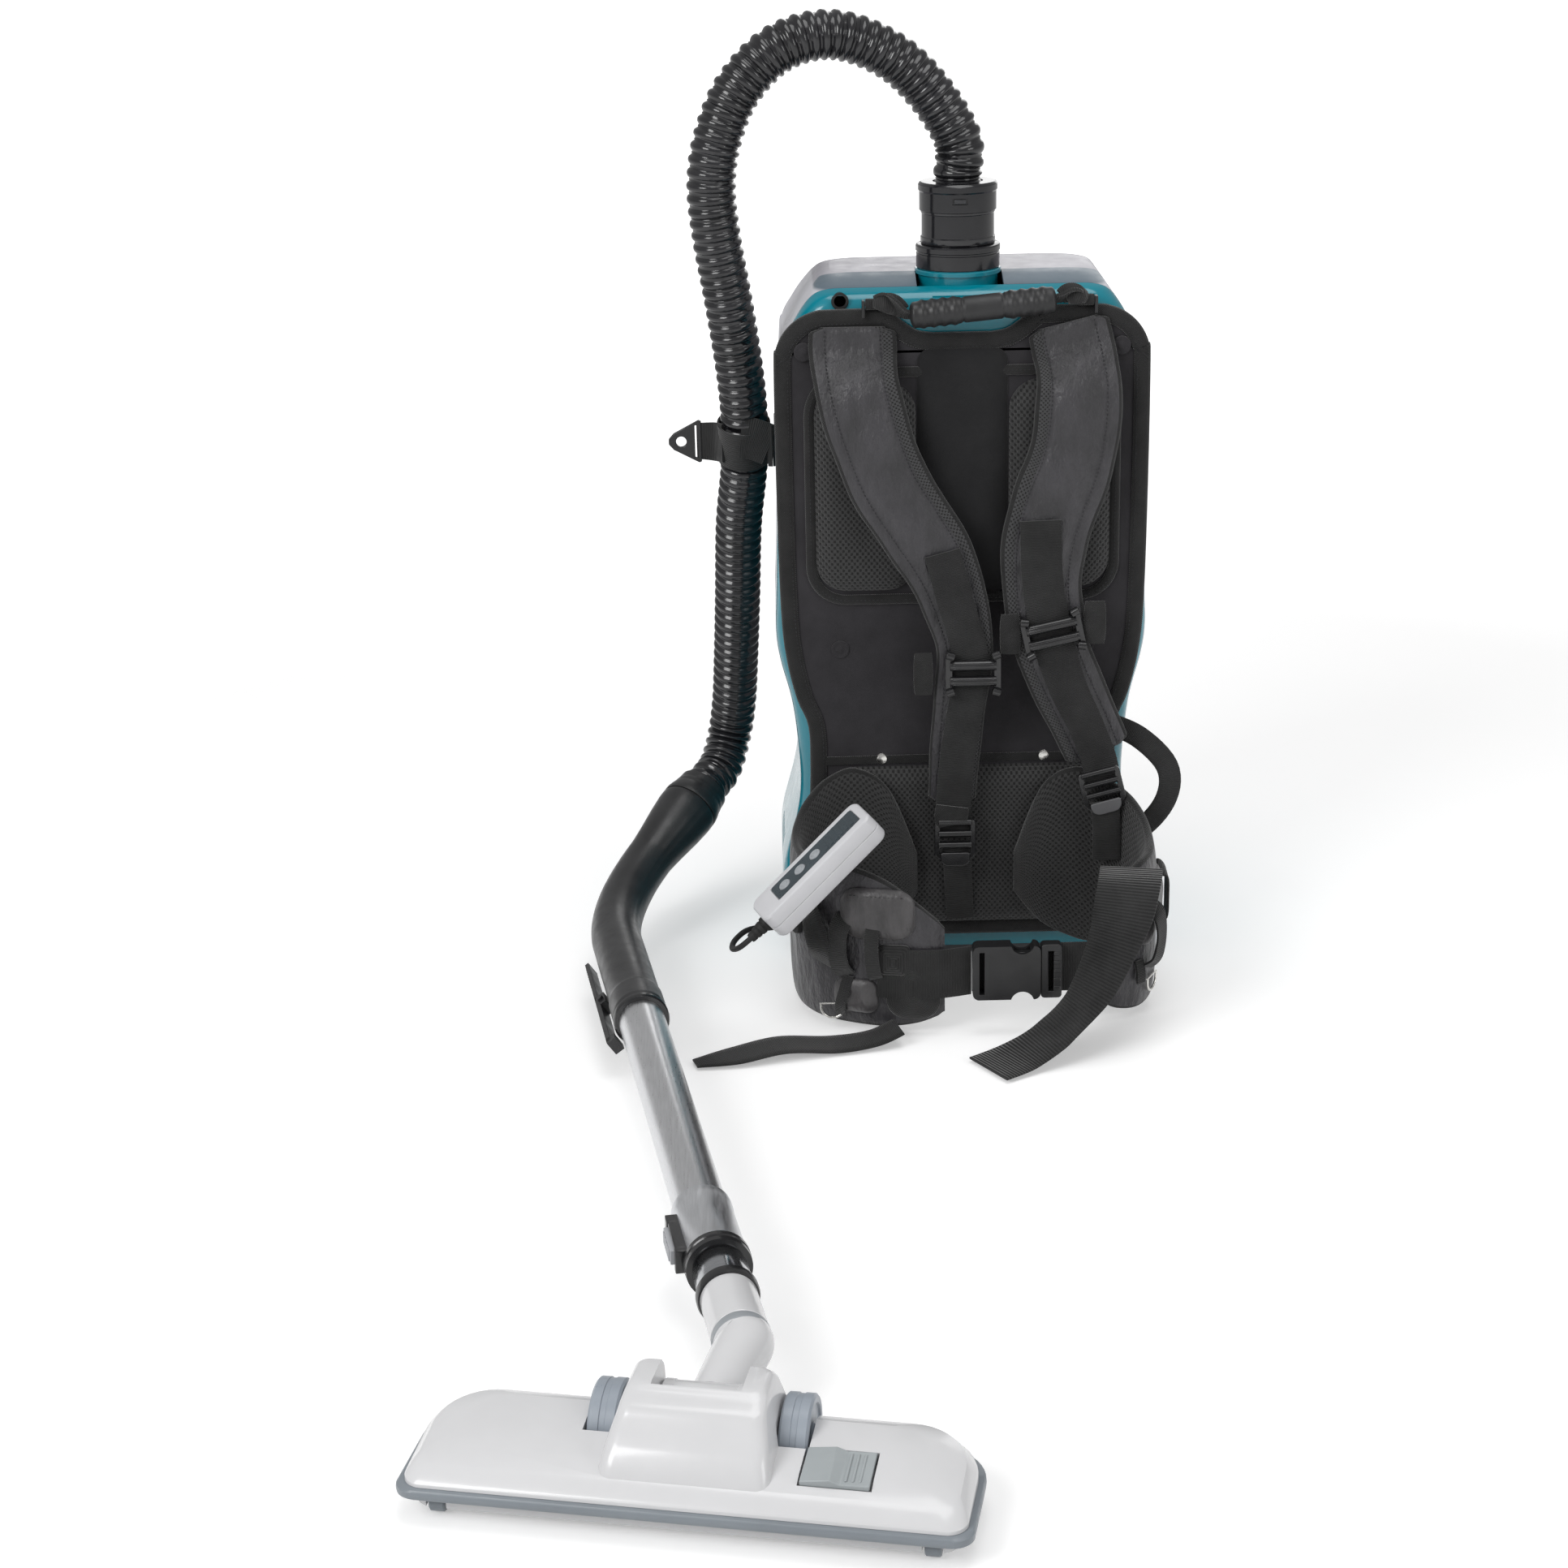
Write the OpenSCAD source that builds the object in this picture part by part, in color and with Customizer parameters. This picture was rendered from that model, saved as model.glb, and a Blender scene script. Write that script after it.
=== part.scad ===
// Backpack vacuum cleaner with harness, hose, telescopic wand and floor nozzle.
// Millimetres. Origin: centre of the pack's base on the floor. +X right as the
// harness is faced, +Y from the harness to the front cover, +Z up.

/* [Housing] */
// Widest width of the housing, at the belly
body_w = 295; // [285:1:305]
// Height of the top of the front cover above the floor
body_h = 554; // [550:1:560]
// Depth of the housing, from the harness face to the front
body_d = 190; // [188:1:196]
// Width of the housing across the waist
waist_w = 261; // [256:1:266]
// Width of the housing across the hips, near the base
hip_w = 293; // [286:1:298]
// Width of the flat top of the front cover
top_w = 198; // [190:1:204]
// Wall of the housing mouldings
wall = 3; // [2.5:0.5:4]
// Gap between mouldings that part from each other
part_gap = 0.4; // [0.3:0.1:0.8]
// Height of the line where the cover meets the lower housing
cover_z = 189; // [187:1:191]
// Height of the cover's hinge pin
cover_pin_z = 184; // [182:0.5:184]
// Height of the door's hinge pin
door_pin_z = 16; // [15:1:18]
// Radius of the hinge pins
pin_r = 2; // [1.5:0.5:2.5]
// Radial clearance of pins and shafts that turn
run_gap = 0.05; // [0.03:0.01:0.08]
// Clearance between a piece and the seat it rests in
seat_gap = 0.3; // [0.2:0.1:0.5]
// Height of the battery door
door_h = 142; // [138:1:146]
// Width of the battery door
door_w = 192; // [186:2:196]

/* [Inside] */
// Width of one battery
battery_w = 75; // [70:1:78]
// Depth of one battery
battery_d = 56; // [50:1:58]
// Height of one battery
battery_h = 112; // [105:1:118]
// Outer radius of the motor housing
motor_r = 50; // [46:1:52]
// Height of the motor housing
motor_h = 108; // [100:1:112]
// Radius of the motor shaft
shaft_r = 4; // [3:0.5:5]
// Outer radius of the shaft bearings
bearing_r = 11; // [10:0.5:12]
// Radius of the suction impeller
impeller_r = 43; // [38:1:44]
// Height of the filter block
filter_h = 24; // [20:1:28]
// Distance from the top of the cover down to the top of the dust bag
bag_drop = 76.5; // [70:0.5:104]

/* [Hose and port] */
// Outer radius of the hose over its ribs
hose_r = 19; // [18:0.5:20]
// Radius of the bore of the hose
hose_bore_r = 15.8; // [15:0.1:16]
// Distance from rib to rib along the hose
rib_pitch = 9; // [8.5:0.5:12]
// Radius of the collar round the port
port_r = 32.3; // [31.5:0.1:33]
// Height of the port collar's lower face above the top of the cover
port_rise = 3; // [2.5:0.5:4]
// Radius of the tube part of the hose end
hose_end_r = 28; // [26:0.5:29]
// Radius of the ring at the top of the hose end
hose_ring_r = 29.8; // [29:0.1:30.5]

/* [Harness] */
// Width of the back board
board_w = 287; // [282:1:290]
// Height of the top edge of the back board
board_top = 532; // [530:1:534]
// Thickness of the back board
board_t = 6; // [5:0.5:7]
// Width of the bound edge of the board
binding_w = 12; // [10:1:14]
// Thickness of the mesh pads on the board
pad_t = 11.5; // [9:0.5:12]
// Width of the strap webbing
webbing_w = 28; // [25:1:30]
// Width of the hip belt webbing
belt_w = 40; // [36:1:44]
// Thickness of all webbing
webbing_t = 1.6; // [1.2:0.2:2]
// Radius of the carry handle grip
handle_r = 10.5; // [9.5:0.5:10.5]
// Length of the carry handle grip
handle_l = 112; // [105:1:115]

/* [Remote] */
// Length of the remote control
remote_l = 112; // [105:1:116]
// Width of the remote control
remote_w = 36; // [32:1:38]
// Thickness of the remote control
remote_t = 24; // [20:1:26]
// Radius of the remote's buttons
button_r = 5; // [4:0.5:5.5]

/* [Wand] */
// Outer radius of the outer tube
tube_r = 17.5; // [17:0.1:17.5]
// Wall of the outer tube
tube_wall = 0.9; // [0.8:0.1:1]
// Outer radius of the inner tube
inner_r = 15.9; // [15.6:0.1:16]
// Length of the outer tube
outer_l = 368; // [360:1:372]
// Outer radius of the grip
grip_r = 20; // [19:0.5:21]
// Bend of the grip in degrees
grip_bend = 50; // [48:1:52]
// Outer radius of the sleeve at the tube's end
sleeve_r = 20; // [19.5:0.1:21]
// Travel of the inner tube
tube_travel = 250; // [200:10:260]

/* [Floor nozzle] */
// Width of the floor nozzle
nozzle_w = 326; // [310:2:330]
// Depth of the floor nozzle
nozzle_d = 94; // [90:1:98]
// Radius of the nozzle wheels
wheel_r = 26; // [25:0.5:26.5]
// Width of a nozzle wheel
wheel_w = 17; // [14:1:18]
// Radius of the neck's barrel in the nozzle
barrel_r = 21; // [20:0.5:21.5]
// Width of the neck's barrel
barrel_w = 50; // [46:1:52]
// Width of the suction slot
slot_w = 250; // [220:2:252]
// Depth of the suction slot
slot_d = 16; // [14:1:17]

/* [Hidden] */
$fn = 48;

back_y = -body_d / 2;
front_y = body_d / 2;
face_y = back_y - board_t;
port_z = body_h + port_rise;
base_t = 6;
floor_z = base_t + seat_gap;

// Where the wand and the nozzle lie: the wand's frame runs along +X from the
// grip's socket to the nozzle, the nozzle's frame has +X to the right.
wand_pos = [-259, -284, 40];
wand_yaw = -80.56;
roll = -55.3;
bend_r = 150;
bend_s = 127;
bell_l = 58;
cuff_l = 24;
nozzle_pos = [-203, -885, 0];
nozzle_yaw = -11.2;
// The grip's upper end as numbers, for the hose to meet
function rot_z(v, a) = [v[0] * cos(a) - v[1] * sin(a), v[0] * sin(a) + v[1] * cos(a), v[2]];
function rot_x(v, a) = [v[0], v[1] * cos(a) - v[2] * sin(a), v[1] * sin(a) + v[2] * cos(a)];
cuff_dir = rot_z(rot_x([-cos(grip_bend), 0, sin(grip_bend)], roll), wand_yaw);
bell_pos = wand_pos + rot_z(rot_x([-bend_s - bend_r * sin(grip_bend), 0,
    bend_r * (1 - cos(grip_bend))], roll), wand_yaw);
cuff_end = bell_pos + (bell_l + cuff_l - 16) * cuff_dir;

// ---- shared shapes -------------------------------------------------------

function unit(v) = v / norm(v);
function sum_to(v, i) = i < 0 ? 0 : v[i] + sum_to(v, i - 1);

// A closed skin of triangles through rings of equal point counts. Each ring
// turns counter-clockwise about the direction of travel.
module skin(rings) {
    n = len(rings[0]);
    m = len(rings);
    last = (m - 1) * n;
    sides = [for (i = [0 : m - 2], j = [0 : n - 1])
        let (a = i * n + j, b = i * n + (j + 1) % n)
        each [[a, a + n, b + n], [a, b + n, b]]];
    ends = [for (j = [1 : n - 2]) each [[0, j, j + 1], [last, last + j + 1, last + j]]];
    polyhedron([for (r = rings) each r], concat(sides, ends), 10);
}

// The same, but the last ring joins the first: a tube with a bore.
module skin_loop(rings) {
    n = len(rings[0]);
    m = len(rings);
    polyhedron([for (r = rings) each r], [for (i = [0 : m - 1], j = [0 : n - 1])
        let (a = i * n + j, b = i * n + (j + 1) % n, c = ((i + 1) % m) * n)
        each [[a, c + j, c + (j + 1) % n], [a, c + (j + 1) % n, b]]], 10);
}

// Catmull-Rom curve through points of any dimension, k steps per span
function smooth(p, k) = let (n = len(p)) [for (i = [0 : n - 2], s = [0 : k - 1])
    let (t = s / k, a = p[max(i - 1, 0)], b = p[i], c = p[i + 1], d = p[min(i + 2, n - 1)])
    0.5 * (2 * b + t * (c - a) + t * t * (2 * a - 5 * b + 4 * c - d)
    + t * t * t * (3 * b - a - 3 * c + d)), p[n - 1]];

function xyz(v) = [v[0], v[1], v[2]];
function tangent(p, i) = unit(xyz(p[min(i + 1, len(p) - 1)]) - xyz(p[max(i - 1, 0)]));

// Rings along a path of [x, y, z, ...]; the section is a list of [across, out]
// and "facing" is the side that looks outwards.
function sweep(path, facing, section) = [for (i = [0 : len(path) - 1])
    let (t = tangent(path, i), side = unit(cross(facing, t)), out = cross(t, side))
    [for (q = section(path[i])) xyz(path[i]) + side * q[0] + out * q[1]]];

// Sections: a flat band and a stitched pad with thin edges and a crown
band = function (p) let (w = p[3] / 2, t = webbing_t / 2)
    [[-w, -t], [w, -t], [w, t], [-w, t]];
pad = function (p) let (w = p[3] / 2, c = p[4], e = min(1.6, c * 0.3))
    [[-w, -e], [-0.55 * w, -0.4 * c], [0.55 * w, -0.4 * c], [w, -e],
     [w, e], [0.8 * w, 0.4 * c], [0.35 * w, 0.58 * c], [-0.35 * w, 0.58 * c],
     [-0.8 * w, 0.4 * c], [-w, e]];

module band_along(path, facing) { skin(sweep(smooth(path, 3), facing, band)); }
module pad_along(path, facing, k) { skin(sweep(smooth(path, k), facing, pad)); }

// Straight rod between two points
module rod(a, b, r) {
    v = b - a;
    translate(a) rotate([0, acos(v[2] / norm(v)), atan2(v[1], v[0])]) cylinder(h = norm(v), r = r);
}

// Rod along X, centred
module rod_x(l, r) { rotate([0, 90, 0]) cylinder(h = l, r = r, center = true); }

// Plate with rounded corners in X and Z, growing along +Y from 0
module plate_xz(w, h, t, r) {
    rotate([90, 0, 0]) translate([0, 0, -t]) linear_extrude(t) rounded(w, h, r);
}

module rounded(w, h, r) { polygon(round_rect(-w / 2, w / 2, -h / 2, h / 2, r, r)); }

// Rounded rectangle, counter-clockwise; rb and rf are the radii at low and high y
function round_rect(x0, x1, y0, y1, rb, rf, k = 4) = [
    for (i = [0 : k]) [x1 - rb + rb * sin(90 * i / k), y0 + rb - rb * cos(90 * i / k)],
    for (i = [0 : k]) [x1 - rf + rf * cos(90 * i / k), y1 - rf + rf * sin(90 * i / k)],
    for (i = [0 : k]) [x0 + rf - rf * sin(90 * i / k), y1 - rf + rf * cos(90 * i / k)],
    for (i = [0 : k]) [x0 + rb - rb * cos(90 * i / k), y0 + rb - rb * sin(90 * i / k)]];

// ---- housing form --------------------------------------------------------

// Side profile: height, half width, back and front edge. The lower heights
// are where the hips flare, the waist narrows and the belly swells.
hip_z = 55;
waist_z = 150;
belly_z = 275;
shoulder_z = body_h - 74;
shoulder_in = 7;
// How the top rounds over: drop, step out, back edge step, front edge step
CROWN = [[49, 38, 0, 9], [34, 30.5, 0, 17], [23, 24, 0, 25], [13, 17, 4, 35],
    [7.5, 13, 13, 45], [2, 8, 33, 59], [0, 0, 45, 73]];
hip = hip_w / 2;
waist = waist_w / 2;
belly = body_w / 2;
LEVELS = concat([[floor_z, hip - 8, 0, 0], [hip_z - 25, hip - 2, 0, 0], [hip_z, hip, 0, 0],
    [hip_z + 25, hip - 2, 0, 0], [waist_z - 30, waist + 3.5, 0, 0], [waist_z, waist, 0, 0],
    [waist_z + 38, waist + 2, 0, 0], [waist_z + 68, belly - 11, 0, 0],
    [belly_z - 25, belly - 3, 0, 0], [belly_z, belly, 0, 0],
    [belly_z + 40, belly - 1.5, 0, 0], [shoulder_z, belly - shoulder_in, 0, 3]],
    [for (c = CROWN) [body_h - c[0], top_w / 2 + c[1], c[2], c[3]]]);
function half_at(z) = lookup(z, [for (l = LEVELS) [l[0], l[1]]]);

corner_back = 18;
corner_front = 30;
// The housing's form, drawn in by t on every side but the open bottom
module form(t) {
    skin([for (l = LEVELS) let (h = l[1] - t, b = back_y + l[2] + t, f = front_y - l[3] - t,
        rb = min(corner_back, (f - b) / 3), rf = min(corner_front, (f - b) / 3),
        z = l[0] > shoulder_z ? l[0] - t : l[0] - (l[0] < hip_z - 30 ? t : 0))
        [for (q = round_rect(-h, h, b, f, rb, rf)) [q[0], q[1], z]]]);
}

// The parting line between housing and cover, seen from the side: [y, z]
part_y = 5;
PARTING = [[part_y, cover_z], [part_y, body_h - 224], [part_y - 25, body_h - 154],
    [part_y - 75, body_h - 54], [back_y + 14, body_h - 7.5]];
module side_region(points) {
    translate([-200, 0, 0]) rotate([90, 0, 90]) linear_extrude(400) polygon(points);
}
module cover_region(gap) {
    side_region(concat([[part_y + gap, cover_z + gap]], [for (i = [1 : 4]) PARTING[i] + [gap, 0]],
        [[back_y + 14 + gap, 700], [200, 700], [200, cover_z + gap]]));
}

port_x = 0;
port_y = -50;
boss_r = 30;
port_bore_r = 24.45;
notch_r = port_r + 1.2;
spigot_r = port_bore_r - run_gap;
ring_h = 18;

hinge_y = front_y + 5;
knuckle_r = pin_r + 2.4;
knuckle_l = 18;
hinge_x = 62;
door_x = 70;
door_z = door_pin_z + 6;
lip_z = cover_z - 3;

// Bore and pin places of a hinge with two knuckles and two ears each side
module knuckle(x, z, l) { translate([x, hinge_y, z]) rod_x(l, knuckle_r); }
module hinge_bore(x, z, r) { translate([x, hinge_y, z]) rod_x(4 * knuckle_l, r); }

grommet_pos = [-93, back_y + 1, body_h - 15];
grommet_r = 5.8;
module rear_housing() {
    color([0.0, 0.42, 0.48]) difference() {
        union() {
            difference() {
                form(0);
                form(wall);
                cover_region(0);
                // door opening in the front wall
                translate([-door_w / 2 - part_gap, front_y - 8, door_z - part_gap])
                    cube([door_w + 2 * part_gap, 20, door_h + 2 * part_gap]);
                // exhaust louvres in both lower sides
                for (s = [-1, 1], i = [0 : 6])
                    translate([s * hip, -24 + i * 9, 60]) cube([30, 4, 44], center = true);
            }
            // boss that carries the port, braced to the back wall
            translate([port_x, port_y, port_z - 42]) cylinder(h = 42, r = boss_r);
            translate([port_x - 22, back_y + wall, port_z - 42]) cube([44, -back_y - 60, 26]);
            // ears of the cover hinge and of the door hinge
            for (x = [-1, 1], k = [-1, 1]) {
                translate([x * hinge_x + k * (knuckle_l + 1) - knuckle_l / 2, front_y - 1,
                    cover_pin_z - knuckle_r]) cube([knuckle_l, hinge_y - front_y + 1, 2 * knuckle_r]);
                knuckle(x * hinge_x + k * (knuckle_l + 1), cover_pin_z, knuckle_l);
                translate([x * door_x + k * (knuckle_l + 1) - knuckle_l / 2, front_y - 1,
                    door_pin_z - knuckle_r]) cube([knuckle_l, hinge_y - front_y + 1, 2 * knuckle_r]);
                knuckle(x * door_x + k * (knuckle_l + 1), door_pin_z, knuckle_l);
            }
        }
        translate([port_x, port_y, port_z - 43]) cylinder(h = 60, r = pipe_r + seat_gap);
        for (x = [-1, 1]) {
            hinge_bore(x * hinge_x, cover_pin_z, pin_r + seat_gap / 3);
            hinge_bore(x * door_x, door_pin_z, pin_r + seat_gap / 3);
        }
        translate(grommet_pos) rotate([90, 0, 0]) cylinder(h = 20, r = grommet_r, center = true);
    }
}

latch_y = 12;
latch_w = 40;
latch_pin_y = latch_y + 16;
latch_z = body_h + 4;
module front_cover() {
    color([0.72, 0.71, 0.73]) difference() {
        union() {
            difference() {
                intersection() {
                    form(0);
                    cover_region(part_gap);
                }
                form(wall);
                translate([port_x, port_y, 400]) cylinder(h = 200, r = notch_r);
                translate([-notch_r, back_y - 5, 400]) cube([2 * notch_r, port_y - back_y + 5, 200]);
            }
            for (x = [-1, 1]) {
                knuckle(x * hinge_x, cover_pin_z, knuckle_l);
                translate([x * hinge_x - knuckle_l / 2, front_y - wall + 1, cover_z + 0.6])
                    cube([knuckle_l, knuckle_r + 4, 12]);
                translate([x * hinge_x - knuckle_l / 2, hinge_y - 1, cover_pin_z])
                    cube([knuckle_l, knuckle_r + 1, cover_z - cover_pin_z + 4]);
                // ears and pin of the latch
                translate([x * (latch_w / 2 + 2.4) - 2, latch_pin_y - 4, body_h - 6])
                    cube([4, 8, 13]);
            }
            translate([0, latch_pin_y, latch_z]) rod_x(latch_w + 5, 1.5);
        }
        for (x = [-1, 1]) hinge_bore(x * hinge_x, cover_pin_z, pin_r + run_gap);
    }
}

module hinge_pins() {
    color([0.7, 0.7, 0.72]) for (x = [-1, 1]) {
        translate([x * hinge_x, hinge_y, cover_pin_z]) rod_x(3 * knuckle_l, pin_r);
        translate([x * door_x, hinge_y, door_pin_z]) rod_x(3 * knuckle_l, pin_r);
    }
}

module cover_latch() {
    color([0.2, 0.2, 0.21]) difference() {
        union() {
            translate([-latch_w / 2, latch_y - 24, body_h + seat_gap])
                cube([latch_w, 36, 3.2]);
            translate([0, latch_pin_y, latch_z]) rod_x(latch_w, 3.4);
            translate([-latch_w / 2, latch_y + 6, body_h + seat_gap]) cube([latch_w, 10.2, 4]);
        }
        translate([0, latch_pin_y, latch_z]) rod_x(latch_w + 10, 1.5 + run_gap);
    }
}

door_t = 3.4;
module battery_door() {
    color([0.3, 0.3, 0.32]) difference() {
        union() {
            translate([0, front_y - door_t, door_z + door_h / 2]) plate_xz(door_w, door_h, door_t, 6);
            for (x = [-1, 1]) {
                knuckle(x * door_x, door_pin_z, knuckle_l);
                translate([x * door_x - knuckle_l / 2, front_y - door_t + 1, door_z + 1])
                    cube([knuckle_l, door_t + 4, 10]);
                translate([x * door_x - knuckle_l / 2, hinge_y - 1, door_pin_z])
                    cube([knuckle_l, knuckle_r + 1, 12]);
            }
        }
        for (x = [-1, 1]) hinge_bore(x * door_x, door_pin_z, pin_r + run_gap);
        translate([0, front_y, door_z + door_h - 16]) cube([36.8, 20, 14.8], center = true);
    }
}

module battery_door_latch() {
    color([0.12, 0.12, 0.13]) {
        translate([-18, front_y - door_t - 2, door_z + door_h - 23]) cube([36, door_t + 4, 8]);
        translate([-26, front_y - door_t - 2.4, door_z + door_h - 27]) cube([52, 2, 26.5]);
    }
}

battery_gap = 10;
module batteries() {
    color([0.1, 0.11, 0.12]) for (s = [-1, 1])
        translate([s * (battery_w + battery_gap) / 2, front_y - door_t - battery_d / 2 - 3,
            floor_z + 12 + battery_h / 2]) {
            cube([battery_w, battery_d, battery_h], center = true);
            // rails and contact block of the slide-on mount
            translate([0, -battery_d / 2 - 2, -6]) cube([battery_w - 22, 4, battery_h - 34], center = true);
        }
}

module base_outline(t) {
    h = hip - 9 - t;
    polygon(round_rect(-h, h, back_y + 1 + t, front_y - 1 - t, corner_back, corner_front));
}

foot_x = 104;
foot_y = 66;
foot_r = 14;
module base_plate() {
    color([0.1, 0.1, 0.11]) difference() {
        union() {
            linear_extrude(base_t) base_outline(0);
            // shelf that carries the batteries
            translate([-battery_w - 10, front_y - door_t - battery_d - 6, base_t])
                cube([2 * battery_w + 20, battery_d + 2, 12]);
        }
        for (x = [-foot_x, foot_x], y = [-foot_y, foot_y])
            translate([x, y, -1]) cylinder(h = 4, r = foot_r + seat_gap);
    }
}

module rubber_feet() {
    color([0.05, 0.05, 0.05]) for (x = [-foot_x, foot_x], y = [-foot_y, foot_y])
        translate([x, y, 0]) cylinder(h = 3, r = foot_r);
}

deck_t = 4;
deck_z = cover_z - 8;
filter_w = 170;
filter_d = 110;
module motor_deck() {
    h = half_at(deck_z) - wall - seat_gap - 0.6;
    b = back_y + wall + seat_gap;
    color([0.16, 0.16, 0.17]) difference() {
        translate([0, 0, deck_z]) linear_extrude(deck_t)
            polygon(round_rect(-h, h, b, front_y - wall - seat_gap, corner_back, corner_front));
        translate([0, motor_y, deck_z - 1]) cylinder(h = deck_t + 2, r = 34);
    }
}

motor_y = -36;
motor_z = deck_z - motor_h;
motor_wall = 2.5;
module motor_housing() {
    color([0.14, 0.14, 0.15]) translate([0, motor_y, motor_z]) difference() {
        cylinder(h = motor_h, r = motor_r);
        translate([0, 0, 10]) cylinder(h = motor_h, r = motor_r - motor_wall);
        translate([0, 0, 3]) cylinder(h = 8, r = bearing_r + run_gap);
        for (a = [0 : 45 : 315]) rotate([0, 0, a]) translate([30, 0, -1]) cylinder(h = 12, r = 6);
    }
}

stator_h = 44;
stator_z = motor_z + 10;
module motor_core() {
    color([0.72, 0.45, 0.2]) translate([0, motor_y, 0]) {
        translate([0, 0, stator_z]) difference() {
            cylinder(h = stator_h, r = motor_r - motor_wall - seat_gap);
            translate([0, 0, -1]) cylinder(h = stator_h + 2, r = 22);
        }
        for (z = [motor_z + 3, stator_z + stator_h + 3]) translate([0, 0, z]) difference() {
            cylinder(h = 7, r = bearing_r);
            translate([0, 0, -1]) cylinder(h = 9, r = shaft_r + run_gap);
        }
        // spider that holds the upper bearing
        translate([0, 0, stator_z + stator_h]) difference() {
            cylinder(h = 10, r = motor_r - motor_wall - seat_gap);
            translate([0, 0, 3]) cylinder(h = 10, r = bearing_r + run_gap);
            translate([0, 0, -1]) cylinder(h = 12, r = bearing_r - 3);
            for (a = [0 : 60 : 300]) rotate([0, 0, a]) translate([29, 0, -1]) cylinder(h = 12, r = 10);
        }
    }
}

fan_z = stator_z + stator_h + 14;
module impeller() {
    color([0.8, 0.8, 0.82]) translate([0, motor_y, 0]) {
        translate([0, 0, motor_z + 3.5]) cylinder(h = fan_z + 24 - motor_z - 3.5, r = shaft_r);
        translate([0, 0, stator_z + 2]) cylinder(h = stator_h - 4, r = 21);
        translate([0, 0, fan_z]) difference() {
            union() {
                cylinder(h = 2, r = impeller_r);
                cylinder(h = 18, r = 9);
                for (a = [0 : 40 : 320]) rotate([0, 0, a]) translate([8, -0.8, 0])
                    cube([impeller_r - 9, 1.6, 16]);
            }
            translate([0, 0, 30]) cylinder(h = 1, r = 1);
        }
    }
}

filter_z = deck_z + deck_t;
module hepa_filter() {
    color([0.9, 0.9, 0.88]) translate([0, motor_y + 16, filter_z]) {
        difference() {
            translate([-filter_w / 2, -filter_d / 2, 0]) cube([filter_w, filter_d, filter_h]);
            for (i = [-9 : 9]) translate([i * 8 - 2, -filter_d / 2 + 6, 4])
                cube([4, filter_d - 12, filter_h]);
        }
    }
}

// Bag: drawn in at the ends, full in the middle, with a card collar on top
bag_z = filter_z + filter_h + seat_gap;
bag_h = body_h - bag_drop - bag_z;
bag_w = 190;
bag_d = 118;
collar_t = 3;
module dust_bag() {
    color([0.88, 0.84, 0.74]) {
        difference() {
            skin([for (s = [0 : 8]) let (f = sin(20 + 140 * s / 8), h = bag_w / 2 * (0.55 + 0.45 * f),
                d = bag_d / 2 * (0.5 + 0.5 * f), y = motor_y + 16 + (s / 8) * -12)
                [for (q = round_rect(-h, h, y - d, y + d, d * 0.6, d * 0.6))
                    [q[0], q[1], bag_z + bag_h * s / 8]]]);
            translate([port_x, port_y, bag_z + bag_h - 30]) cylinder(h = 40, r = pipe_r + 1);
        }
        translate([port_x, port_y, bag_z + bag_h]) difference() {
            translate([-45, -30, 0]) cube([90, 60, collar_t]);
            translate([0, 0, -1]) cylinder(h = 5, r = pipe_r + seat_gap);
        }
    }
}

module control_board() {
    color([0.1, 0.35, 0.2]) {
        translate([58, back_y + wall, 30]) cube([48, 1.6, 90]);
        translate([64, back_y + wall + 1.6, 44]) cube([20, 14, 26]);
        translate([88, back_y + wall + 1.6, 80]) cube([12, 10, 30]);
    }
}

// ---- port and hose -------------------------------------------------------

pipe_r = port_bore_r + 2.2;
module inlet_port() {
    color([0.05, 0.05, 0.055]) translate([port_x, port_y, 0]) difference() {
        union() {
            translate([0, 0, port_z]) cylinder(h = ring_h, r = port_r);
            translate([0, 0, port_z + ring_h - 4]) cylinder(h = 2, r = port_r + 0.4);
            translate([0, 0, bag_z + bag_h - 4]) cylinder(h = port_z - bag_z - bag_h + 5, r = pipe_r);
        }
        translate([0, 0, 300]) cylinder(h = 400, r = port_bore_r);
    }
}

collar_z = port_z + ring_h + part_gap;
hose_end_h = 25;
hose_ring_h = 22;
hose_seat = 12;
hose_top = collar_z + hose_end_h + hose_ring_h;
module hose_collar() {
    color([0.05, 0.05, 0.055]) translate([port_x, port_y, collar_z]) difference() {
        union() {
            translate([0, 0, -ring_h]) cylinder(h = ring_h + 1, r = spigot_r);
            cylinder(h = hose_end_h, r = hose_end_r);
            translate([0, 0, hose_end_h]) cylinder(h = hose_ring_h, r = hose_ring_r);
            translate([0, 0, hose_end_h + hose_ring_h - 6]) cylinder(h = 4, r = hose_ring_r + 0.8);
        }
        translate([0, 0, -ring_h - 1]) cylinder(h = 100, r = hose_bore_r);
        translate([0, 0, hose_end_h + hose_ring_h - hose_seat]) cylinder(h = 40, r = hose_r + 0.4);
        translate([-6, -hose_ring_r - 2, hose_end_h + 7]) cube([12, 4, 6]);
    }
}

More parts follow.
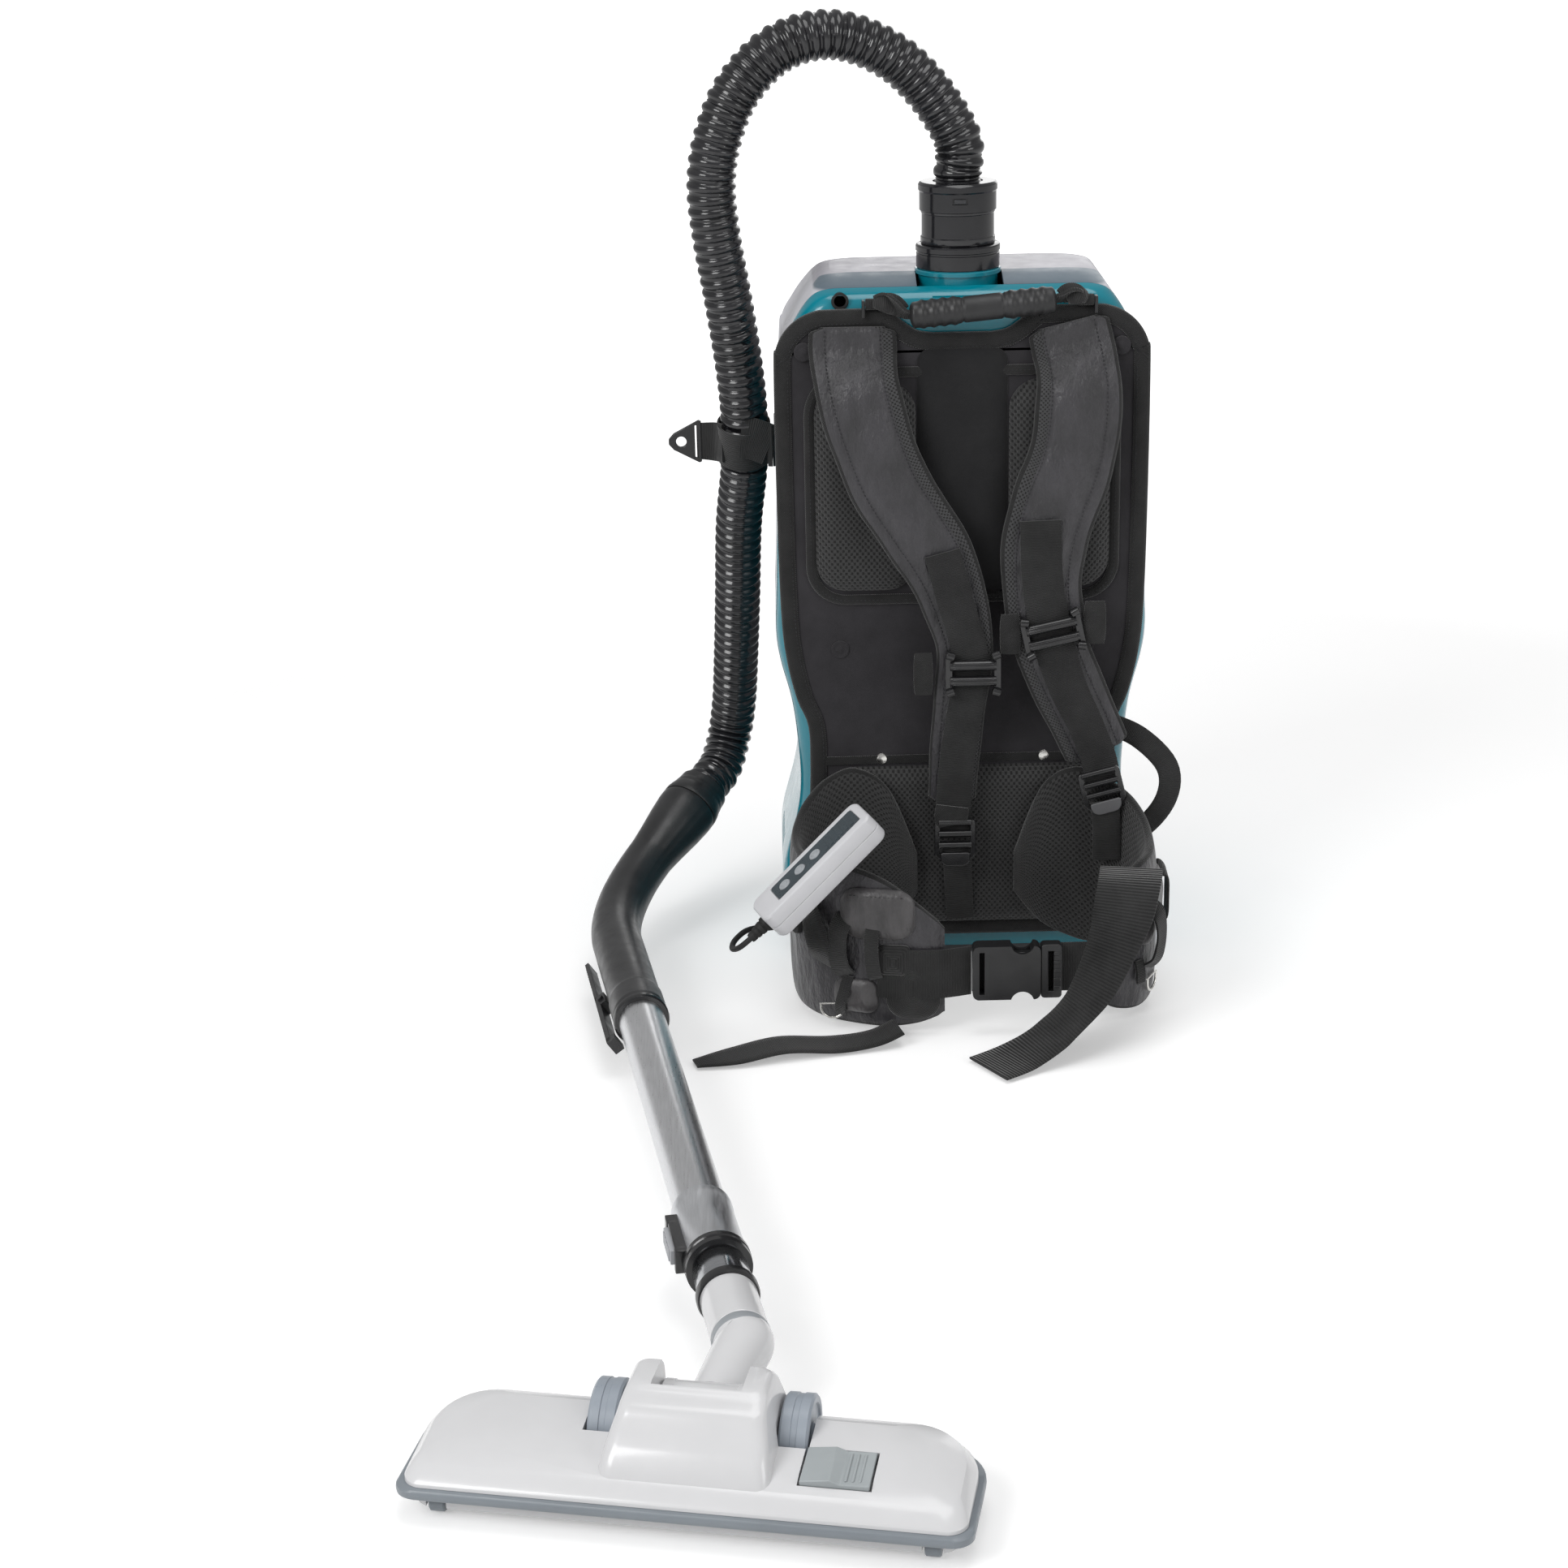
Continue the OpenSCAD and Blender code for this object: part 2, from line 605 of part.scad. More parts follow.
// Route of the hose: from the port over the arch, down the left side and
// forwards into the grip's cuff. Hand-chosen points.
HOSE = [[0, -50, hose_top - hose_seat + 0.5], [0, -50, hose_top + 5.6], [0, -51, hose_top + 31.6],
    [-22, -52, hose_top + 67.6], [-52, -56, hose_top + 95.6], [-94, -62, hose_top + 111.6],
    [-135, -70, hose_top + 103.6], [-166, -76, hose_top + 75.6], [-183, -80, hose_top + 39.6],
    [-189, -80, hose_top + 3.6], [-186, -76, 0.942 * hose_top], [-179, -68, 0.868 * hose_top],
    [-172, -56, 0.779 * hose_top], [-169, -45, 443], [-170, -30, 400],
    [-176, -8, 345], [-179, 18, 278], [-182, 40, 220], [-185, 54, 175], [-190, 57, 143],
    cuff_end + 44 * cuff_dir, cuff_end + 20 * cuff_dir, cuff_end + 2 * cuff_dir];
hose_fine = smooth(HOSE, 10);
hose_cum = [for (i = 0, s = 0; i < len(hose_fine);
    s = s + (i < len(hose_fine) - 1 ? norm(hose_fine[i + 1] - hose_fine[i]) : 0), i = i + 1) s];
hose_l = hose_cum[len(hose_cum) - 1];
function hose_at(s) = [for (k = [0 : 2])
    lookup(s, [for (i = [0 : len(hose_cum) - 1]) [hose_cum[i], hose_fine[i][k]]])];
ribs = floor(hose_l / rib_pitch);
rib_depth = 2.4;
module suction_hose() {
    outer = [for (i = [0 : 2 * ribs]) concat(hose_at(hose_l * i / (2 * ribs)),
        [hose_r - (i % 2 == 0 ? rib_depth : 0)])];
    inner = [for (i = [30 : -1 : 0]) concat(hose_at(hose_l * i / 30), [hose_bore_r - 0.2])];
    ring = function (p) [for (a = [0 : 45 : 315]) p[3] * [cos(a), sin(a)]];
    back = sweep([for (i = [30 : -1 : 0]) inner[i]], [0, -1, 0], ring);
    echo(hose_length = hose_l, ribs = ribs);
    color([0.04, 0.04, 0.045]) skin_loop(concat(sweep(outer, [0, -1, 0], ring),
        [for (i = [30 : -1 : 0]) back[i]]));
}

band_z = 421;
band_pos = [-169.5, -38, band_z];
band_h = 33;
module hose_band() {
    side_x = half_at(band_z - band_h / 2) + seat_gap;
    color([0.07, 0.07, 0.07]) {
        difference() {
            union() {
                translate(band_pos) rotate([19, 0, 0]) cylinder(h = band_h, r = hose_r + 2.2, center = true);
                // wing that lies on the housing's side
                translate([-side_x - 2, -62, band_z - band_h / 2]) cube([2, 46, band_h]);
                translate([-side_x - 8, -46, band_z - band_h / 2]) cube([7, 14, band_h]);
                // tail
                translate([band_pos[0] - 36, -40, band_z - band_h / 2 + 2]) cube([18, 2, band_h - 4]);
            }
            translate(band_pos) rotate([19, 0, 0]) cylinder(h = 80, r = hose_r + 0.5, center = true);
        }
        // plastic end ring with its hole
        translate([band_pos[0] - 60, -37, band_z]) rotate([90, 0, 0]) linear_extrude(4)
            difference() {
                polygon([[0, 2], [4, 6], [26, 17], [26, -17], [4, -6], [0, -2]]);
                translate([10, 0]) circle(r = 4);
            }
    }
}

// ---- harness -------------------------------------------------------------

board_corner = 40;
board_waist = 121;
// Right half of the board's outline, from the bottom middle to the top middle
BOARD = concat([[board_waist - 8, 20], [board_waist + 1, 60], [board_waist + 1, 130],
    [board_waist, 165], [board_waist + 1, 200], [board_waist + 10, 224],
    [board_w / 2 - 5, 258], [board_w / 2 - 1.5, 300], [board_w / 2, 400]],
    [for (a = [0 : 15 : 90]) [board_w / 2 - board_corner + board_corner * cos(a),
        board_top - board_corner + board_corner * sin(a)]],
    [[62, board_top], [54, board_top - 3], [44, board_top - 11], [34, board_top - 17],
     [22, board_top - 19]]);
function mirrored(h) = concat(h, [for (i = [len(h) - 1 : -1 : 0]) [-h[i][0], h[i][1]]]);
// Outline drawn in by d, each corner along its own normal
function drawn_in(p, d) = let (n = len(p)) [for (i = [0 : n - 1])
    let (a = unit(p[i] - p[(i + n - 1) % n]), b = unit(p[(i + 1) % n] - p[i]),
        m = unit([-a[1] - b[1], a[0] + b[0]])) p[i] + m * d];
module board_shape(d) { polygon(drawn_in(mirrored(BOARD), d)); }
module on_face(y, t) { translate([0, y, 0]) rotate([90, 0, 0]) linear_extrude(t) children(); }

module back_panel() {
    color([0.09, 0.09, 0.095]) {
        on_face(back_y, board_t) board_shape(0);
        on_face(face_y, 1.5) difference() {
            board_shape(0);
            board_shape(binding_w);
        }
        // anchors of the handle: an ear and a pin each
        for (x = anchor_x) {
            ear = x + sign(x) * (anchor_w / 2 + 1.6);
            translate([ear - 1.2, anchor_y - 3.5, board_top - 4]) cube([2.4, 7.5, anchor_z - board_top + 7]);
            translate([(ear + x) / 2, anchor_y, anchor_z]) rod_x(anchor_w, anchor_r);
        }
    }
}

// Pillow on the board: corner radius r, crown t, edges drawn in
module pillow(x, z, w, h, r, t) {
    skin([for (q = [[0.0, 0], [0, 0.45], [3, 0.85], [9, 1]])
        [for (p = round_rect(x - w / 2 + q[0], x + w / 2 - q[0], z - h / 2 + q[0],
            z + h / 2 - q[0], r - q[0] / 2, r - q[0] / 2)) [p[0], face_y - seat_gap - q[1] * t, p[1]]]]);
}
pad_w = 79;
pad_h = 166;
pad_z = 395;
spine_w = 72;
lumbar_w = 214;
lumbar_h = 135;
lumbar_z = 98;
module mesh_pads() {
    color([0.06, 0.06, 0.06]) {
        for (s = [-1, 1]) pillow(s * (spine_w + pad_w) / 2, pad_z, pad_w, pad_h, 24, pad_t);
        pillow(0, lumbar_z, lumbar_w, lumbar_h, 20, pad_t);
    }
}

stud_x = 65;
stud_z = 172;
module panel_studs() {
    color([0.6, 0.6, 0.6]) {
        for (s = [-1, 1]) translate([s * stud_x, face_y, stud_z]) rotate([90, 0, 0])
            cylinder(h = 2.2, r = 4.5);
        for (s = [-1, 1]) translate([s * 97, face_y, 264]) rotate([90, 0, 0]) cylinder(h = 1, r = 7);
        for (s = [-1, 1]) translate([s * 122, face_y - 1.5, board_top - 30]) rotate([90, 0, 0])
            cylinder(h = 1, r = 7);
    }
}

handle_mid = [15, face_y - 12, board_top + 3];
handle_tilt = -5;
anchor_x = [-68, 94];
anchor_y = face_y - 4;
anchor_z = board_top + 6;
anchor_w = 12;
anchor_r = 1.5;
barrel_t = 2.6;
module carry_handle() {
    color([0.13, 0.13, 0.135]) translate(handle_mid) rotate([0, handle_tilt, 0]) {
        difference() {
            rod_x(handle_l, handle_r);
            rod_x(handle_l + 2, handle_r - 6);
        }
        // finger ribs near both ends
        for (s = [-1, 1], i = [0 : 3]) translate([s * (handle_l / 2 - 10 - i * 8), 0, 0]) difference() {
            rod_x(3, handle_r + 0.4);
            rod_x(5, handle_r - 1);
        }
    }
}

module handle_loops() {
    e = handle_l / 2 * cos(handle_tilt);
    lift = handle_l / 2 * sin(-handle_tilt);
    color([0.08, 0.08, 0.08]) {
        for (x = anchor_x) translate([x, anchor_y, anchor_z]) difference() {
            rod_x(anchor_w, anchor_r + barrel_t);
            rod_x(anchor_w + 2, anchor_r + run_gap);
        }
        for (s = [-1, 1]) skin(sweep([for (k = [0 : 4]) let (x = anchor_x[(s + 1) / 2])
            [lookup(k, [[0, x - s * anchor_w / 2.2], [2, (x + handle_mid[0] + s * e) / 2],
                [4, handle_mid[0] + s * (e - 2)]]),
             lookup(k, [[0, anchor_y - 3], [1, anchor_y - 5], [4, handle_mid[1]]]),
             lookup(k, [[0, anchor_z + 2.6], [1, anchor_z + 3.5], [4, handle_mid[2] + s * lift]]), 8]],
            [0, 0.25, 1], band));
    }
}

// Padded straps: [x, y, z, width, crown]
STRAP_LEFT = [[-84, -105, 521, 66, 4.4], [-84, -105.4, 503, 67, 5], [-83, -113.5, 488, 66, 9],
    [-80, -121, 470, 65, 13], [-72, -123.5, 440, 64, 14], [-58, -125, 403, 63, 13],
    [-38, -126, 370, 62, 14], [-20, -127, 340, 59, 12], [-8, -127, 308, 52, 9],
    [0, -127, 270, 45, 9], [-4, -126, 225, 42, 8], [-8, -124, 180, 40, 8], [-10, -122, 142, 38, 6]];
STRAP_RIGHT = [[80, -105, 521, 62, 4.4], [84, -105.4, 504, 63, 5], [87, -113.5, 488, 64, 9],
    [88, -121, 470, 66, 13], [86, -123.5, 440, 67, 14], [80, -125, 412, 68, 13],
    [70, -126, 385, 69, 11], [62, -127, 355, 67, 13], [60, -127, 325, 63, 10],
    [63, -127, 295, 61, 9], [69, -127, 268, 59, 9], [80, -126, 240, 57, 8], [95, -124, 207, 55, 8],
    [107, -122, 180, 52, 6]];
out_back = [0, -1, 0];
module shoulder_strap_left() { color([0.13, 0.12, 0.13]) pad_along(STRAP_LEFT, out_back, 3); }
module shoulder_strap_right() { color([0.13, 0.12, 0.13]) pad_along(STRAP_RIGHT, out_back, 3); }

web = webbing_w;
module strap_webbing() {
    color([0.05, 0.05, 0.05]) {
        band_along([[-18, -136.2, 350, web], [-8, -136, 312, web], [3, -134, 272, web],
            [5, -133.6, 250, web], [0, -132.6, 222, web], [-6, -130.2, 180, web],
            [-9, -127.6, 142, web], [-8, -125.5, 112, web]], out_back);
        band_along([[-7, -127, 108, web * 0.8], [-5, -118, 78, web * 0.8],
            [-3, -114, 38, web * 0.8]], out_back);
        band_along([[58, -136.2, 374, web + 4], [60, -134.6, 325, web + 4], [68, -134, 280, web + 4],
            [80, -132.4, 240, web + 2], [95, -130.4, 207, web], [106, -129.4, 178, web],
            [109, -136.6, 160, web]], out_back);
        band_along([[110, -143, 146, web * 0.8], [112, -141, 122, web * 0.8],
            [112, -141, 96, web * 0.8]], out_back);
        // adjuster end that loops out at the right edge of the board
        band_along([[112, -104.4, 200, 18], [140, -108, 188, 18], [163, -112, 164, 18],
            [163, -114, 138, 18], [145, -111, 112, 18], [114, -104.4, 92, 18]], [0.1, -1, 0]);
    }
}

// Ladder buckle: a frame of bars, standing off the webbing
module ladder(w, h, bars) {
    rotate([90, 0, 0]) linear_extrude(3) difference() {
        rounded(w, h, 4);
        for (i = [0 : bars - 1]) translate([0, (i - (bars - 1) / 2) * (h - 4) / bars])
            square([w - 8, (h - 4) / bars - 3.4], center = true);
    }
}
module strap_buckles() {
    color([0.03, 0.03, 0.03]) {
        translate([6, -135, 253]) ladder(web + 16, 36, 2);
        translate([68, -135.6, 284]) rotate([0, 12, 0]) ladder(web + 20, 34, 2);
        translate([-8, -128, 112]) ladder(web + 6, 34, 3);
        translate([108, -138.2, 156]) rotate([0, 14, 0]) ladder(web + 4, 30, 3);
    }
}

// Hip pads: [x, y, low z, high z, thickness] along each wing in plan
WING_LEFT = [[-38, -119.5, 62, 98, 8], [-60, -120, 36, 152, 11], [-86, -120.6, 22, 171, 11],
    [-109, -125, 16, 165, 11], [-125, -137, 10, 152, 12], [-134, -158, 7, 140, 12],
    [-135, -182, 5, 133, 12], [-129, -206, 4, 132, 13], [-115, -227, 4, 134, 13],
    [-93, -241, 4, 133, 13], [-68, -249, 4, 124, 12], [-44, -253, 8, 106, 10], [-24, -254, 16, 88, 7]];
WING_RIGHT = [[40, -119.5, 62, 98, 8], [62, -120, 36, 152, 11], [88, -120.6, 22, 168, 11],
    [112, -125, 16, 160, 11], [129, -137, 10, 150, 12], [138, -158, 7, 140, 12],
    [140, -182, 5, 132, 12], [137, -204, 4, 128, 13], [126, -223, 4, 124, 12],
    [109, -233, 8, 112, 10], [92, -236, 18, 94, 7]];
// Stations in plan become rings: the section stands upright on the path
function wing_rings(w) = let (p = smooth(w, 2)) [for (i = [0 : len(p) - 1])
    let (a = p[max(i - 1, 0)], b = p[min(i + 1, len(p) - 1)], t = unit([b[0] - a[0], b[1] - a[1], 0]),
        up = [0, 0, 1], out = cross(t, up), m = (p[i][2] + p[i][3]) / 2, h = (p[i][3] - p[i][2]) / 2)
    [for (q = pad([0, 0, 0, 2 * h, p[i][4]])) [p[i][0], p[i][1], m] + up * q[0] + out * q[1]]];
module hip_pad_left() { color([0.1, 0.1, 0.1]) skin(wing_rings(WING_LEFT)); }
module hip_pad_right() {
    color([0.1, 0.1, 0.1]) mirror([1, 0, 0])
        skin(wing_rings([for (p = WING_RIGHT) [-p[0], p[1], p[2], p[3], p[4]]]));
}

belt_z = 51;
buckle_y = -254;
module belt_webbing() {
    color([0.05, 0.05, 0.05]) {
        // belt on the left wing, up to the buckle
        band_along([[-76, -256.4, belt_z, belt_w], [-50, -260.6, belt_z, belt_w],
            [-30, -261, belt_z, belt_w], [-16, -258, belt_z, belt_w],
            [-4, buckle_y, belt_z, belt_w]], [0, -1, 0]);
        // wide tail from the right wing to the floor
        band_along([[121, -229.2, 122, 48], [116, -252, 114, 48], [106, -273, 88, 48],
            [84, -290, 46, 48], [56, -301, 18, 48], [30, -312, 5, 48], [4, -328, 2, 48]], [0, 0, 1]);
        // narrow tail from the left wing along the floor
        band_along([[-60, -267.6, 11, 30], [-80, -272.6, 4, 30], [-110, -278, 2, 32], [-150, -288, 7, 32],
            [-186, -297, 3, 30], [-216, -306, 1.5, 14]], [0, 0, 1]);
    }
}

buckle_h = 44;
buckle_l = 52;
buckle_t = 14;
buckle_x = -3;
module belt_buckle_female() {
    color([0.08, 0.08, 0.08]) translate([buckle_x, buckle_y, belt_z]) difference() {
        translate([buckle_l / 2, -buckle_t / 2, 0]) plate_xz(buckle_l, buckle_h, buckle_t, 5);
        translate([12, -4, -buckle_h / 2 + 5]) cube([buckle_l, 8, buckle_h - 10]);
        translate([3, -10, -belt_w / 2 - 0.5]) cube([4, 20, belt_w + 1]);
        translate([buckle_l - 14, 0, buckle_h / 2 + 3]) rotate([90, 0, 0])
            cylinder(h = 30, r = 9, center = true);
    }
}

male_x = buckle_x + buckle_l + seat_gap;
module belt_buckle_male() {
    color([0.06, 0.06, 0.06]) translate([male_x, buckle_y, belt_z]) {
        difference() {
            translate([8, -5, 0]) plate_xz(16, buckle_h, 10, 3);
            translate([8, -10, -belt_w / 2 - 0.5]) cube([4, 20, belt_w + 1]);
        }
        for (s = [-1, 1]) translate([-34, -3, s * 12 - 3.5]) cube([35, 6, 7]);
        // end of the belt, which comes away with the buckle
        translate([16, -webbing_t / 2 + 3, -belt_w / 2]) cube([26, webbing_t, belt_w]);
    }
}

// D-shaped ring in the XZ plane with its straight bar on top
module d_ring() {
    rotate([90, 0, 0]) rotate_extrude(angle = 180) translate([9, 0]) circle(r = 1.4, $fn = 24);
    rod_x(20.8, 1.4);
}
module d_rings() {
    color([0.75, 0.75, 0.77]) {
        translate([-110, -245, 19]) mirror([0, 0, 1]) d_ring();
        translate([140.2, -215.5, 24]) rotate([0, 0, 62]) mirror([0, 0, 1]) d_ring();
    }
}

// ---- remote control ------------------------------------------------------

remote_pos = [-119, -262, 139];
remote_turn = [1.2, -40.8, 17.5];
key_d = 1.2;
module at_remote() { translate(remote_pos) rotate(remote_turn) children(); }
module remote_case() {
    color([0.78, 0.79, 0.8]) at_remote() difference() {
        union() {
            translate([0, 0, -remote_t / 2]) linear_extrude(remote_t) rounded(remote_l, remote_w, 6);
            // moulded relief round the cable and clip that holds on to the hip pad
            translate([-remote_l / 2, 0, 0]) rotate([0, -90, 0]) cylinder(h = 16, r1 = 5.6, r2 = 3.3);
            translate([-2, remote_w / 2 - 10, -remote_t / 2 - 5]) cube([28, 11.8, 6]);
        }
        translate([6, 0, remote_t / 2 - key_d]) linear_extrude(5) rounded(remote_l - 26, remote_w - 14, 5);
        for (i = [0 : 2]) translate([-26 + 16 * i, 0, 0]) cylinder(h = 20, r = button_r + 0.3);
        translate([remote_l / 2, 0, 2]) cube([6, 11, 5], center = true);
        translate([-remote_l / 2 - 17, 0, 0]) rotate([0, 90, 0]) cylinder(h = 24, r = cable_r + 0.3);
    }
}

module remote_keypad() {
    color([0.2, 0.22, 0.26]) at_remote() difference() {
        translate([6, 0, remote_t / 2 - key_d]) linear_extrude(key_d + 0.3)
            rounded(remote_l - 26.6, remote_w - 14.6, 4.8);
        for (i = [0 : 2]) translate([-26 + 16 * i, 0, 0]) cylinder(h = 20, r = button_r + 0.25);
    }
}

button_stroke = 0.8;
module button(i) {
    color([0.85, 0.86, 0.88]) at_remote() translate([-26 + 16 * i, 0, button_stroke + 0.4])
        cylinder(h = remote_t / 2 + 1.2 - button_stroke - 0.4, r = button_r);
}
module power_button() { button(0); }
module speed_button() { button(1); }
module mode_button() { button(2); }

cable_r = 2.2;
gland_r = 8;
gland_pos = [-136.2, -209.2, 75];
gland_turn = 24;
cable_dir = [0.722, 0.228, 0.654];
cable_in = remote_pos - (remote_l / 2 - 5.5) * cable_dir;
// Cable route, from the gland to the remote's lower end. Hand-chosen points.
CABLE = [[-146.7, -213.9, 75], [-151, -215.8, 75], [-160, -221, 76], [-168.5, -229, 79.5],
    [-177, -241, 81.5], [-184.5, -254.7, 79.7], [-186, -266.8, 78.4], [-180.6, -276.7, 83.2],
    cable_in - 22 * cable_dir, cable_in - 11 * cable_dir, cable_in - 5 * cable_dir, cable_in];
module remote_cable() {
    ring = function (p) [for (a = [0 : 45 : 315]) cable_r * [cos(a), sin(a)]];
    color([0.04, 0.04, 0.04]) skin(sweep(smooth(CABLE, 3), [0, 0, 1], ring));
}

// Rubber gland on the hip pad; the cable runs on inside the belt to the housing
module cable_gland() {
    color([0.04, 0.04, 0.04]) translate(gland_pos) rotate([0, 0, gland_turn]) rotate([0, -90, 0])
        difference() {
            union() {
                cylinder(h = 3, r = gland_r);
                cylinder(h = 14, r = cable_r + 1.6);
            }
            translate([0, 0, 11.4]) cylinder(h = 5, r = cable_r + 0.3);
        }
}

// ---- wand ----------------------------------------------------------------

module at_wand() { translate(wand_pos) rotate([0, 0, wand_yaw]) children(); }
// Frame at the end of the grip's bend, +Z along the upper grip
module at_bell() {
    at_wand() rotate([roll, 0, 0]) translate([-bend_s - bend_r * sin(grip_bend), 0,
        bend_r * (1 - cos(grip_bend))]) rotate([0, grip_bend - 90, 0]) children();
}

grip_bore = hose_bore_r;
socket_l = 22;
module along_x() { rotate([0, 90, 0]) children(); }
module wand_grip() {
    color([0.05, 0.05, 0.055]) {
        at_wand() difference() {
            union() {
                // straight handle and tube socket
                translate([-bend_s, 0, 0]) along_x() cylinder(h = bend_s + socket_l, r = grip_r);
                translate([-10, 0, 0]) along_x() cylinder(h = socket_l + 8, r = grip_r + 1);
                // lug that carries the lock lever's pin
                rotate([roll, 0, 0]) translate([-46, -lever_w / 2, -grip_r - 9]) cube([8, 4, 12]);
                rotate([roll, 0, 0]) translate([-46, lever_w / 2 - 4, -grip_r - 9]) cube([8, 4, 12]);
            }
            translate([-bend_s - 1, 0, 0]) along_x() cylinder(h = bend_s + socket_l + 2, r = grip_bore);
            translate([-14, 0, 0]) along_x() cylinder(h = socket_l + 20, r = tube_r + 0.05);
            rotate([roll, 0, 0]) translate([-42, 0, -grip_r - 5]) rotate([90, 0, 0])
                cylinder(h = 60, r = 1.5 + run_gap, center = true);
        }
        at_wand() rotate([roll, 0, 0]) translate([-bend_s, 0, bend_r]) rotate([90, 0, 0])
            rotate([0, 0, -91 - grip_bend]) rotate_extrude(angle = grip_bend + 2)
            translate([bend_r, 0]) difference() {
                circle(r = grip_r - 0.3);
                circle(r = grip_bore + 0.3);
            }
        at_bell() difference() {
            rotate_extrude() polygon([[grip_bore, -2], [grip_r, -2], [grip_r + 1.5, 14],
                [24, 34], [25.4, 50], [25.4, bell_l], [grip_bore, bell_l]]);
            translate([0, 0, bell_l - 14]) cylinder(h = 20, r = cuff_spigot_r + run_gap);
            translate([-27, -6, 24]) cube([5, 12, 24]);
            translate([-30, -2, 30]) cube([20, 4, 8]);
        }
    }
}

cuff_spigot_r = 21;
module grip_cuff() {
    color([0.07, 0.07, 0.075]) at_bell() difference() {
        rotate_extrude() polygon([[grip_bore, bell_l - 13.7], [cuff_spigot_r, bell_l - 13.7],
            [cuff_spigot_r, bell_l + part_gap], [25, bell_l + part_gap], [24.2, bell_l + 8],
            [21.6, bell_l + cuff_l], [grip_bore, bell_l + cuff_l]]);
        translate([0, 0, bell_l + cuff_l - 16.3]) cylinder(h = 30, r = hose_r + 0.4);
    }
}

module suction_slider() {
    color([0.12, 0.12, 0.125]) at_bell() translate([-26.6, -5.6, 25]) cube([3.2, 11.2, 12]);
}

lever_w = 22;
module lock_lever() {
    color([0.04, 0.04, 0.045]) at_wand() rotate([roll, 0, 0]) {
        translate([-118, -6, -grip_r - 10]) cube([74, 12, 3.5]);
        translate([-50, -6, -grip_r - 10]) cube([16, 12, 9]);
        translate([-38, -6, -grip_r - 10]) cube([72, 12, 4]);
        translate([28, -6, -grip_r - 10]) cube([8, 12, 8]);
        translate([-42, 0, -grip_r - 5]) rotate([90, 0, 0])
            cylinder(h = lever_w - 0.6, r = 1.5, center = true);
    }
}

sleeve_s = outer_l - 30;
sleeve_l = 76;
collar_l = 12;
module outer_tube() {
    color([0.78, 0.79, 0.8]) at_wand() translate([-13.5, 0, 0]) along_x() difference() {
        cylinder(h = outer_l + 10, r = tube_r);
        translate([0, 0, -1]) cylinder(h = outer_l + 20, r = tube_r - tube_wall);
    }
}

module tube_sleeve() {
    color([0.75, 0.76, 0.77]) at_wand() translate([sleeve_s, 0, 0]) difference() {
        union() {
            along_x() cylinder(h = sleeve_l, r = sleeve_r);
            translate([sleeve_l - 10, 0, 0]) along_x() cylinder(h = collar_l, r = sleeve_r + 1.6);
            // seat of the release button
            translate([14, -sleeve_r - 6, -8]) cube([50, 12, 16]);
        }
        translate([-1, 0, 0]) along_x() cylinder(h = 30, r = tube_r + run_gap);
        translate([-1, 0, 0]) along_x() cylinder(h = sleeve_l + 30, r = inner_r + run_gap);
        translate([24, -sleeve_r - 20, -5.3]) cube([34, 20, 10.6]);
    }
}

module telescopic_button() {
    color([0.55, 0.57, 0.6]) at_wand() translate([sleeve_s + 25, -sleeve_r - 9, -5])
        cube([32, 6, 10]);
}

inner_s = 60;
ferrule_s = sleeve_s + sleeve_l + 4;
ferrule_l = 28;
inner_wall = 0.9;
module inner_tube() {
    color([0.8, 0.81, 0.82]) at_wand() difference() {
        union() {
            translate([inner_s, 0, 0]) along_x() cylinder(h = ferrule_s + ferrule_l - inner_s, r = inner_r);
            translate([ferrule_s, 0, 0]) along_x() cylinder(h = ferrule_l, r = inner_r + 1.7);
            translate([ferrule_s + ferrule_l - 2, 0, 0]) along_x() cylinder(h = 9, r = inner_r + 4);
        }
        translate([inner_s - 1, 0, 0]) along_x() cylinder(h = 600, r = inner_r - inner_wall);
    }
}

neck_s = ferrule_s + ferrule_l + 7;
neck_l = 46;
neck_r = 18;
neck_plug = 34;
module neck_upper() {
    color([0.92, 0.92, 0.93]) at_wand() difference() {
        union() {
            translate([neck_s - neck_plug, 0, 0]) along_x()
                cylinder(h = neck_plug + 1, r = inner_r - inner_wall - 0.1);
            translate([neck_s + 0.1, 0, 0]) along_x() cylinder(h = neck_l, r = neck_r);
        }
        translate([neck_s - neck_plug - 1, 0, 0]) along_x() cylinder(h = neck_l + 80, r = 13);
        translate([neck_s + neck_l - 11.9, 0, 0]) along_x() cylinder(h = 20, r = swivel_r + run_gap);
    }
}

swivel_r = 15.5;
barrel_y = 32;
barrel_z = 33;
elbow_s = neck_s + neck_l + 11.5;
elbow_pos = wand_pos + rot_z([elbow_s, 0, 0], wand_yaw);
barrel_pos = nozzle_pos + rot_z([0, barrel_y, barrel_z], nozzle_yaw);
module neck_lower() {
    color([0.92, 0.92, 0.93]) difference() {
        union() {
            at_wand() translate([neck_s + neck_l - 11.5, 0, 0]) along_x() cylinder(h = 15, r = swivel_r);
            at_wand() translate([neck_s + neck_l + 0.5, 0, 0]) along_x() cylinder(h = 7.5, r = neck_r);
            translate(elbow_pos) sphere(r = neck_r + 0.6);
            rod(elbow_pos, barrel_pos, neck_r - 0.5);
            translate(barrel_pos) rotate([0, 0, nozzle_yaw]) rod_x(barrel_w, barrel_r);
        }
        at_wand() translate([neck_s + neck_l - 12, 0, 0]) along_x() cylinder(h = 20, r = 12.5);
        translate(elbow_pos) sphere(r = 13.2);
        rod(elbow_pos, barrel_pos, 12);
    }
}

// ---- floor nozzle --------------------------------------------------------

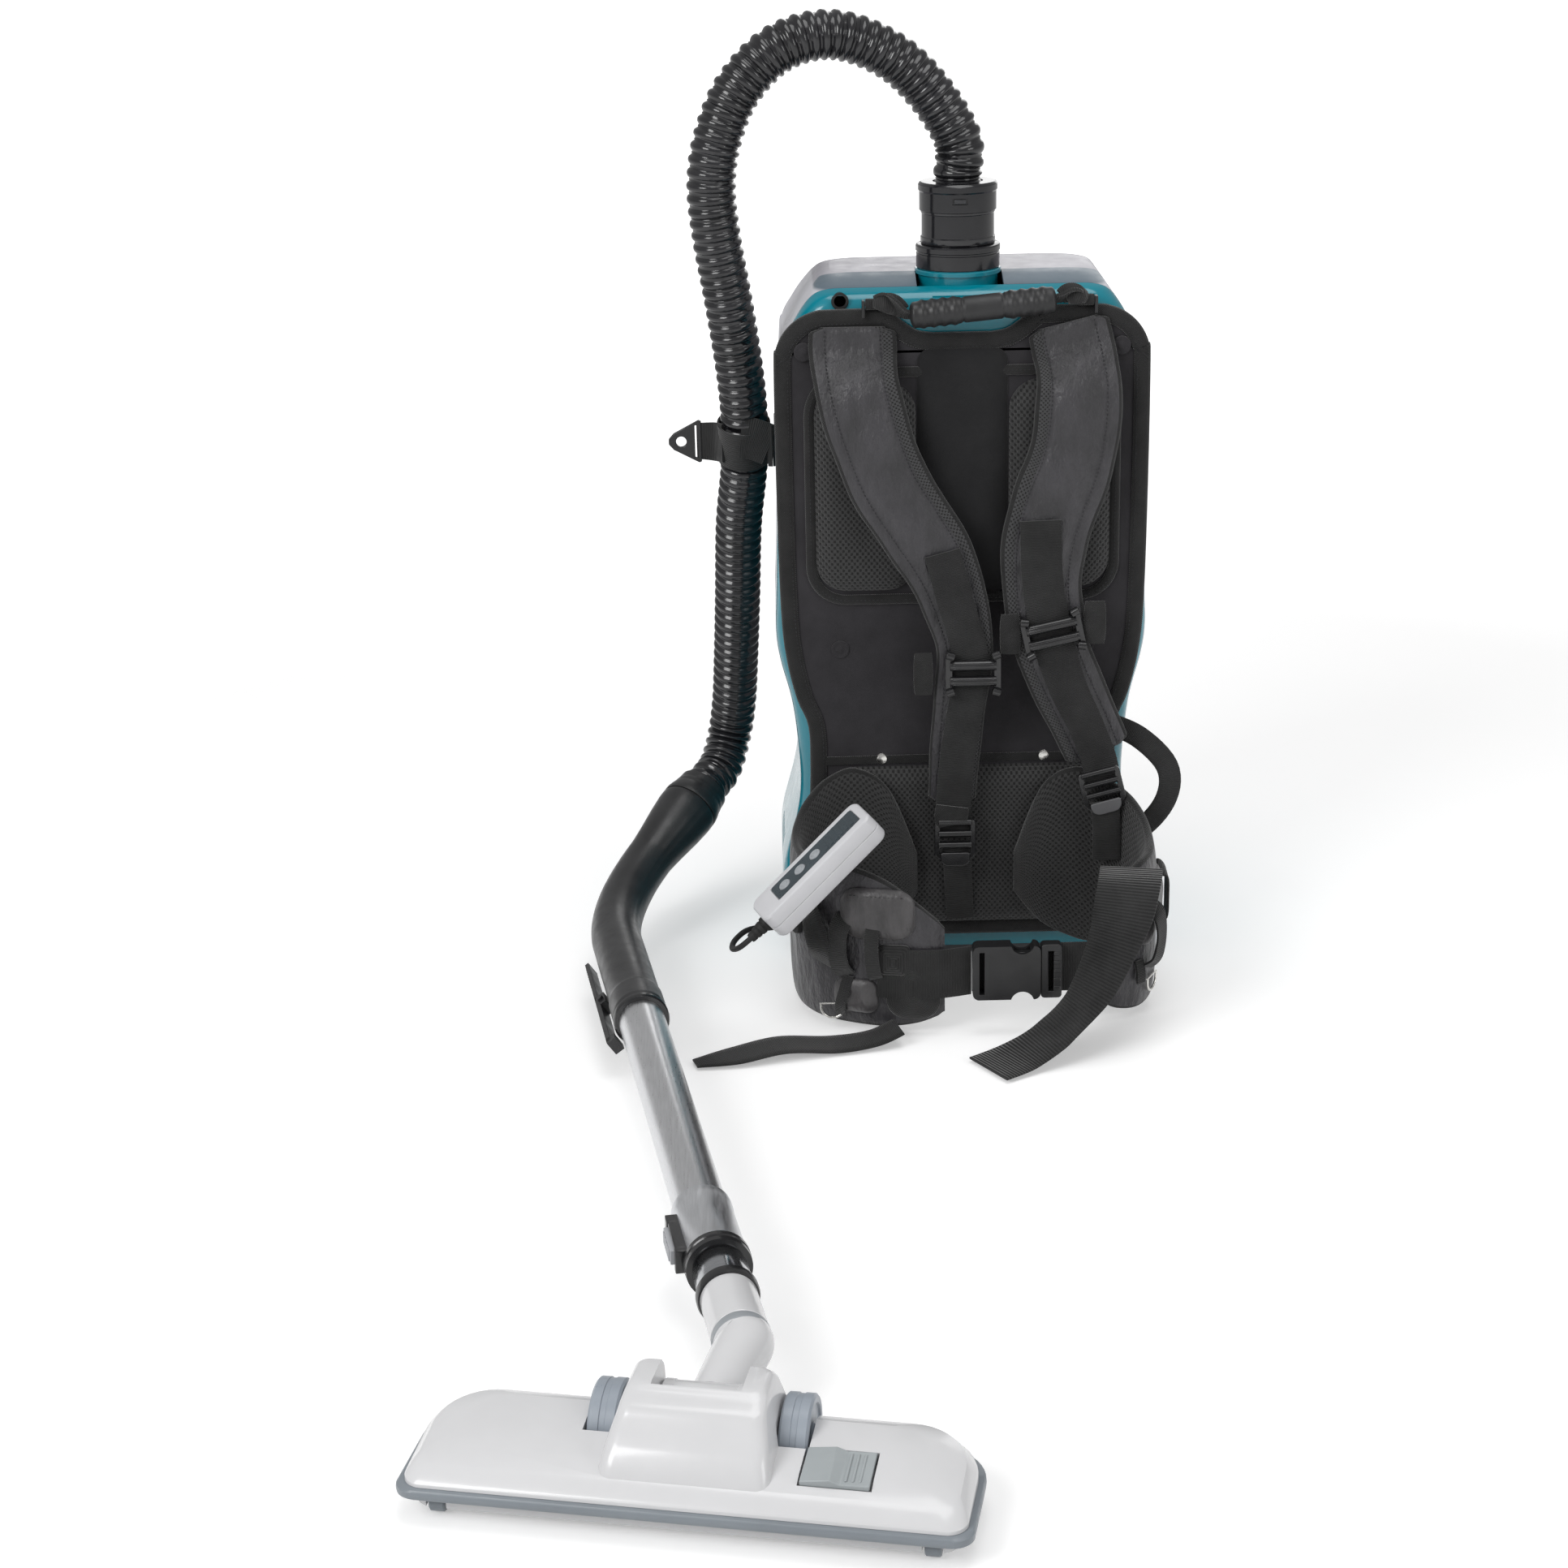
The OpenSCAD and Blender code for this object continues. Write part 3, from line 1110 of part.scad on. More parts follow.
rim_z = 14;
rim_h = 6;
module at_nozzle() { translate(nozzle_pos) rotate([0, 0, nozzle_yaw]) children(); }
// Plan of the nozzle, drawn in at the sides, front and back
function nozzle_ring(side, fr, bk, zf, zb) = let (w = nozzle_w / 2 - side, y0 = -nozzle_d / 2 + fr,
    y1 = nozzle_d / 2 - bk) [for (q = round_rect(-w, w, y0, y1, 12, min(34, (y1 - y0) / 2.2)))
    [q[0], q[1], zf + (zb - zf) * (q[1] - y0) / (y1 - y0)]];

neck_slot = barrel_w + 2;
dome_w = 40;
// Levels of the dome over the neck: extra width, front, back, height
DOME = [[22, -36, 48, 20], [14, -26, 47, 40], [6, -10, 45, 54], [0, 6, 40, 63], [-8, 14, 36, 66]];
module nozzle_shell() {
    color([0.9, 0.9, 0.91]) at_nozzle() difference() {
        union() {
            skin([nozzle_ring(4, 4, 4, rim_z + rim_h, rim_z + rim_h),
                nozzle_ring(4, 5, 5, rim_z + rim_h + 3, rim_z + rim_h + 9),
                nozzle_ring(10, 14, 9, 29, 37), nozzle_ring(26, 30, 18, 34, 40)]);
            skin([for (d = DOME) [for (q = round_rect(-dome_w - d[0] / 2, dome_w + d[0] / 2,
                d[1], d[2], 6, 6)) [q[0], q[1], d[3]]]]);
        }
        // seat of the neck's barrel and the slot that the neck swings in
        translate([0, barrel_y, barrel_z]) rod_x(neck_slot, barrel_r + 0.4);
        translate([-neck_slot / 2, barrel_y, 0]) cube([neck_slot, 60, 90]);
        translate([-neck_slot / 2, barrel_y - 21, barrel_z]) cube([neck_slot, 60, 90]);
        // wheel wells, with room round each wheel
        for (s = [-1, 1]) translate([s * wheel_x, wheel_y, wheel_r]) rod_x(wheel_w + 3, wheel_r + 2.5);
        // recess for the rocker pedal
        translate(pedal_pos) rotate(pedal_turn) translate([0, 0, 2.5])
            cube([pedal_w + 2.6, pedal_d + 1, 20], center = true);
        // duct to the slot
        translate([-30, -30, 0]) cube([60, 50, 26]);
    }
    // pin that the pedal rocks on
    color([0.9, 0.9, 0.91]) at_nozzle() translate(pedal_pos) rotate(pedal_turn)
        translate([0, 0, -pedal_t]) rotate([90, 0, 0]) cylinder(h = pedal_d + 4, r = 1.5, center = true);
    // axles of the wheels
    color([0.9, 0.9, 0.91]) at_nozzle() for (s = [-1, 1])
        translate([s * wheel_x, wheel_y, wheel_r]) rod_x(wheel_w + 7, axle_r);
}

wheel_x = 55;
wheel_y = 30;
axle_r = 3;
module nozzle_base() {
    color([0.86, 0.86, 0.87]) at_nozzle() {
        difference() {
            translate([0, 0, 5]) linear_extrude(rim_z + rim_h - 5.3)
                polygon([for (q = nozzle_ring(9, 9, 9, 0, 0)) [q[0], q[1]]]);
            translate([-slot_w / 2, -14, 0]) cube([slot_w, slot_d, 30]);
            translate([-neck_slot / 2, barrel_y, 0]) cube([neck_slot, 60, 40]);
            translate([0, barrel_y, barrel_z]) rod_x(neck_slot, barrel_r + 0.4);
            for (s = [-1, 1]) {
                translate([s * wheel_x, wheel_y, wheel_r]) rod_x(wheel_w + 3, wheel_r + 2.5);
                translate([s * roller_x, -nozzle_d / 2 + 15, roller_r]) rod_x(12, roller_r + 1.5);
            }
            for (b = BRUSHES) translate([0, b[0], 0]) cube([b[1] + 2, 5.2, 31.2], center = true);
        }
        // axles of the rollers
        for (s = [-1, 1]) translate([s * roller_x, -nozzle_d / 2 + 15, roller_r]) rod_x(16, 1.5);
    }
}

module nozzle_bumper() {
    color([0.55, 0.59, 0.63]) at_nozzle() translate([0, 0, rim_z]) linear_extrude(rim_h) difference() {
        polygon([for (q = nozzle_ring(0, 0, 0, 0, 0)) [q[0], q[1]]]);
        polygon([for (q = nozzle_ring(8.7, 8.7, 8.7, 0, 0)) [q[0], q[1]]]);
        translate([-wheel_x - wheel_w, barrel_y - 20]) square([2 * wheel_x + 2 * wheel_w, 60]);
    }
}

module wheel(s) {
    color([0.58, 0.63, 0.68]) at_nozzle() translate([s * wheel_x, wheel_y, wheel_r]) difference() {
        union() {
            rod_x(wheel_w, wheel_r);
        }
        rod_x(wheel_w + 4, axle_r + run_gap);
    }
}
module wheel_left() { wheel(-1); }
module wheel_right() { wheel(1); }

roller_x = 140;
roller_r = 6;
module front_rollers() {
    color([0.85, 0.85, 0.86]) at_nozzle() for (s = [-1, 1])
        translate([s * roller_x, -nozzle_d / 2 + 15, roller_r]) difference() {
            rod_x(9, roller_r);
            rod_x(12, 1.5 + run_gap);
        }
}

pedal_pos = [84, -10, 34.5];
pedal_turn = [6, 0, 0];
pedal_w = 39;
pedal_d = 30;
pedal_t = 4;
module brush_pedal() {
    color([0.58, 0.61, 0.64]) at_nozzle() translate(pedal_pos) rotate(pedal_turn) difference() {
        union() {
            cube([pedal_w, pedal_d, pedal_t], center = true);
            translate([0, 0, -pedal_t]) rotate([90, 0, 0]) cylinder(h = pedal_d - 6, r = 3.2, center = true);
        }
        translate([0, 0, -pedal_t]) rotate([90, 0, 0]) cylinder(h = 60, r = 1.5 + run_gap, center = true);
    }
}

brush_lift = 4;
// Brush strips: place along the nozzle's depth and length
BRUSHES = [[-26, slot_w], [12, 2 * (wheel_x - wheel_w) - 4]];
module brush_strips() {
    color([0.12, 0.12, 0.12]) at_nozzle() for (b = BRUSHES)
        translate([0, b[0], brush_lift + 5.5]) cube([b[1], 4, 10], center = true);
}

rear_housing();
front_cover();
hinge_pins();
cover_latch();
battery_door();
battery_door_latch();
batteries();
base_plate();
rubber_feet();
motor_deck();
motor_housing();
motor_core();
impeller();
hepa_filter();
dust_bag();
control_board();
inlet_port();
hose_collar();
suction_hose();
hose_band();
back_panel();
mesh_pads();
panel_studs();
carry_handle();
handle_loops();
shoulder_strap_left();
shoulder_strap_right();
strap_webbing();
strap_buckles();
hip_pad_left();
hip_pad_right();
belt_webbing();
belt_buckle_female();
belt_buckle_male();
d_rings();
remote_case();
remote_keypad();
power_button();
speed_button();
mode_button();
remote_cable();
cable_gland();
wand_grip();
grip_cuff();
suction_slider();
lock_lever();
outer_tube();
tube_sleeve();
telescopic_button();
inner_tube();
neck_upper();
neck_lower();
nozzle_shell();
nozzle_base();
nozzle_bumper();
wheel_left();
wheel_right();
front_rollers();
brush_pedal();
brush_strips();
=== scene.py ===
import math

import bmesh
import bpy
import numpy as np
from mathutils import Matrix, Vector


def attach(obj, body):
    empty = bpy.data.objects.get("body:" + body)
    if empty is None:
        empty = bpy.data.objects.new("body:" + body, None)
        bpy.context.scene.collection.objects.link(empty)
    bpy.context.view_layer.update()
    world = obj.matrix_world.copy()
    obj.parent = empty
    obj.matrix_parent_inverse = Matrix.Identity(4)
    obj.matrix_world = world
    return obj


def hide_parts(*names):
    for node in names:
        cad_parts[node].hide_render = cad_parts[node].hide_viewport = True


MM = 0.001  # metres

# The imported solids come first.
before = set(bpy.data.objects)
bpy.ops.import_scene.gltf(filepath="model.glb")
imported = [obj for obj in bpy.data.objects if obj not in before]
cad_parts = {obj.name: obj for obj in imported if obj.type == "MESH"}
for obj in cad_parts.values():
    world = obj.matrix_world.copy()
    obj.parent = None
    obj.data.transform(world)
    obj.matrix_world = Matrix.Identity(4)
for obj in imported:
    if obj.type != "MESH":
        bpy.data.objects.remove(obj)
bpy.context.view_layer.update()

# ---------------------------------------------------------------------------
# Camera, floor and lamps. The camera stands before the harness, about 0.9 m up
# and 2.3 m away, and looks down a little. The floor is plain and pale.
view_settings = bpy.context.scene.view_settings
view_settings.view_transform = "Standard"
lens = bpy.data.cameras.new("front_camera")
lens.lens, lens.sensor_width = 65.2, 36.0
camera = bpy.data.objects.new("front_camera", lens)
camera.matrix_world = (Matrix.Translation((-0.144, -2.263, 0.905))
                       @ Matrix.Rotation(math.radians(70.8), 4, "X")
                       @ Matrix.Rotation(math.radians(-1.3), 4, "Z"))
bpy.context.scene.collection.objects.link(camera)
bpy.context.scene.camera = camera


def feed(tree, node, inputs):
    """Gives a node's inputs their values, each a constant or another node's socket."""
    for key, value in inputs.items():
        if isinstance(value, bpy.types.NodeSocket):
            tree.links.new(value, node.inputs[key])
        else:
            node.inputs[key].default_value = value


def wired(tree, kind, inputs, out=0, **settings):
    """Adds a node with its settings and its inputs. Returns the output asked for."""
    node = tree.nodes.new("ShaderNode" + kind)
    for key, value in settings.items():
        setattr(node, key, value)
    feed(tree, node, inputs)
    return node.outputs[out]


def ranged(tree, factor, low, high, clip=(0.3, 0.7)):
    """Map Range: the factor between the clip values becomes low to high."""
    return wired(tree, "MapRange", {"Value": factor, "From Min": clip[0], "From Max": clip[1],
                                    "To Min": low, "To Max": high}, "Result")


def finish_material(name, colour, rough, metal=0.0, gloss=0.5):
    """A new node material: its shader's sockets hold what is the same all over,
    and the caller wires on whatever varies. Returns material, node tree, shader."""
    mat = bpy.data.materials.new(name)
    mat.use_nodes = True
    shader = mat.node_tree.nodes["Principled BSDF"]
    shader.inputs["Base Color"].default_value = (*colour, 1)
    shader.inputs["Roughness"].default_value = rough
    shader.inputs["Metallic"].default_value = metal
    shader.inputs["Specular IOR Level"].default_value = gloss
    mat.diffuse_color = (*colour, 1)
    return mat, mat.node_tree, shader


floor_mesh = bpy.data.meshes.new("studio_floor")
floor_mesh.from_pydata([(-30, -30, -0.0015), (30, -30, -0.0015), (30, 30, -0.0015),
                        (-30, 30, -0.0015)], [], [(0, 1, 2, 3)])
floor = bpy.data.objects.new("studio_floor", floor_mesh)
bpy.context.scene.collection.objects.link(floor)
floor_mat, tree, shader = finish_material("studio_floor_paper", (0.8, 0.8, 0.8), 0.9, gloss=0.1)
rays = tree.nodes.new("ShaderNodeLightPath").outputs
seen = wired(tree, "Math", {0: rays["Is Camera Ray"], 1: rays["Is Transmission Ray"]},
             operation="MAXIMUM")
# The glow rises with the distance from the object, so the far floor stays white.
far_off = wired(tree, "VectorMath", {0: wired(tree, "TexCoord", {}, "Object")}, "Value",
                operation="LENGTH")
lift = wired(tree, "Math", {0: seen, 1: ranged(tree, far_off, 0.34, 1.0, (1.0, 3.2))},
             operation="MULTIPLY")
glow = wired(tree, "Math", {0: rays["Is Glossy Ray"], 1: 0.3, 2: lift}, operation="MULTIPLY_ADD")
shader.inputs["Emission Color"].default_value = (1, 1, 1, 1)
tree.links.new(glow, shader.inputs["Emission Strength"])
floor_mesh.materials.append(floor_mat)

for name, place, size, watts in [
        ("key_lamp", (-2.1, -2.3, 2.1), 1.5, 52), ("fill_lamp", (2.3, -2.2, 1.5), 1.3, 17),
        ("top_lamp", (0.1, -0.5, 2.9), 1.6, 22), ("rear_lamp", (0.6, 2.7, 1.5), 1.6, 12)]:
    lamp_data = bpy.data.lights.new(name, "AREA")
    lamp_data.size, lamp_data.energy = size, watts
    lamp = bpy.data.objects.new(name, lamp_data)
    lamp.location = place
    aim = Vector((-0.1, -0.3, 0.35)) - lamp.location
    lamp.rotation_euler = aim.to_track_quat("-Z", "Y").to_euler()
    bpy.context.scene.collection.objects.link(lamp)
world = bpy.data.worlds.new("studio")
world.use_nodes = True
bpy.context.scene.world = world
tree = world.node_tree
background = tree.nodes["Background"].inputs
background["Color"].default_value = (1, 1, 1, 1)
seen = wired(tree, "LightPath", {}, "Is Camera Ray")
brighter = wired(tree, "Math", {0: seen, 1: 0.6, 2: 0.42}, operation="MULTIPLY_ADD")
tree.links.new(brighter, background["Strength"])

# ---------------------------------------------------------------------------
# Suction hose: blow-moulded black plastic with a round bead every 9 mm and a
# thin web between beads. It is pushed into the port's collar and the grip's cuff.


outward = (0, -1, 0)
upward = (0, 0, 1)


def smooth(points, k):
    """Catmull-Rom curve, k steps to a span: half of 2b + t(c-a) + t2(2a-5b+4c-d)
    + t3(3b-a-3c+d), for the four points a, b, c, d round each span."""
    p = np.asarray(points, float)
    n = len(p)
    i = np.repeat(np.arange(n - 1), k)
    t = np.tile(np.arange(k) / k, n - 1)[:, None]
    a, b, c, d = p[np.maximum(i - 1, 0)], p[i], p[i + 1], p[np.minimum(i + 2, n - 1)]
    q = 0.5 * (2 * b + t * (c - a) + t * t * (2 * a - 5 * b + 4 * c - d)
               + t ** 3 * (3 * b - a - 3 * c + d))
    return np.vstack([q, p[-1:]])


def arc_length(points):
    """Length of a polyline up to each of its points."""
    steps = np.linalg.norm(np.diff(points, axis=0), axis=1)
    return np.concatenate([[0], np.cumsum(steps)])


def evenly(points, count):
    """The same curve with count points at equal steps of its length."""
    s = arc_length(points[:, :3])
    at = np.linspace(0, s[-1], count)
    return np.stack([np.interp(at, s, points[:, k]) for k in range(points.shape[1])], 1), at


def unit(v):
    return v / np.linalg.norm(v, axis=-1, keepdims=True)


def carried(path, section, facing=outward):
    """A profile carried along a path: each row is the path's point + across x side
    + out x away, where side = facing x tangent and away = tangent x side."""
    p = np.asarray(path, float)[:, :3]
    t = unit(np.gradient(p, axis=0))
    side = unit(np.cross(np.broadcast_to(facing, t.shape), t))
    away = np.cross(t, side)
    s = np.broadcast_to(section, (len(p),) + np.shape(section)[-2:])
    return p[:, None] + side[:, None] * s[..., :1] + away[:, None] * s[..., 1:]


def ring(n):
    """Circle of radius 1 as n pairs (cos, sin), counter-clockwise."""
    a = np.linspace(0, 2 * math.pi, n, endpoint=False)
    return np.stack([np.cos(a), np.sin(a)], 1)


def lattice(m, n, loop=False):
    """Rows i, columns j and corners of the quads of an m by n grid that closes round
    its columns: (row, col), (row, col + 1), (row + 1, col + 1), (row + 1, col)."""
    i, j = (x.ravel() for x in np.meshgrid(np.arange(m if loop else m - 1), np.arange(n),
                                           indexing="ij"))
    i1, j1 = (i + 1) % m, (j + 1) % n
    return i, j, np.stack([i * n + j, i * n + j1, i1 * n + j1, i1 * n + j], 1).tolist()


def end_faces(m, n):
    """The faces that close the first and the last row of such a grid."""
    return [list(range(n))[::-1], list(range((m - 1) * n, m * n))]


def mesh_of(name, points, faces):
    """A mesh from an array of points in millimetres."""
    mesh = bpy.data.meshes.new(name)
    mesh.from_pydata((points.reshape(-1, 3) * MM).tolist(), [], faces)
    return mesh


def skinned(name, grid, body, mat, sharp=35, loop=False, caps=True, replaces=()):
    """Skin over a grid of points in millimetres, rows along and columns round. The UV
    map holds the lengths across and along, so a weave keeps its size."""
    grid = np.asarray(grid, float)
    m, n = grid.shape[:2]
    i, j, faces = lattice(m, n, loop)
    u = np.concatenate([[0],
                        np.cumsum(np.linalg.norm(np.roll(grid, -1, 1) - grid, axis=2).mean(0))])
    v = np.concatenate([[0],
                        np.cumsum(np.linalg.norm(np.roll(grid, -1, 0) - grid, axis=2).mean(1))])
    uv = np.stack([u[j], v[i], u[j + 1], v[i], u[j + 1], v[i + 1], u[j], v[i + 1]], 1).ravel()
    if caps and not loop:
        faces += end_faces(m, n)
        uv = np.concatenate([uv, np.stack([u[:n][::-1], np.zeros(n)], 1).ravel(),
                             np.stack([u[:n], np.full(n, v[m - 1])], 1).ravel()])
    mesh = mesh_of(name, grid, faces)
    mesh.uv_layers.new(name="weave").data.foreach_set("uv", uv.astype(np.float32))
    return placed(name, mesh, body, mat, sharp, replaces)


def placed(name, mesh, body, mat, sharp=35, replaces=()):
    """Puts a mesh into the scene as a piece that rides on a body, shaded smooth
    except where faces meet at more than the sharp angle."""
    mesh.shade_smooth()
    mesh.set_sharp_from_angle(angle=math.radians(sharp))
    mesh.materials.append(mat)
    obj = bpy.data.objects.new(name, mesh)
    bpy.context.scene.collection.objects.link(obj)
    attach(obj, body)
    if replaces:
        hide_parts(*replaces)
    return obj


def noise_of(tree, vector, scale, detail, rough=0.55):
    """Noise texture on a coordinate; returns its factor."""
    return wired(tree, "TexNoise", {"Vector": vector, "Scale": scale, "Detail": detail,
                                    "Roughness": rough}, "Fac")


def tinted(tree, factor, dark, light, at=(0.35, 0.65)):
    """Colour from dark to light as the factor passes from at[0] to at[1]."""
    share = ranged(tree, factor, 0.0, 1.0, at)
    return wired(tree, "Mix", {"Factor": share, "A": dark, "B": light}, "Result", data_type="RGBA")


def relief(tree, height, depth):
    """Normal of a height (0 to 1) that stands out by depth metres."""
    return wired(tree, "Bump", {"Height": height, "Distance": depth, "Strength": 1.0}, "Normal")


def shade(colour, k=1.0):
    """A colour times k, no brighter than 1, with full alpha."""
    return tuple(min(1, c * k) for c in colour) + (1,)


def effect(build, **inputs):
    """A node group that several materials share, made once. It has the named inputs,
    and what build(tree, given) returns goes out under the names of shader sockets."""
    tree = bpy.data.node_groups.new(build.__name__, "ShaderNodeTree")
    for label, kind in inputs.items():
        tree.interface.new_socket(label, in_out="INPUT", socket_type="NodeSocket" + kind)
    made = build(tree, tree.nodes.new("NodeGroupInput").outputs)
    kinds = {"Base Color": "NodeSocketColor", "Roughness": "NodeSocketFloat",
             "Normal": "NodeSocketVector"}
    for label in made:
        tree.interface.new_socket(label, in_out="OUTPUT", socket_type=kinds[label])
    ends = tree.nodes.new("NodeGroupOutput").inputs
    for label, socket in made.items():
        tree.links.new(socket, ends[label])
    return tree


def spread(group, tree, shader, **values):
    """Places a shared effect in a material with that material's own values."""
    node = tree.nodes.new("ShaderNodeGroup")
    node.node_tree = group
    feed(tree, node, values)
    for out in node.outputs:
        tree.links.new(out, shader.inputs[out.name])


def moulded_surface(tree, given):
    """Moulded plastic: a slightly uneven colour, rubbed patches in the gloss and a
    fine orange-peel grain."""
    place = given["Place"]
    return {"Base Color": tinted(tree, noise_of(tree, place, 26, 5), given["Dark"],
                                 given["Light"]),
            "Roughness": ranged(tree, noise_of(tree, place, 70, 6, 0.65), given["Smooth"],
                                given["Rough"]),
            "Normal": relief(tree, noise_of(tree, place, given["Grain"], 2), given["Depth"])}


moulded = effect(moulded_surface, Place="Vector", Dark="Color", Light="Color", Smooth="Float",
                 Rough="Float", Grain="Float", Depth="Float")


def moulded_plastic(name, colour, rough=0.3, depth=0.00003, grain=900, vary=0.08, gloss=0.5,
                    coat=0.0):
    """Moulded plastic on Object coordinates; vary is the share by which its colour
    strays, depth the relief of its grain in metres."""
    mat, tree, shader = finish_material(name, colour, rough, gloss=gloss)
    shader.inputs["Coat Weight"].default_value = coat
    shader.inputs["Coat Roughness"].default_value = 0.08
    spread(moulded, tree, shader, Place=wired(tree, "TexCoord", {}, "Object"),
           Dark=shade(colour, 1 - vary), Light=shade(colour, 1 + vary), Smooth=rough * 0.8,
           Rough=min(1, rough * 1.3), Grain=grain, Depth=depth)
    return mat


hose_top = 622.4
cuff_dir = np.array([0.5158, 0.7374, 0.4361])
cuff_end = np.array([-221.18, 10.52, 99.29])
hose_route = [[0, -50, hose_top - 11.5], [0, -50, 628], [0, -51, 654], [-22, -52, 690],
              [-52, -56, 718], [-94, -62, 734], [-135, -70, 726], [-166, -76, 698],
              [-183, -80, 662], [-189, -80, 626], [-186, -76, 586], [-179, -68, 540],
              [-172, -56, 485], [-169, -45, 443], [-170, -30, 400], [-176, -8, 345],
              [-179, 18, 278], [-182, 40, 220], [-185, 54, 175], [-190, 57, 143],
              cuff_end + 44 * cuff_dir, cuff_end + 20 * cuff_dir, cuff_end + 2 * cuff_dir]
hose_line = smooth(hose_route, 10)
beads, rows_to_a_bead = 101, 10
hose_rings, hose_s = evenly(hose_line, beads * rows_to_a_bead + 1)
hose_length = hose_s[-1]
phase = (hose_s / hose_length * beads + 0.5) % 1.0
bead = np.sqrt(np.clip(1 - ((phase - 0.5) / 0.33) ** 2, 0, 1))
web_bead = np.exp(-((np.minimum(phase, 1 - phase)) / 0.07) ** 2)
wall_radius, bead_height, web_height, bore_radius = 16.5, 2.5, 0.7, 15.6
hose_radius = wall_radius + bead_height * bead + web_height * web_bead
hose_mat = moulded_plastic("hose_gloss_black", (0.012, 0.012, 0.014), 0.16, 0.00004, 500, 0.3,
                           0.62)
inner_line, _ = evenly(hose_line, 120)
hose_skin = np.concatenate([carried(hose_rings, hose_radius[:, None, None] * ring(40)),
                            carried(inner_line, bore_radius * ring(40))[::-1]])
hose = skinned("suction_hose_ribbed", hose_skin, "pack", hose_mat, 80, loop=True,
               replaces=["suction_hose"])

# ---------------------------------------------------------------------------
# Remote's cable: thin round black cord from a rubber gland on the left hip pad,
# looped once below the remote and led back up through its moulded relief.
cable_dir = np.array([0.722, 0.228, 0.654])
cable_in = np.array([-119, -262, 139]) - 50.5 * cable_dir
cable_route = [[-146.7, -213.9, 75], [-151, -215.8, 75], [-160, -221, 76], [-168.5, -229, 79.5],
               [-177, -241, 81.5], [-184.5, -254.7, 79.7], [-186, -266.8, 78.4],
               [-180.6, -276.7, 83.2], cable_in - 22 * cable_dir, cable_in - 11 * cable_dir,
               cable_in - 5 * cable_dir, cable_in]
cable_line = smooth(cable_route, 8)
cable_line, cable_s = evenly(cable_line, 110)
cable_mat = moulded_plastic("cable_matt_black", (0.012, 0.012, 0.012), 0.45, 0.00004, 1200, 0.25,
                            0.4)
cable = skinned("remote_cable_round", carried(cable_line, 2.2 * ring(20), (0, 0, 1)), "pack",
                cable_mat, 60, replaces=["remote_cable"])

# ---------------------------------------------------------------------------
# Housing: a teal injection-moulded shell, 3 mm thick, waisted above the hips and
# rounded over at the top, with louvres in its sides and a boss for the hose port.
# The wearer's side is at -Y. It parts from the cover along a line seen from the side.


def linked(mesh):
    """A bare object for a mesh, for cutting with or for being cut."""
    obj = bpy.data.objects.new(mesh.name, mesh)
    bpy.context.scene.collection.objects.link(obj)
    return obj


def solid(rows):
    """Closed mesh from rows of points in millimetres, with a face on both ends."""
    grid = np.asarray(rows, float)
    m, n = grid.shape[:2]
    return mesh_of("solid", grid, lattice(m, n)[2] + end_faces(m, n))


def block(low, high):
    """Box from its lowest to its highest corner."""
    (a, b, c), (d, e, f) = low, high
    return solid([[(a, b, z), (d, b, z), (d, e, z), (a, e, z)] for z in (c, f)])


def rod(start, end, radius, n=24):
    """Round bar between two points, as two circles square to the line."""
    a, b = np.asarray(start, float), np.asarray(end, float)
    t = unit(b - a)
    side = unit(np.cross(t, (0.31, 0.52, 0.79)))
    circle = ring(n) @ np.stack([side, np.cross(t, side)])
    return solid([a + radius * circle, b + radius * circle])


def carved(mesh, *cuts):
    """Exact booleans one after the other. Each cut is a mesh to take away, or a pair
    of "UNION" or "INTERSECT" and a mesh. Returns the new mesh; the others are used up."""
    obj = linked(mesh)
    for cut in cuts:
        operation, other = cut if isinstance(cut, tuple) else ("DIFFERENCE", cut)
        tool = linked(other)
        mod = obj.modifiers.new("cut", "BOOLEAN")
        mod.operation, mod.solver, mod.object = operation, "EXACT", tool
        graph = bpy.context.evaluated_depsgraph_get()
        new = bpy.data.meshes.new_from_object(obj.evaluated_get(graph))
        obj.modifiers.clear()
        old, obj.data = obj.data, new
        bpy.data.objects.remove(tool)
        bpy.data.meshes.remove(old)
        bpy.data.meshes.remove(other)
    mesh = obj.data
    bpy.data.objects.remove(obj)
    return mesh


def round_rect(x0, x1, y0, y1, near, far, k=8):
    """Rounded rectangle, counter-clockwise: four quarter circles of k steps, with
    radius near at the low side and far at the high side."""
    a = np.linspace(0, math.pi / 2, k + 1)
    s, c = np.sin(a), np.cos(a)
    return np.concatenate([np.stack(q, 1) for q in (
        (x1 - near + near * s, y0 + near - near * c), (x1 - far + far * c, y1 - far + far * s),
        (x0 + far - far * s, y1 - far + far * c), (x0 + near - near * c, y0 + near - near * s))])


def level(outline, z):
    """A flat outline laid at height z."""
    return np.column_stack([outline, np.full(len(outline), z)])


levels = [[6.3, 138.5, 0, 0], [30, 144.5, 0, 0], [55, 146.5, 0, 0], [80, 144.5, 0, 0],
          [120, 134, 0, 0], [150, 130.5, 0, 0], [188, 132.5, 0, 0], [218, 136.5, 0, 0],
          [250, 144.5, 0, 0], [275, 147.5, 0, 0], [315, 146, 0, 0], [480, 140.5, 0, 3],
          [505, 137, 0, 9], [520, 129.5, 0, 17], [531, 123, 0, 25], [541, 116, 4, 35],
          [546.5, 112, 13, 45], [552, 107, 33, 59], [554, 99, 45, 73]]
level_line = smooth(levels, 6)


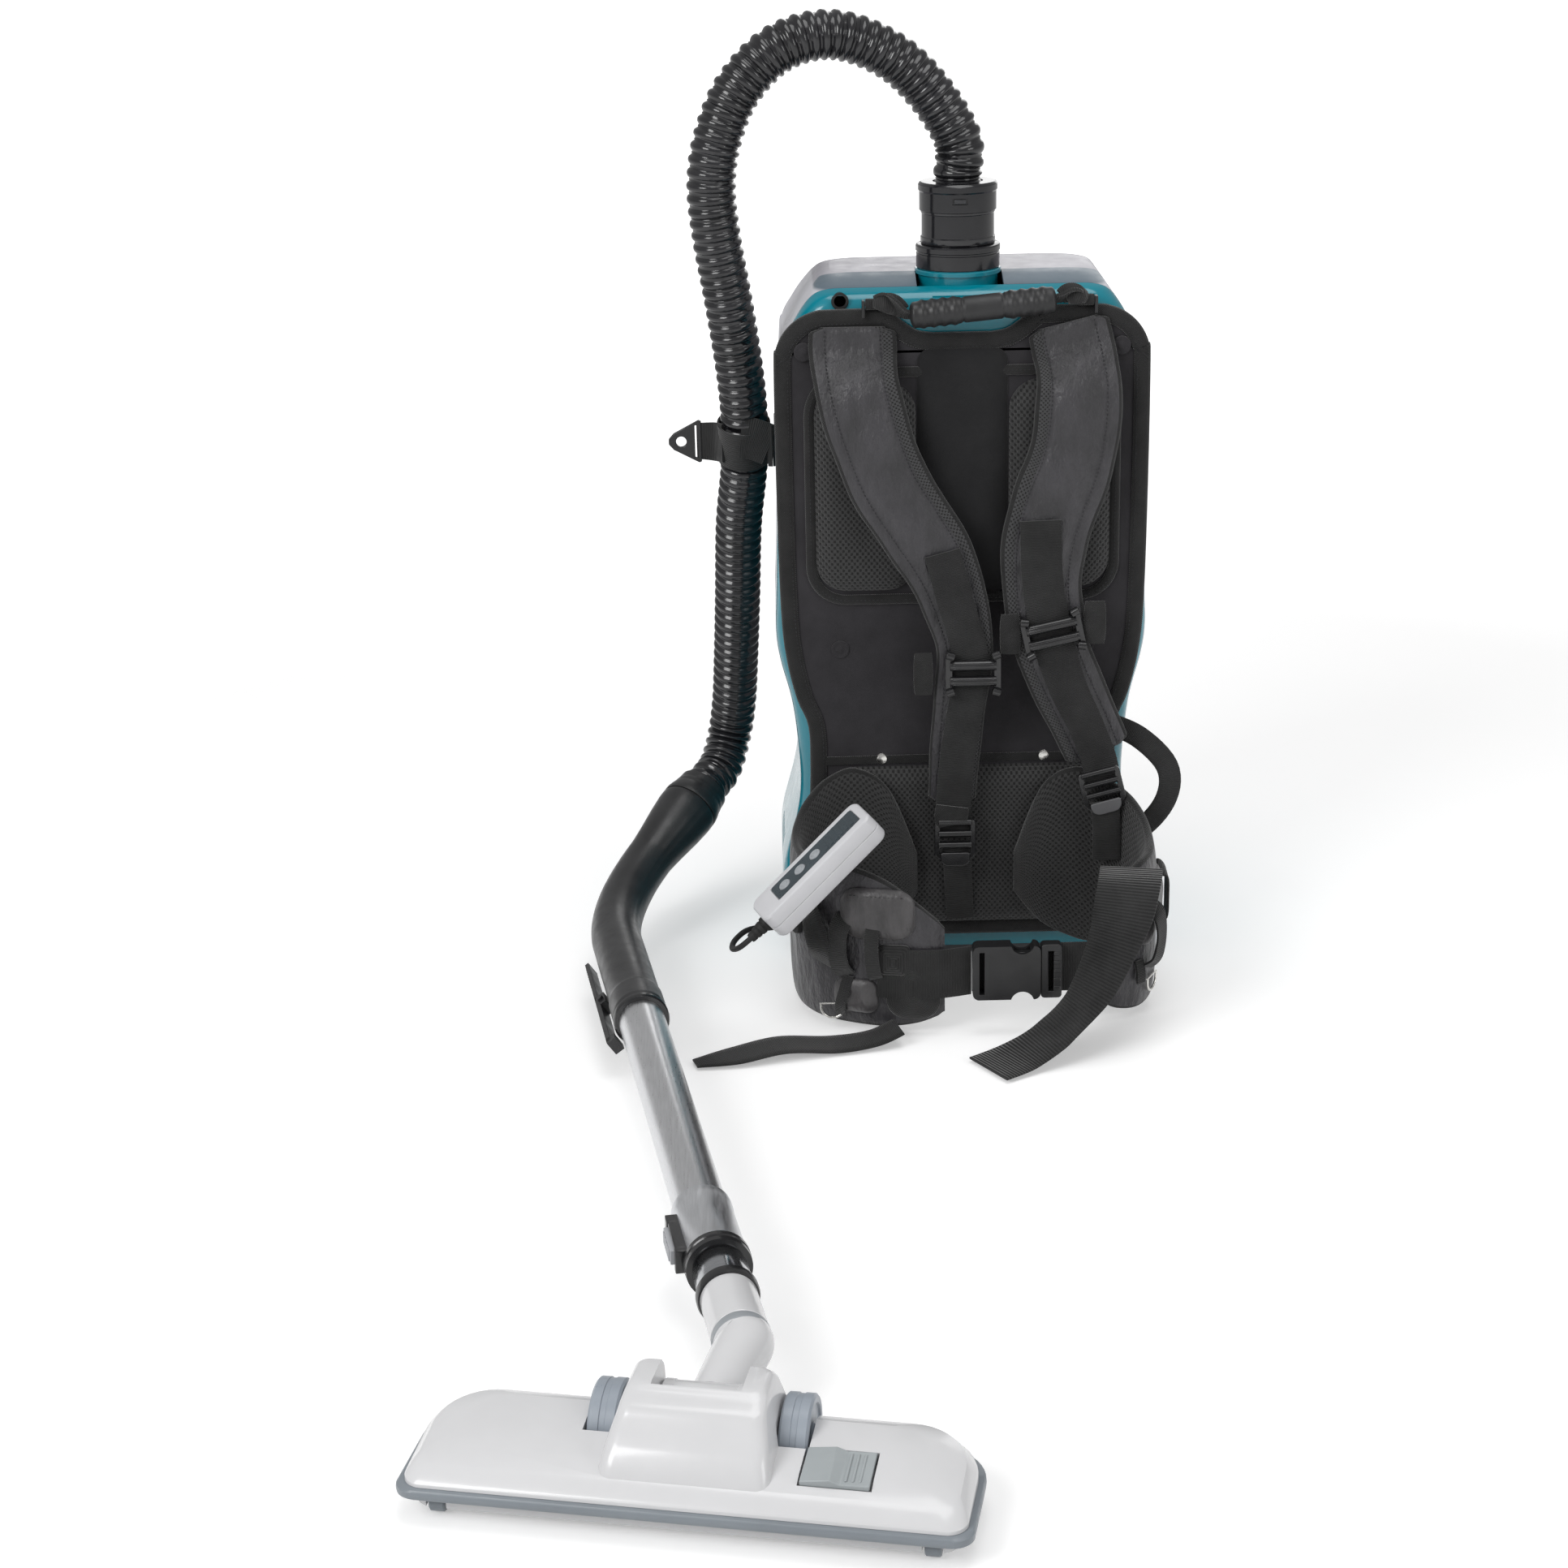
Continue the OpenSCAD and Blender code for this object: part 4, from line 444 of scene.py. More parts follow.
def housing_form(t):
    """Rounded rectangles stacked up the level line, drawn in by t: half width h - t,
    back edge -95 + step + t, front edge 95 - step - t."""
    rows = []
    for z, h, back, front in level_line:
        b, f = -95 + back + t, 95 - front - t
        z = z - t if z > 480 else z
        q = round_rect(-h + t, h - t, b, f, min(18, (f - b) / 3), min(30, (f - b) / 3))
        rows.append(level(q, z))
    return solid(rows)


def upright(outline, y):
    """An outline in X and Z set upright at y."""
    return np.column_stack([outline[:, 0], np.full(len(outline), y), outline[:, 1]])


def side_slab(points):
    """A slab 400 mm wide with the given outline in Y and Z."""
    p = np.array(points, float)[::-1]
    return solid([np.column_stack([np.full(len(p), x), p]) for x in (-200, 200)])


# Both hinges turn about lines along X at hinge_y, each on two sets of knuckles.
hinge_y, knuckle_half, knuckle_r = 100, 9, 4.4
cover_hinge_x, cover_hinge_z = 62, 184
door_hinge_x, door_hinge_z = 70, 16


def knuckle(x, z):
    """Round hinge knuckle centred on x, on a hinge line at height z."""
    return rod((x - knuckle_half, hinge_y, z), (x + knuckle_half, hinge_y, z), knuckle_r, 24)


port_foot = (0, -50, 0)


def port_rod(low, high, radius, n=64):
    """Round bar on the hose port's axis between two heights."""
    return rod((0, port_foot[1], low), (0, port_foot[1], high), radius, n)


cover_side = [(5, 189), (5, 330), (-20, 400), (-70, 500), (-81, 546.5), (-81, 700), (200, 700),
              (200, 189)]
louvres = [block((s * 146.5 - 15, -26 + 9 * i, 38), (s * 146.5 + 15, -22 + 9 * i, 82))
           for s in (-1, 1) for i in range(7)]
shell = carved(housing_form(0), housing_form(3),
               side_slab(cover_side),
               block((-96.4, 87, 21.6), (96.4, 107, 164.4)), *louvres,
               ("UNION", port_rod(515, 557, 31.2)),
               ("UNION", block((-22, -92, 515), (22, -60, 541))),
               port_rod(510, 580, 26.95),
               rod((-93, -104, 539), (-93, -84, 539), 5.8, 32))
teal_mat = moulded_plastic("housing_teal_gloss", (0.0, 0.205, 0.27), 0.2, 0.00002, 700, 0.05, 0.5,
                           0.35)
placed("rear_housing_shell", shell, "pack", teal_mat, 28, ["rear_housing"])

ears = [(x + k * 19, z) for x0, z in ((cover_hinge_x, cover_hinge_z), (door_hinge_x, door_hinge_z))
        for x in (-x0, x0) for k in (-1, 1)]
ear_parts = [knuckle(x, z) for x, z in ears]
ear_parts += [block((x - knuckle_half, 94, z - knuckle_r),
                    (x + knuckle_half, hinge_y, z + knuckle_r)) for x, z in ears]


def joined(meshes):
    """Several meshes as one."""
    work = bmesh.new()
    for part in meshes:
        work.from_mesh(part)
    mesh = bpy.data.meshes.new("joined")
    work.to_mesh(mesh)
    work.free()
    for part in meshes:
        bpy.data.meshes.remove(part)
    return mesh


def edged(obj, width, segments=2, angle=35):
    """Rounds a piece's sharp edges by so many millimetres."""
    mod = obj.modifiers.new("rounded_edges", "BEVEL")
    mod.width, mod.segments, mod.limit_method = width * MM, segments, "ANGLE"
    mod.angle_limit = math.radians(angle)
    return obj


edged(placed("housing_hinge_ears", joined(ear_parts), "pack", teal_mat, 30), 0.6)


def refinish(mat, *nodes):
    """Gives carried-over solids this material in every slot."""
    for node in nodes:
        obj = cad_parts[node]
        if not obj.material_slots:
            obj.data.materials.append(mat)
        for slot in obj.material_slots:
            slot.material = mat


# A rubber grommet lines the wiring hole.
grommet_profile = [(4.6, -95.9), (6.3, -95.9), (6.7, -95.5), (6.3, -94.9), (5.6, -94.8),
                   (5.4, -92), (4.6, -92)]


def turned(name, profile, centre, axis, body, mat, n=64, sharp=30, replaces=()):
    """A closed profile of (radius, height) turned about an axis through the centre:
    point = centre + radius (cos a, sin a) + height x axis. The profile runs
    counter-clockwise with the radius to the right and the height up."""
    t = unit(np.asarray(axis, float))
    side = unit(np.cross(t, (0.0, 0.0, 1.0) if abs(t[2]) < 0.9 else (0.0, 1.0, 0.0)))
    circle = ring(n) @ np.stack([side, np.cross(t, side)])
    p = np.array(profile, float)
    grid = np.asarray(centre, float) + p[:, None, :1] * circle + p[:, None, 1:] * t
    return skinned(name, grid, body, mat, sharp, loop=True, caps=False, replaces=replaces)


rubber_mat = moulded_plastic("rubber_black", (0.016, 0.016, 0.016), 0.62, 0.00006, 1500, 0.25,
                             0.35)
turned("wiring_grommet", [(r, -y) for r, y in grommet_profile[::-1]], (-93, 0, 539), outward,
       "pack", rubber_mat, 32)

# ---------------------------------------------------------------------------
# Front cover: light grey shell over the dust bag, hinged above the battery door and
# shut by a latch on top. Above 546.5 mm its colour holds painted shade: a darker grey on top and a
# dark blue-grey on the side towards the wearer.
cover_in = [(y + 0.4, z + (0.4 if z == 189 else 0)) for y, z in cover_side[:5]] + [(-80.6, 700),
                                                                                   (200, 700),
                                                                                   (200, 189.4)]
groove = [rod((x, 96.4, 225), (x, 96.4, 470), 2.6, 12) for x in (-84, 84)]
cover = carved(housing_form(0), ("INTERSECT", side_slab(cover_in)), housing_form(3),
               port_rod(400, 600, 33.5),
               block((-33.5, -100, 400), (33.5, -50, 600)), *groove)
cover_grey = (0.56, 0.56, 0.60)
cover_mat = moulded_plastic("cover_light_grey", cover_grey, 0.34, 0.00001, 600, 0.012)
tree = cover_mat.node_tree
shader = tree.nodes["Principled BSDF"]
sides = shader.inputs["Base Color"].links[0].from_socket
apart = tree.nodes.new("ShaderNodeSeparateXYZ")
tree.links.new(wired(tree, "TexCoord", {}, "Object"), apart.inputs[0])
# Painted shade: above 546.5 mm the cover is coloured a darker grey, and a dark blue-grey towards
# the wearer, for how the light falls on its top.
painted_shade_blue_grey = tinted(tree, apart.outputs["Y"], (0.10, 0.14, 0.175, 1), (0.16, 0.2, 0.235, 1), (0.0, 1.0))
top_shade_colours = tinted(tree, apart.outputs["Y"], painted_shade_blue_grey, (0.34, 0.33, 0.37, 1), (-0.0505, -0.0495))
sides_and_shaded_top = tinted(tree, apart.outputs["Z"], sides, top_shade_colours, (0.5445, 0.5465))
tree.links.new(sides_and_shaded_top, shader.inputs["Base Color"])
placed("front_cover_shell", cover, "front_cover", cover_mat, 28, ["front_cover"])
hinge_pair = (-cover_hinge_x, cover_hinge_x)
knuckles = [knuckle(x, cover_hinge_z) for x in hinge_pair]
knuckles += [block((x - 9, 93, 189.6), (x + 9, 100.4, 201.6)) for x in hinge_pair]
knuckles += [block((x - 9, 99, 184), (x + 9, 104.4, 193)) for x in hinge_pair]
knuckles += [block((x * 22.4 - 2, 24, 548), (x * 22.4 + 2, 32, 561)) for x in (-1, 1)]
knuckles += [rod((-22.5, 28, 558), (22.5, 28, 558), 1.5, 16)]
edged(placed("cover_knuckles", joined(knuckles), "front_cover", cover_mat, 30), 0.5)

latch_mat = moulded_plastic("latch_charcoal", (0.045, 0.047, 0.05), 0.38, 0.00005, 1100, 0.12)
latch = [block((-20, -12, 554.3), (20, 24, 557.5)), rod((-20, 28, 558), (20, 28, 558), 3.4, 24),
         block((-20, 18, 554.3), (20, 28, 558.3))]
latch += [block((-16, -9 + 4 * i, 557.2), (16, -7.4 + 4 * i, 558.3)) for i in range(5)]
edged(placed("cover_latch_flap", joined(latch), "cover_latch", latch_mat, 30, ["cover_latch"]),
      0.6)

# ---------------------------------------------------------------------------
# Battery door: charcoal plate in the lower front with grip ribs, on a hinge at the
# foot, shut by a sliding catch. Turned steel pins run through both hinges.
door_mat = moulded_plastic("door_charcoal", (0.07, 0.072, 0.078), 0.4, 0.00006, 1100, 0.1)
outline = round_rect(-96, 96, 22, 164, 6, 6)
door = carved(solid([upright(outline, y) for y in (95, 91.6)]),
              block((-18.4, 85, 140.6), (18.4, 105, 155.4)))
ribs = [block((-70, 94.5, 52 + 11 * i), (70, 96.2, 55.5 + 11 * i)) for i in range(7)]
hinge_pair = (-door_hinge_x, door_hinge_x)
ribs += [knuckle(x, door_hinge_z) for x in hinge_pair]
ribs += [block((x - 9, 92.6, 23), (x + 9, 99, 33)) for x in hinge_pair]
ribs += [block((x - 9, 99, 16), (x + 9, 104.4, 28)) for x in hinge_pair]
edged(placed("battery_door_plate", joined([door, *ribs]), "battery_door", door_mat, 30,
             ["battery_door"]), 0.5)
refinish(latch_mat, "battery_door_latch")


def drawn_metal(tree, given):
    """Drawn grain: noise stretched along one axis moves the colour, the roughness and
    a very fine relief."""
    along = wired(tree, "Mapping", {"Vector": given["Place"], "Scale": given["Stretch"]}, "Vector")
    lines = noise_of(tree, along, 1.0, 6, 0.6)
    return {"Base Color": tinted(tree, lines, given["Dark"], given["Light"]),
            "Roughness": ranged(tree, lines, given["Smooth"], given["Rough"]),
            "Normal": relief(tree, lines, given["Depth"])}


drawn = effect(drawn_metal, Place="Vector", Stretch="Vector", Dark="Color", Light="Color",
               Smooth="Float", Rough="Float", Depth="Float")


def brushed_metal(name, colour, rough, stretch, depth=0.00001):
    """Metal with drawn grain on Object coordinates, stretch waves to the metre."""
    mat, tree, shader = finish_material(name, colour, rough, 1.0)
    spread(drawn, tree, shader, Place=wired(tree, "TexCoord", {}, "Object"), Stretch=stretch,
           Dark=shade(colour, 0.93), Light=shade(colour, 1.05), Smooth=rough * 0.85,
           Rough=rough * 1.2, Depth=depth)
    return mat


steel_mat = brushed_metal("steel_nickel", (0.74, 0.73, 0.7), 0.24, (2500, 300, 300))
refinish(steel_mat, "hinge_pins")

# ---------------------------------------------------------------------------
# Base plate with a battery shelf, and four rubber feet pressed into it.
refinish(latch_mat, "base_plate")
refinish(rubber_mat, "rubber_feet")

# ---------------------------------------------------------------------------
# Inside: motor deck, motor can with its core and fan, pleated filter, paper bag,
# two batteries and the control board. They show when the cover or door is open.
inside_mat = moulded_plastic("inside_dark_plastic", (0.03, 0.031, 0.034), 0.5, 0.00006, 900, 0.15)
refinish(inside_mat, "motor_deck", "motor_housing", "batteries")
refinish(brushed_metal("copper_windings", (0.72, 0.36, 0.16), 0.35, (150, 150, 4000), 0.0001),
         "motor_core")
refinish(brushed_metal("fan_aluminium", (0.8, 0.8, 0.82), 0.3, (1200, 1200, 200)), "impeller")


def paper_fibre(tree, given):
    """Fibre flecks in the colour and soft creases in relief."""
    fleck = noise_of(tree, given["Place"], 900, 4)
    crease = noise_of(tree, given["Place"], given["Creases"], 5)
    return {"Base Color": tinted(tree, fleck, given["Dark"], given["Light"]),
            "Normal": relief(tree, crease, given["Depth"])}


fibres = effect(paper_fibre, Place="Vector", Dark="Color", Light="Color", Creases="Float",
                Depth="Float")


def paper(name, colour, depth, creases):
    """Paper on Object coordinates, with that many creases to the metre."""
    mat, tree, shader = finish_material(name, colour, 0.85, gloss=0.2)
    spread(fibres, tree, shader, Place=wired(tree, "TexCoord", {}, "Object"),
           Dark=shade(colour, 0.9), Light=shade(colour), Creases=creases, Depth=depth)
    return mat


refinish(paper("filter_paper", (0.8, 0.8, 0.76), 0.0002, 600), "hepa_filter")
bag_levels = np.linspace(0, 1, 60)
full = np.sin(np.radians(20 + 140 * bag_levels))
bag_rows = []
for s, f in zip(bag_levels, full):
    h, d, y = 95 * (0.55 + 0.45 * f), 59 * (0.5 + 0.5 * f), -20 - 12 * s
    q = round_rect(-h, h, y - d, y + d, d * 0.6, d * 0.6, 10)
    a = np.arange(len(q))
    pull = 1 - 0.03 * np.sin(a * 1.9 + 7 * s) * np.sin(9 * s * math.pi) * np.sin(math.pi * s)
    mid = q.mean(0)
    bag_rows.append(level(mid + (q - mid) * pull[:, None], 209.3 + 267 * s))
bag = skinned("dust_bag_paper", bag_rows, "pack", paper("bag_paper", (0.74, 0.66, 0.5), 0.0009,
                                                        60), 50, replaces=["dust_bag"])
card = carved(block((-45, -80, 477.3), (45, -20, 480.3)), port_rod(470, 490, 26.95, 48))
edged(placed("dust_bag_card", card, "pack", paper("bag_card", (0.62, 0.52, 0.36), 0.0002, 300),
             30), 0.4)
refinish(moulded_plastic("circuit_board_green", (0.02, 0.12, 0.06), 0.4, 0.0001, 1200, 0.3),
         "control_board")

# ---------------------------------------------------------------------------
# Hose port: black collar standing on the housing's boss, and the hose's turning
# end that clicks into it, with a latch window in its upper ring.
collar_mat = moulded_plastic("collar_gloss_black", (0.011, 0.011, 0.013), 0.13, 0.00001, 600, 0.2,
                             0.62)
turned("hose_port", [(24.45, 474), (26.65, 474), (26.65, 557), (31.9, 557), (32.4, 557.6),
                     (32.4, 568), (31.9, 568.4), (31.9, 569.6), (32.8, 570.2), (32.8, 573.6),
                     (32.2, 574.6), (31.4, 575), (24.45, 575)], port_foot, upward, "pack",
       collar_mat, 96, replaces=["inlet_port"])
collar = turned("hose_end_collar", [(15.8, 557.4), (24.4, 557.4), (24.4, 575.4), (28.6, 575.4),
                                    (28.9, 576), (28.9, 580.5), (28.1, 581.2), (28.0, 598.4),
                                    (28.6, 599), (28.7, 600.4), (29.8, 601), (29.8, 615),
                                    (30.2, 615.6), (30.6, 616.2), (30.6, 620.2), (29.6, 621.8),
                                    (28.6, 622.4), (19.4, 622.4), (19.4, 610.4), (15.8, 610.4)],
                port_foot, upward, "hose_collar", collar_mat, 96, replaces=["hose_collar"])
collar.data = carved(collar.data.copy(), block((-6, -82, 607.4), (6, -77.6, 612.4)))
collar.data.shade_smooth()
collar.data.set_sharp_from_angle(angle=math.radians(30))
edged(placed("hose_latch_key", block((-4.6, -79.6, 608), (4.6, -77.2, 611.4)), "hose_collar",
             inside_mat), 0.5)
seat_ring = [(31.2, 553), (33.4, 553), (33.4, 555.6), (32.9, 556.4), (31.2, 556.6)]
turned("port_seat_ring", seat_ring, port_foot, upward, "pack", teal_mat, 96)

# ---------------------------------------------------------------------------
# Hose band: black webbing wrapped round the hose and sewn to the housing's side,
# with a short tail that ends in a triangular plastic ring.


def waves(tree, length, rate):
    """sin(length x rate), where the rate is 2 pi over the period."""
    angle = wired(tree, "Math", {0: length, 1: rate}, operation="MULTIPLY")
    return wired(tree, "Math", {0: angle}, operation="SINE")


def cloth_axes(tree, on):
    """Lengths across and along a cloth with the size of a millimetre in them: from the
    UV map, which is in millimetres, or from Object X and Z, which are in metres."""
    by_map = on == "weave"
    source = (wired(tree, "UVMap", {}, "UV", uv_map="weave") if by_map
              else wired(tree, "TexCoord", {}, "Object"))
    apart = tree.nodes.new("ShaderNodeSeparateXYZ")
    tree.links.new(source, apart.inputs[0])
    return apart.outputs["X"], apart.outputs["Y" if by_map else "Z"], 1.0 if by_map else 0.001


def thread_weave(tree, given):
    """Threads across and along, sin(u) sin(v) for a plain weave or the cross ribs alone
    for webbing, in relief and in colour, with worn lighter patches."""
    ribs = waves(tree, given["V"], given["Rate_V"])
    both = wired(tree, "Math", {0: ribs, 1: waves(tree, given["U"], given["Rate_U"])},
                 operation="MULTIPLY")
    threads = wired(tree, "Mix", {"Factor": given["Plain"], "A": ribs, "B": both}, "Result")
    height = ranged(tree, threads, 0.0, 1.0, (-1.0, 1.0))
    worn = ranged(tree, noise_of(tree, given["Place"], given["Wear"], 5, 0.6), 0.0, 0.6)
    mixed = wired(tree, "Math", {0: height, 1: 0.45, 2: worn}, operation="MULTIPLY_ADD")
    return {"Base Color": tinted(tree, mixed, given["Dark"], given["Light"], (0.1, 0.95)),
            "Normal": relief(tree, height, given["Depth"])}


weave = effect(thread_weave, Place="Vector", U="Float", V="Float", Rate_U="Float", Rate_V="Float",
               Plain="Float", Wear="Float", Dark="Color", Light="Color", Depth="Float")


def woven(name, dark, light, across, along, rough=0.75, sheen=0.25, depth=0.00025, on="weave",
          wear=30.0, plain=False):
    """Woven cloth with threads every so many millimetres across and along."""
    mat, tree, shader = finish_material(name, dark, rough, gloss=0.3)
    shader.inputs["Sheen Weight"].default_value = sheen
    shader.inputs["Sheen Roughness"].default_value = 0.4
    u, v, mm = cloth_axes(tree, on)
    spread(weave, tree, shader, Place=wired(tree, "TexCoord", {}, "Object"), U=u, V=v,
           Rate_U=2 * math.pi / (across * mm), Rate_V=2 * math.pi / (along * mm),
           Plain=float(plain), Wear=wear, Dark=shade(dark), Light=shade(light), Depth=depth)
    return mat


webbing_mat = woven("webbing_black", (0.008, 0.008, 0.008), (0.028, 0.028, 0.028), 2.4, 1.3, 0.7,
                    0.3, 0.0003)


def ribbon(name, path, facing, body, mat, thick=1.6, steps=6, replaces=(), curl=0.0):
    """Webbing along a path of (x, y, z, width): a flat band with rounded selvages,
    bowed by curl across its width."""
    p = smooth(path, steps)
    w = p[:, 3, None] / 2
    s = np.array([-1, -0.96, -0.6, 0, 0.6, 0.96, 1, 1, 0.96, 0.6, 0, -0.6, -0.96, -1])
    e = thick / 2 * np.array([-0.5, -1, -1, -1, -1, -1, -0.5, 0.5, 1, 1, 1, 1, 1, 0.5])
    section = np.stack([w * s, e + curl * (1 - s ** 2) * np.ones_like(w)], -1)
    return skinned(name, carried(p, section, facing), body, mat, 50, replaces=replaces)


around = np.linspace(0, 2 * math.pi, 60, endpoint=False)
tilt = math.radians(19)
hose_axis = np.array([0, -math.sin(tilt), math.cos(tilt)])
cross_a, cross_b = np.array([1.0, 0, 0]), np.array([0, math.cos(tilt), math.sin(tilt)])
away = np.cos(around)[:, None] * cross_a + np.sin(around)[:, None] * cross_b
band_mid = np.array([-169.5, -38, 421])
band_rows = []
for r, h in ((19.7, -16.2), (21.2, -16.5), (21.2, 16.5), (19.7, 16.2)):
    band_rows.append(band_mid + r * away + h * hose_axis)
skinned("hose_band_loop", band_rows, "pack", webbing_mat, 40, loop=True, caps=False,
               replaces=["hose_band"])
ribbon("hose_band_wing", [(-150.5, -62, 421, 33), (-146.5, -63, 421, 33), (-144.8, -58, 421, 33),
                          (-144.8, -40, 421, 33), (-144.8, -16, 421, 33)], (-1, -0.3, 0), "pack",
       webbing_mat)
ribbon("hose_band_front", [(-172, -61.2, 428, 33), (-164, -61.6, 427, 33), (-155, -62.2, 424, 33),
                           (-149, -62.6, 421.5, 33)], outward, "pack", webbing_mat)
ribbon("hose_band_tail", [(-186, -50, 421, 31), (-192, -43, 421, 31), (-199, -40, 421, 30),
                          (-207, -38.6, 421, 29)], outward, "pack", webbing_mat, 2.6)
tri = np.array([(0, 2), (4, 6.5), (24, 17), (26, 16.4), (26, -16.4), (24, -17), (4, -6.5),
                (0, -2)])[::-1]
hook = carved(solid([upright(tri + (-229.5, 421), y) for y in (-37, -41)]),
              rod((-219.5, -45, 421), (-219.5, -33, 421), 4.2, 28),
              block((-208.6, -45, 408), (-206.2, -33, 434)))
buckle_mat = moulded_plastic("buckle_black", (0.013, 0.013, 0.014), 0.32, 0.00004, 1300, 0.15, 0.5)
edged(placed("hose_band_ring", hook, "pack", buckle_mat, 30), 0.7)

# ---------------------------------------------------------------------------
# Back board: stiff plate covered in black polyester, its edge bound with a sewn
# tape. Snap studs and two nickel rivets hold the cover cloth to the plate.
board_half = [(113, 20), (122, 60), (122, 130), (121, 165), (122, 200), (131, 224), (138.5, 258),
              (142, 300), (143.5, 400)]
board_half += [(103.5 + 40 * math.cos(a), 492 + 40 * math.sin(a))
               for a in np.radians(np.arange(0, 91, 15))]
board_half += [(62, 532), (54, 529), (44, 521), (34, 515), (22, 513)]
half_line = smooth(board_half, 4)
board_line = np.vstack([half_line, (half_line * (-1, 1))[::-1]])


def drawn_in(line, d):
    """A closed outline moved inwards by d along its own normals."""
    a = unit(np.roll(line, -1, 0) - np.roll(line, 1, 0))
    return line + d * np.stack([-a[:, 1], a[:, 0]], 1)


def on_board(line, y):
    """An outline in X and Z set upright at y; reversed, so that it turns
    counter-clockwise about +Y."""
    return upright(line, y)[::-1]


board_cloth = woven("board_cloth_black", (0.017, 0.016, 0.018), (0.036, 0.034, 0.038), 1.1, 1.1,
                    0.82, 0.3, 0.00015, "object", 24, True)
board_rows = [on_board(drawn_in(board_line, d), y) for d, y in
              ((2, -95.2), (0.4, -95.6), (0, -97), (0, -99.6), (0.6, -100.7), (2.2, -101.1))]
skinned("back_board_cloth", board_rows[::-1], "pack", board_cloth, 60, replaces=["back_panel"])
binding_mat = woven("binding_tape_black", (0.006, 0.006, 0.006), (0.022, 0.022, 0.022), 1.6, 1.6,
                    0.7, 0.35, 0.00035, "weave", 40, True)
tape = [(11.6, -101.0), (11.8, -102.2), (11.0, -102.9), (6, -103.2), (1.5, -102.9), (-0.9, -101.6),
        (-1.4, -99), (-1.2, -96), (0.2, -95.1), (3, -97), (6, -100.5)]
skinned("back_board_binding", [on_board(drawn_in(board_line, d), y) for d, y in tape], "pack",
        binding_mat, 60, loop=True, caps=False)


def stitches(name, line, out, body, mat):
    """A seam: one flat six-sided thread for each stitch, laid along the line at
    equal steps, 0.7 of the pitch long, raised out of the cloth."""
    pitch, size = 3.2, 0.42
    p = np.asarray(line, float)
    count = max(2, int(arc_length(p)[-1] / pitch))
    at, _ = evenly(p, count * 2 + 1)
    mid, t = at[1::2], unit(at[2::2] - at[:-2:2])
    n = unit(np.broadcast_to(np.asarray(out, float), mid.shape))
    side = unit(np.cross(n, t))
    h = pitch * 0.35
    ends = np.array([(-h, 0, 0), (-h * 0.5, size, 0), (-h * 0.5, -size, 0), (h * 0.5, size, 0),
                     (h * 0.5, -size, 0), (h, 0, 0), (-h * 0.5, 0, size * 1.3),
                     (h * 0.5, 0, size * 1.3)])
    axes = np.stack([t, side, n], 1)
    v = mid[:, None] + ends @ axes
    base = [(0, 6, 1), (0, 2, 6), (1, 6, 7, 3), (2, 4, 7, 6), (3, 7, 5), (4, 5, 7), (0, 1, 3, 5),
            (0, 5, 4, 2)]
    faces = [tuple(k * 8 + i for i in f) for k in range(len(mid)) for f in base]
    return placed(name, mesh_of(name, v, faces), body, mat, 60)


thread_mat = moulded_plastic("sewing_thread_grey", (0.03, 0.03, 0.032), 0.6, 0.0001, 3000, 0.3,
                             0.3)
seam_line = drawn_in(board_line, 9.4)
stitches("back_board_seam", upright(seam_line, -103.0),
         outward, "pack", thread_mat)
# The carry handle hangs on a pin at each side, as (side, x).
handle_pins = ((-1, -68), (1, 94))
for s, x in handle_pins:
    ear = x + s * 7.6
    anchor = joined([block((ear - 1.2, -108.5, 528), (ear + 1.2, -101, 541)),
                     rod((ear, -105, 538), (x - s * 6, -105, 538), 1.5, 20)])
    edged(placed(f"handle_anchor_{'right' if s > 0 else 'left'}", anchor, "pack", buckle_mat), 0.4)
turned_stud = [(0.05, -101), (4.6, -101), (4.6, -102), (3.9, -103), (2.2, -103.5), (0.05, -103.6)]
snap = [(0.05, -101.1), (7.2, -101.1), (7.2, -101.8), (6.4, -102.3), (3.6, -102.1), (2.6, -102.6),
        (0.05, -102.7)]
for i, (x, z) in enumerate(((-65, 172), (65, 172))):
    turned(f"board_rivet_{i + 1}", [(r, -y) for r, y in turned_stud], (x, 0, z), outward, "pack",
           steel_mat, 32, replaces=["panel_studs"] if i == 0 else ())
for i, (x, z) in enumerate(((-97, 264), (97, 264), (-122, 502), (122, 502))):
    lift = 1.5 if z > 400 else 0
    turned(f"board_snap_{i + 1}", [(r, -y + lift) for r, y in snap], (x, 0, z), outward, "pack",
           board_cloth, 36)

# ---------------------------------------------------------------------------
# Back pads: foam under black spacer mesh, two beside a smooth spine panel and one
# at the small of the back. A bound rim frames the upper pair.


def spacer_mesh(tree, given):
    """Staggered oval holes, where sin(u) sin(v) is high, sunk in relief and painted near
    black as shade, between threads in the lighter colour."""
    both = wired(tree, "Math", {0: waves(tree, given["U"], given["Rate_U"]),
                                1: waves(tree, given["V"], given["Rate_V"])}, operation="MULTIPLY")
    # Painted shade: the holes take the dark colour, the threads the light one.
    thread = ranged(tree, both, 1.0, 0.0, (-0.05, 0.45))
    return {"Base Color": tinted(tree, thread, given["Dark"], given["Light"], (0.2, 0.9)),
            "Normal": relief(tree, thread, 0.0007)}


spacer = effect(spacer_mesh, U="Float", V="Float", Rate_U="Float", Rate_V="Float", Dark="Color",
                Light="Color")


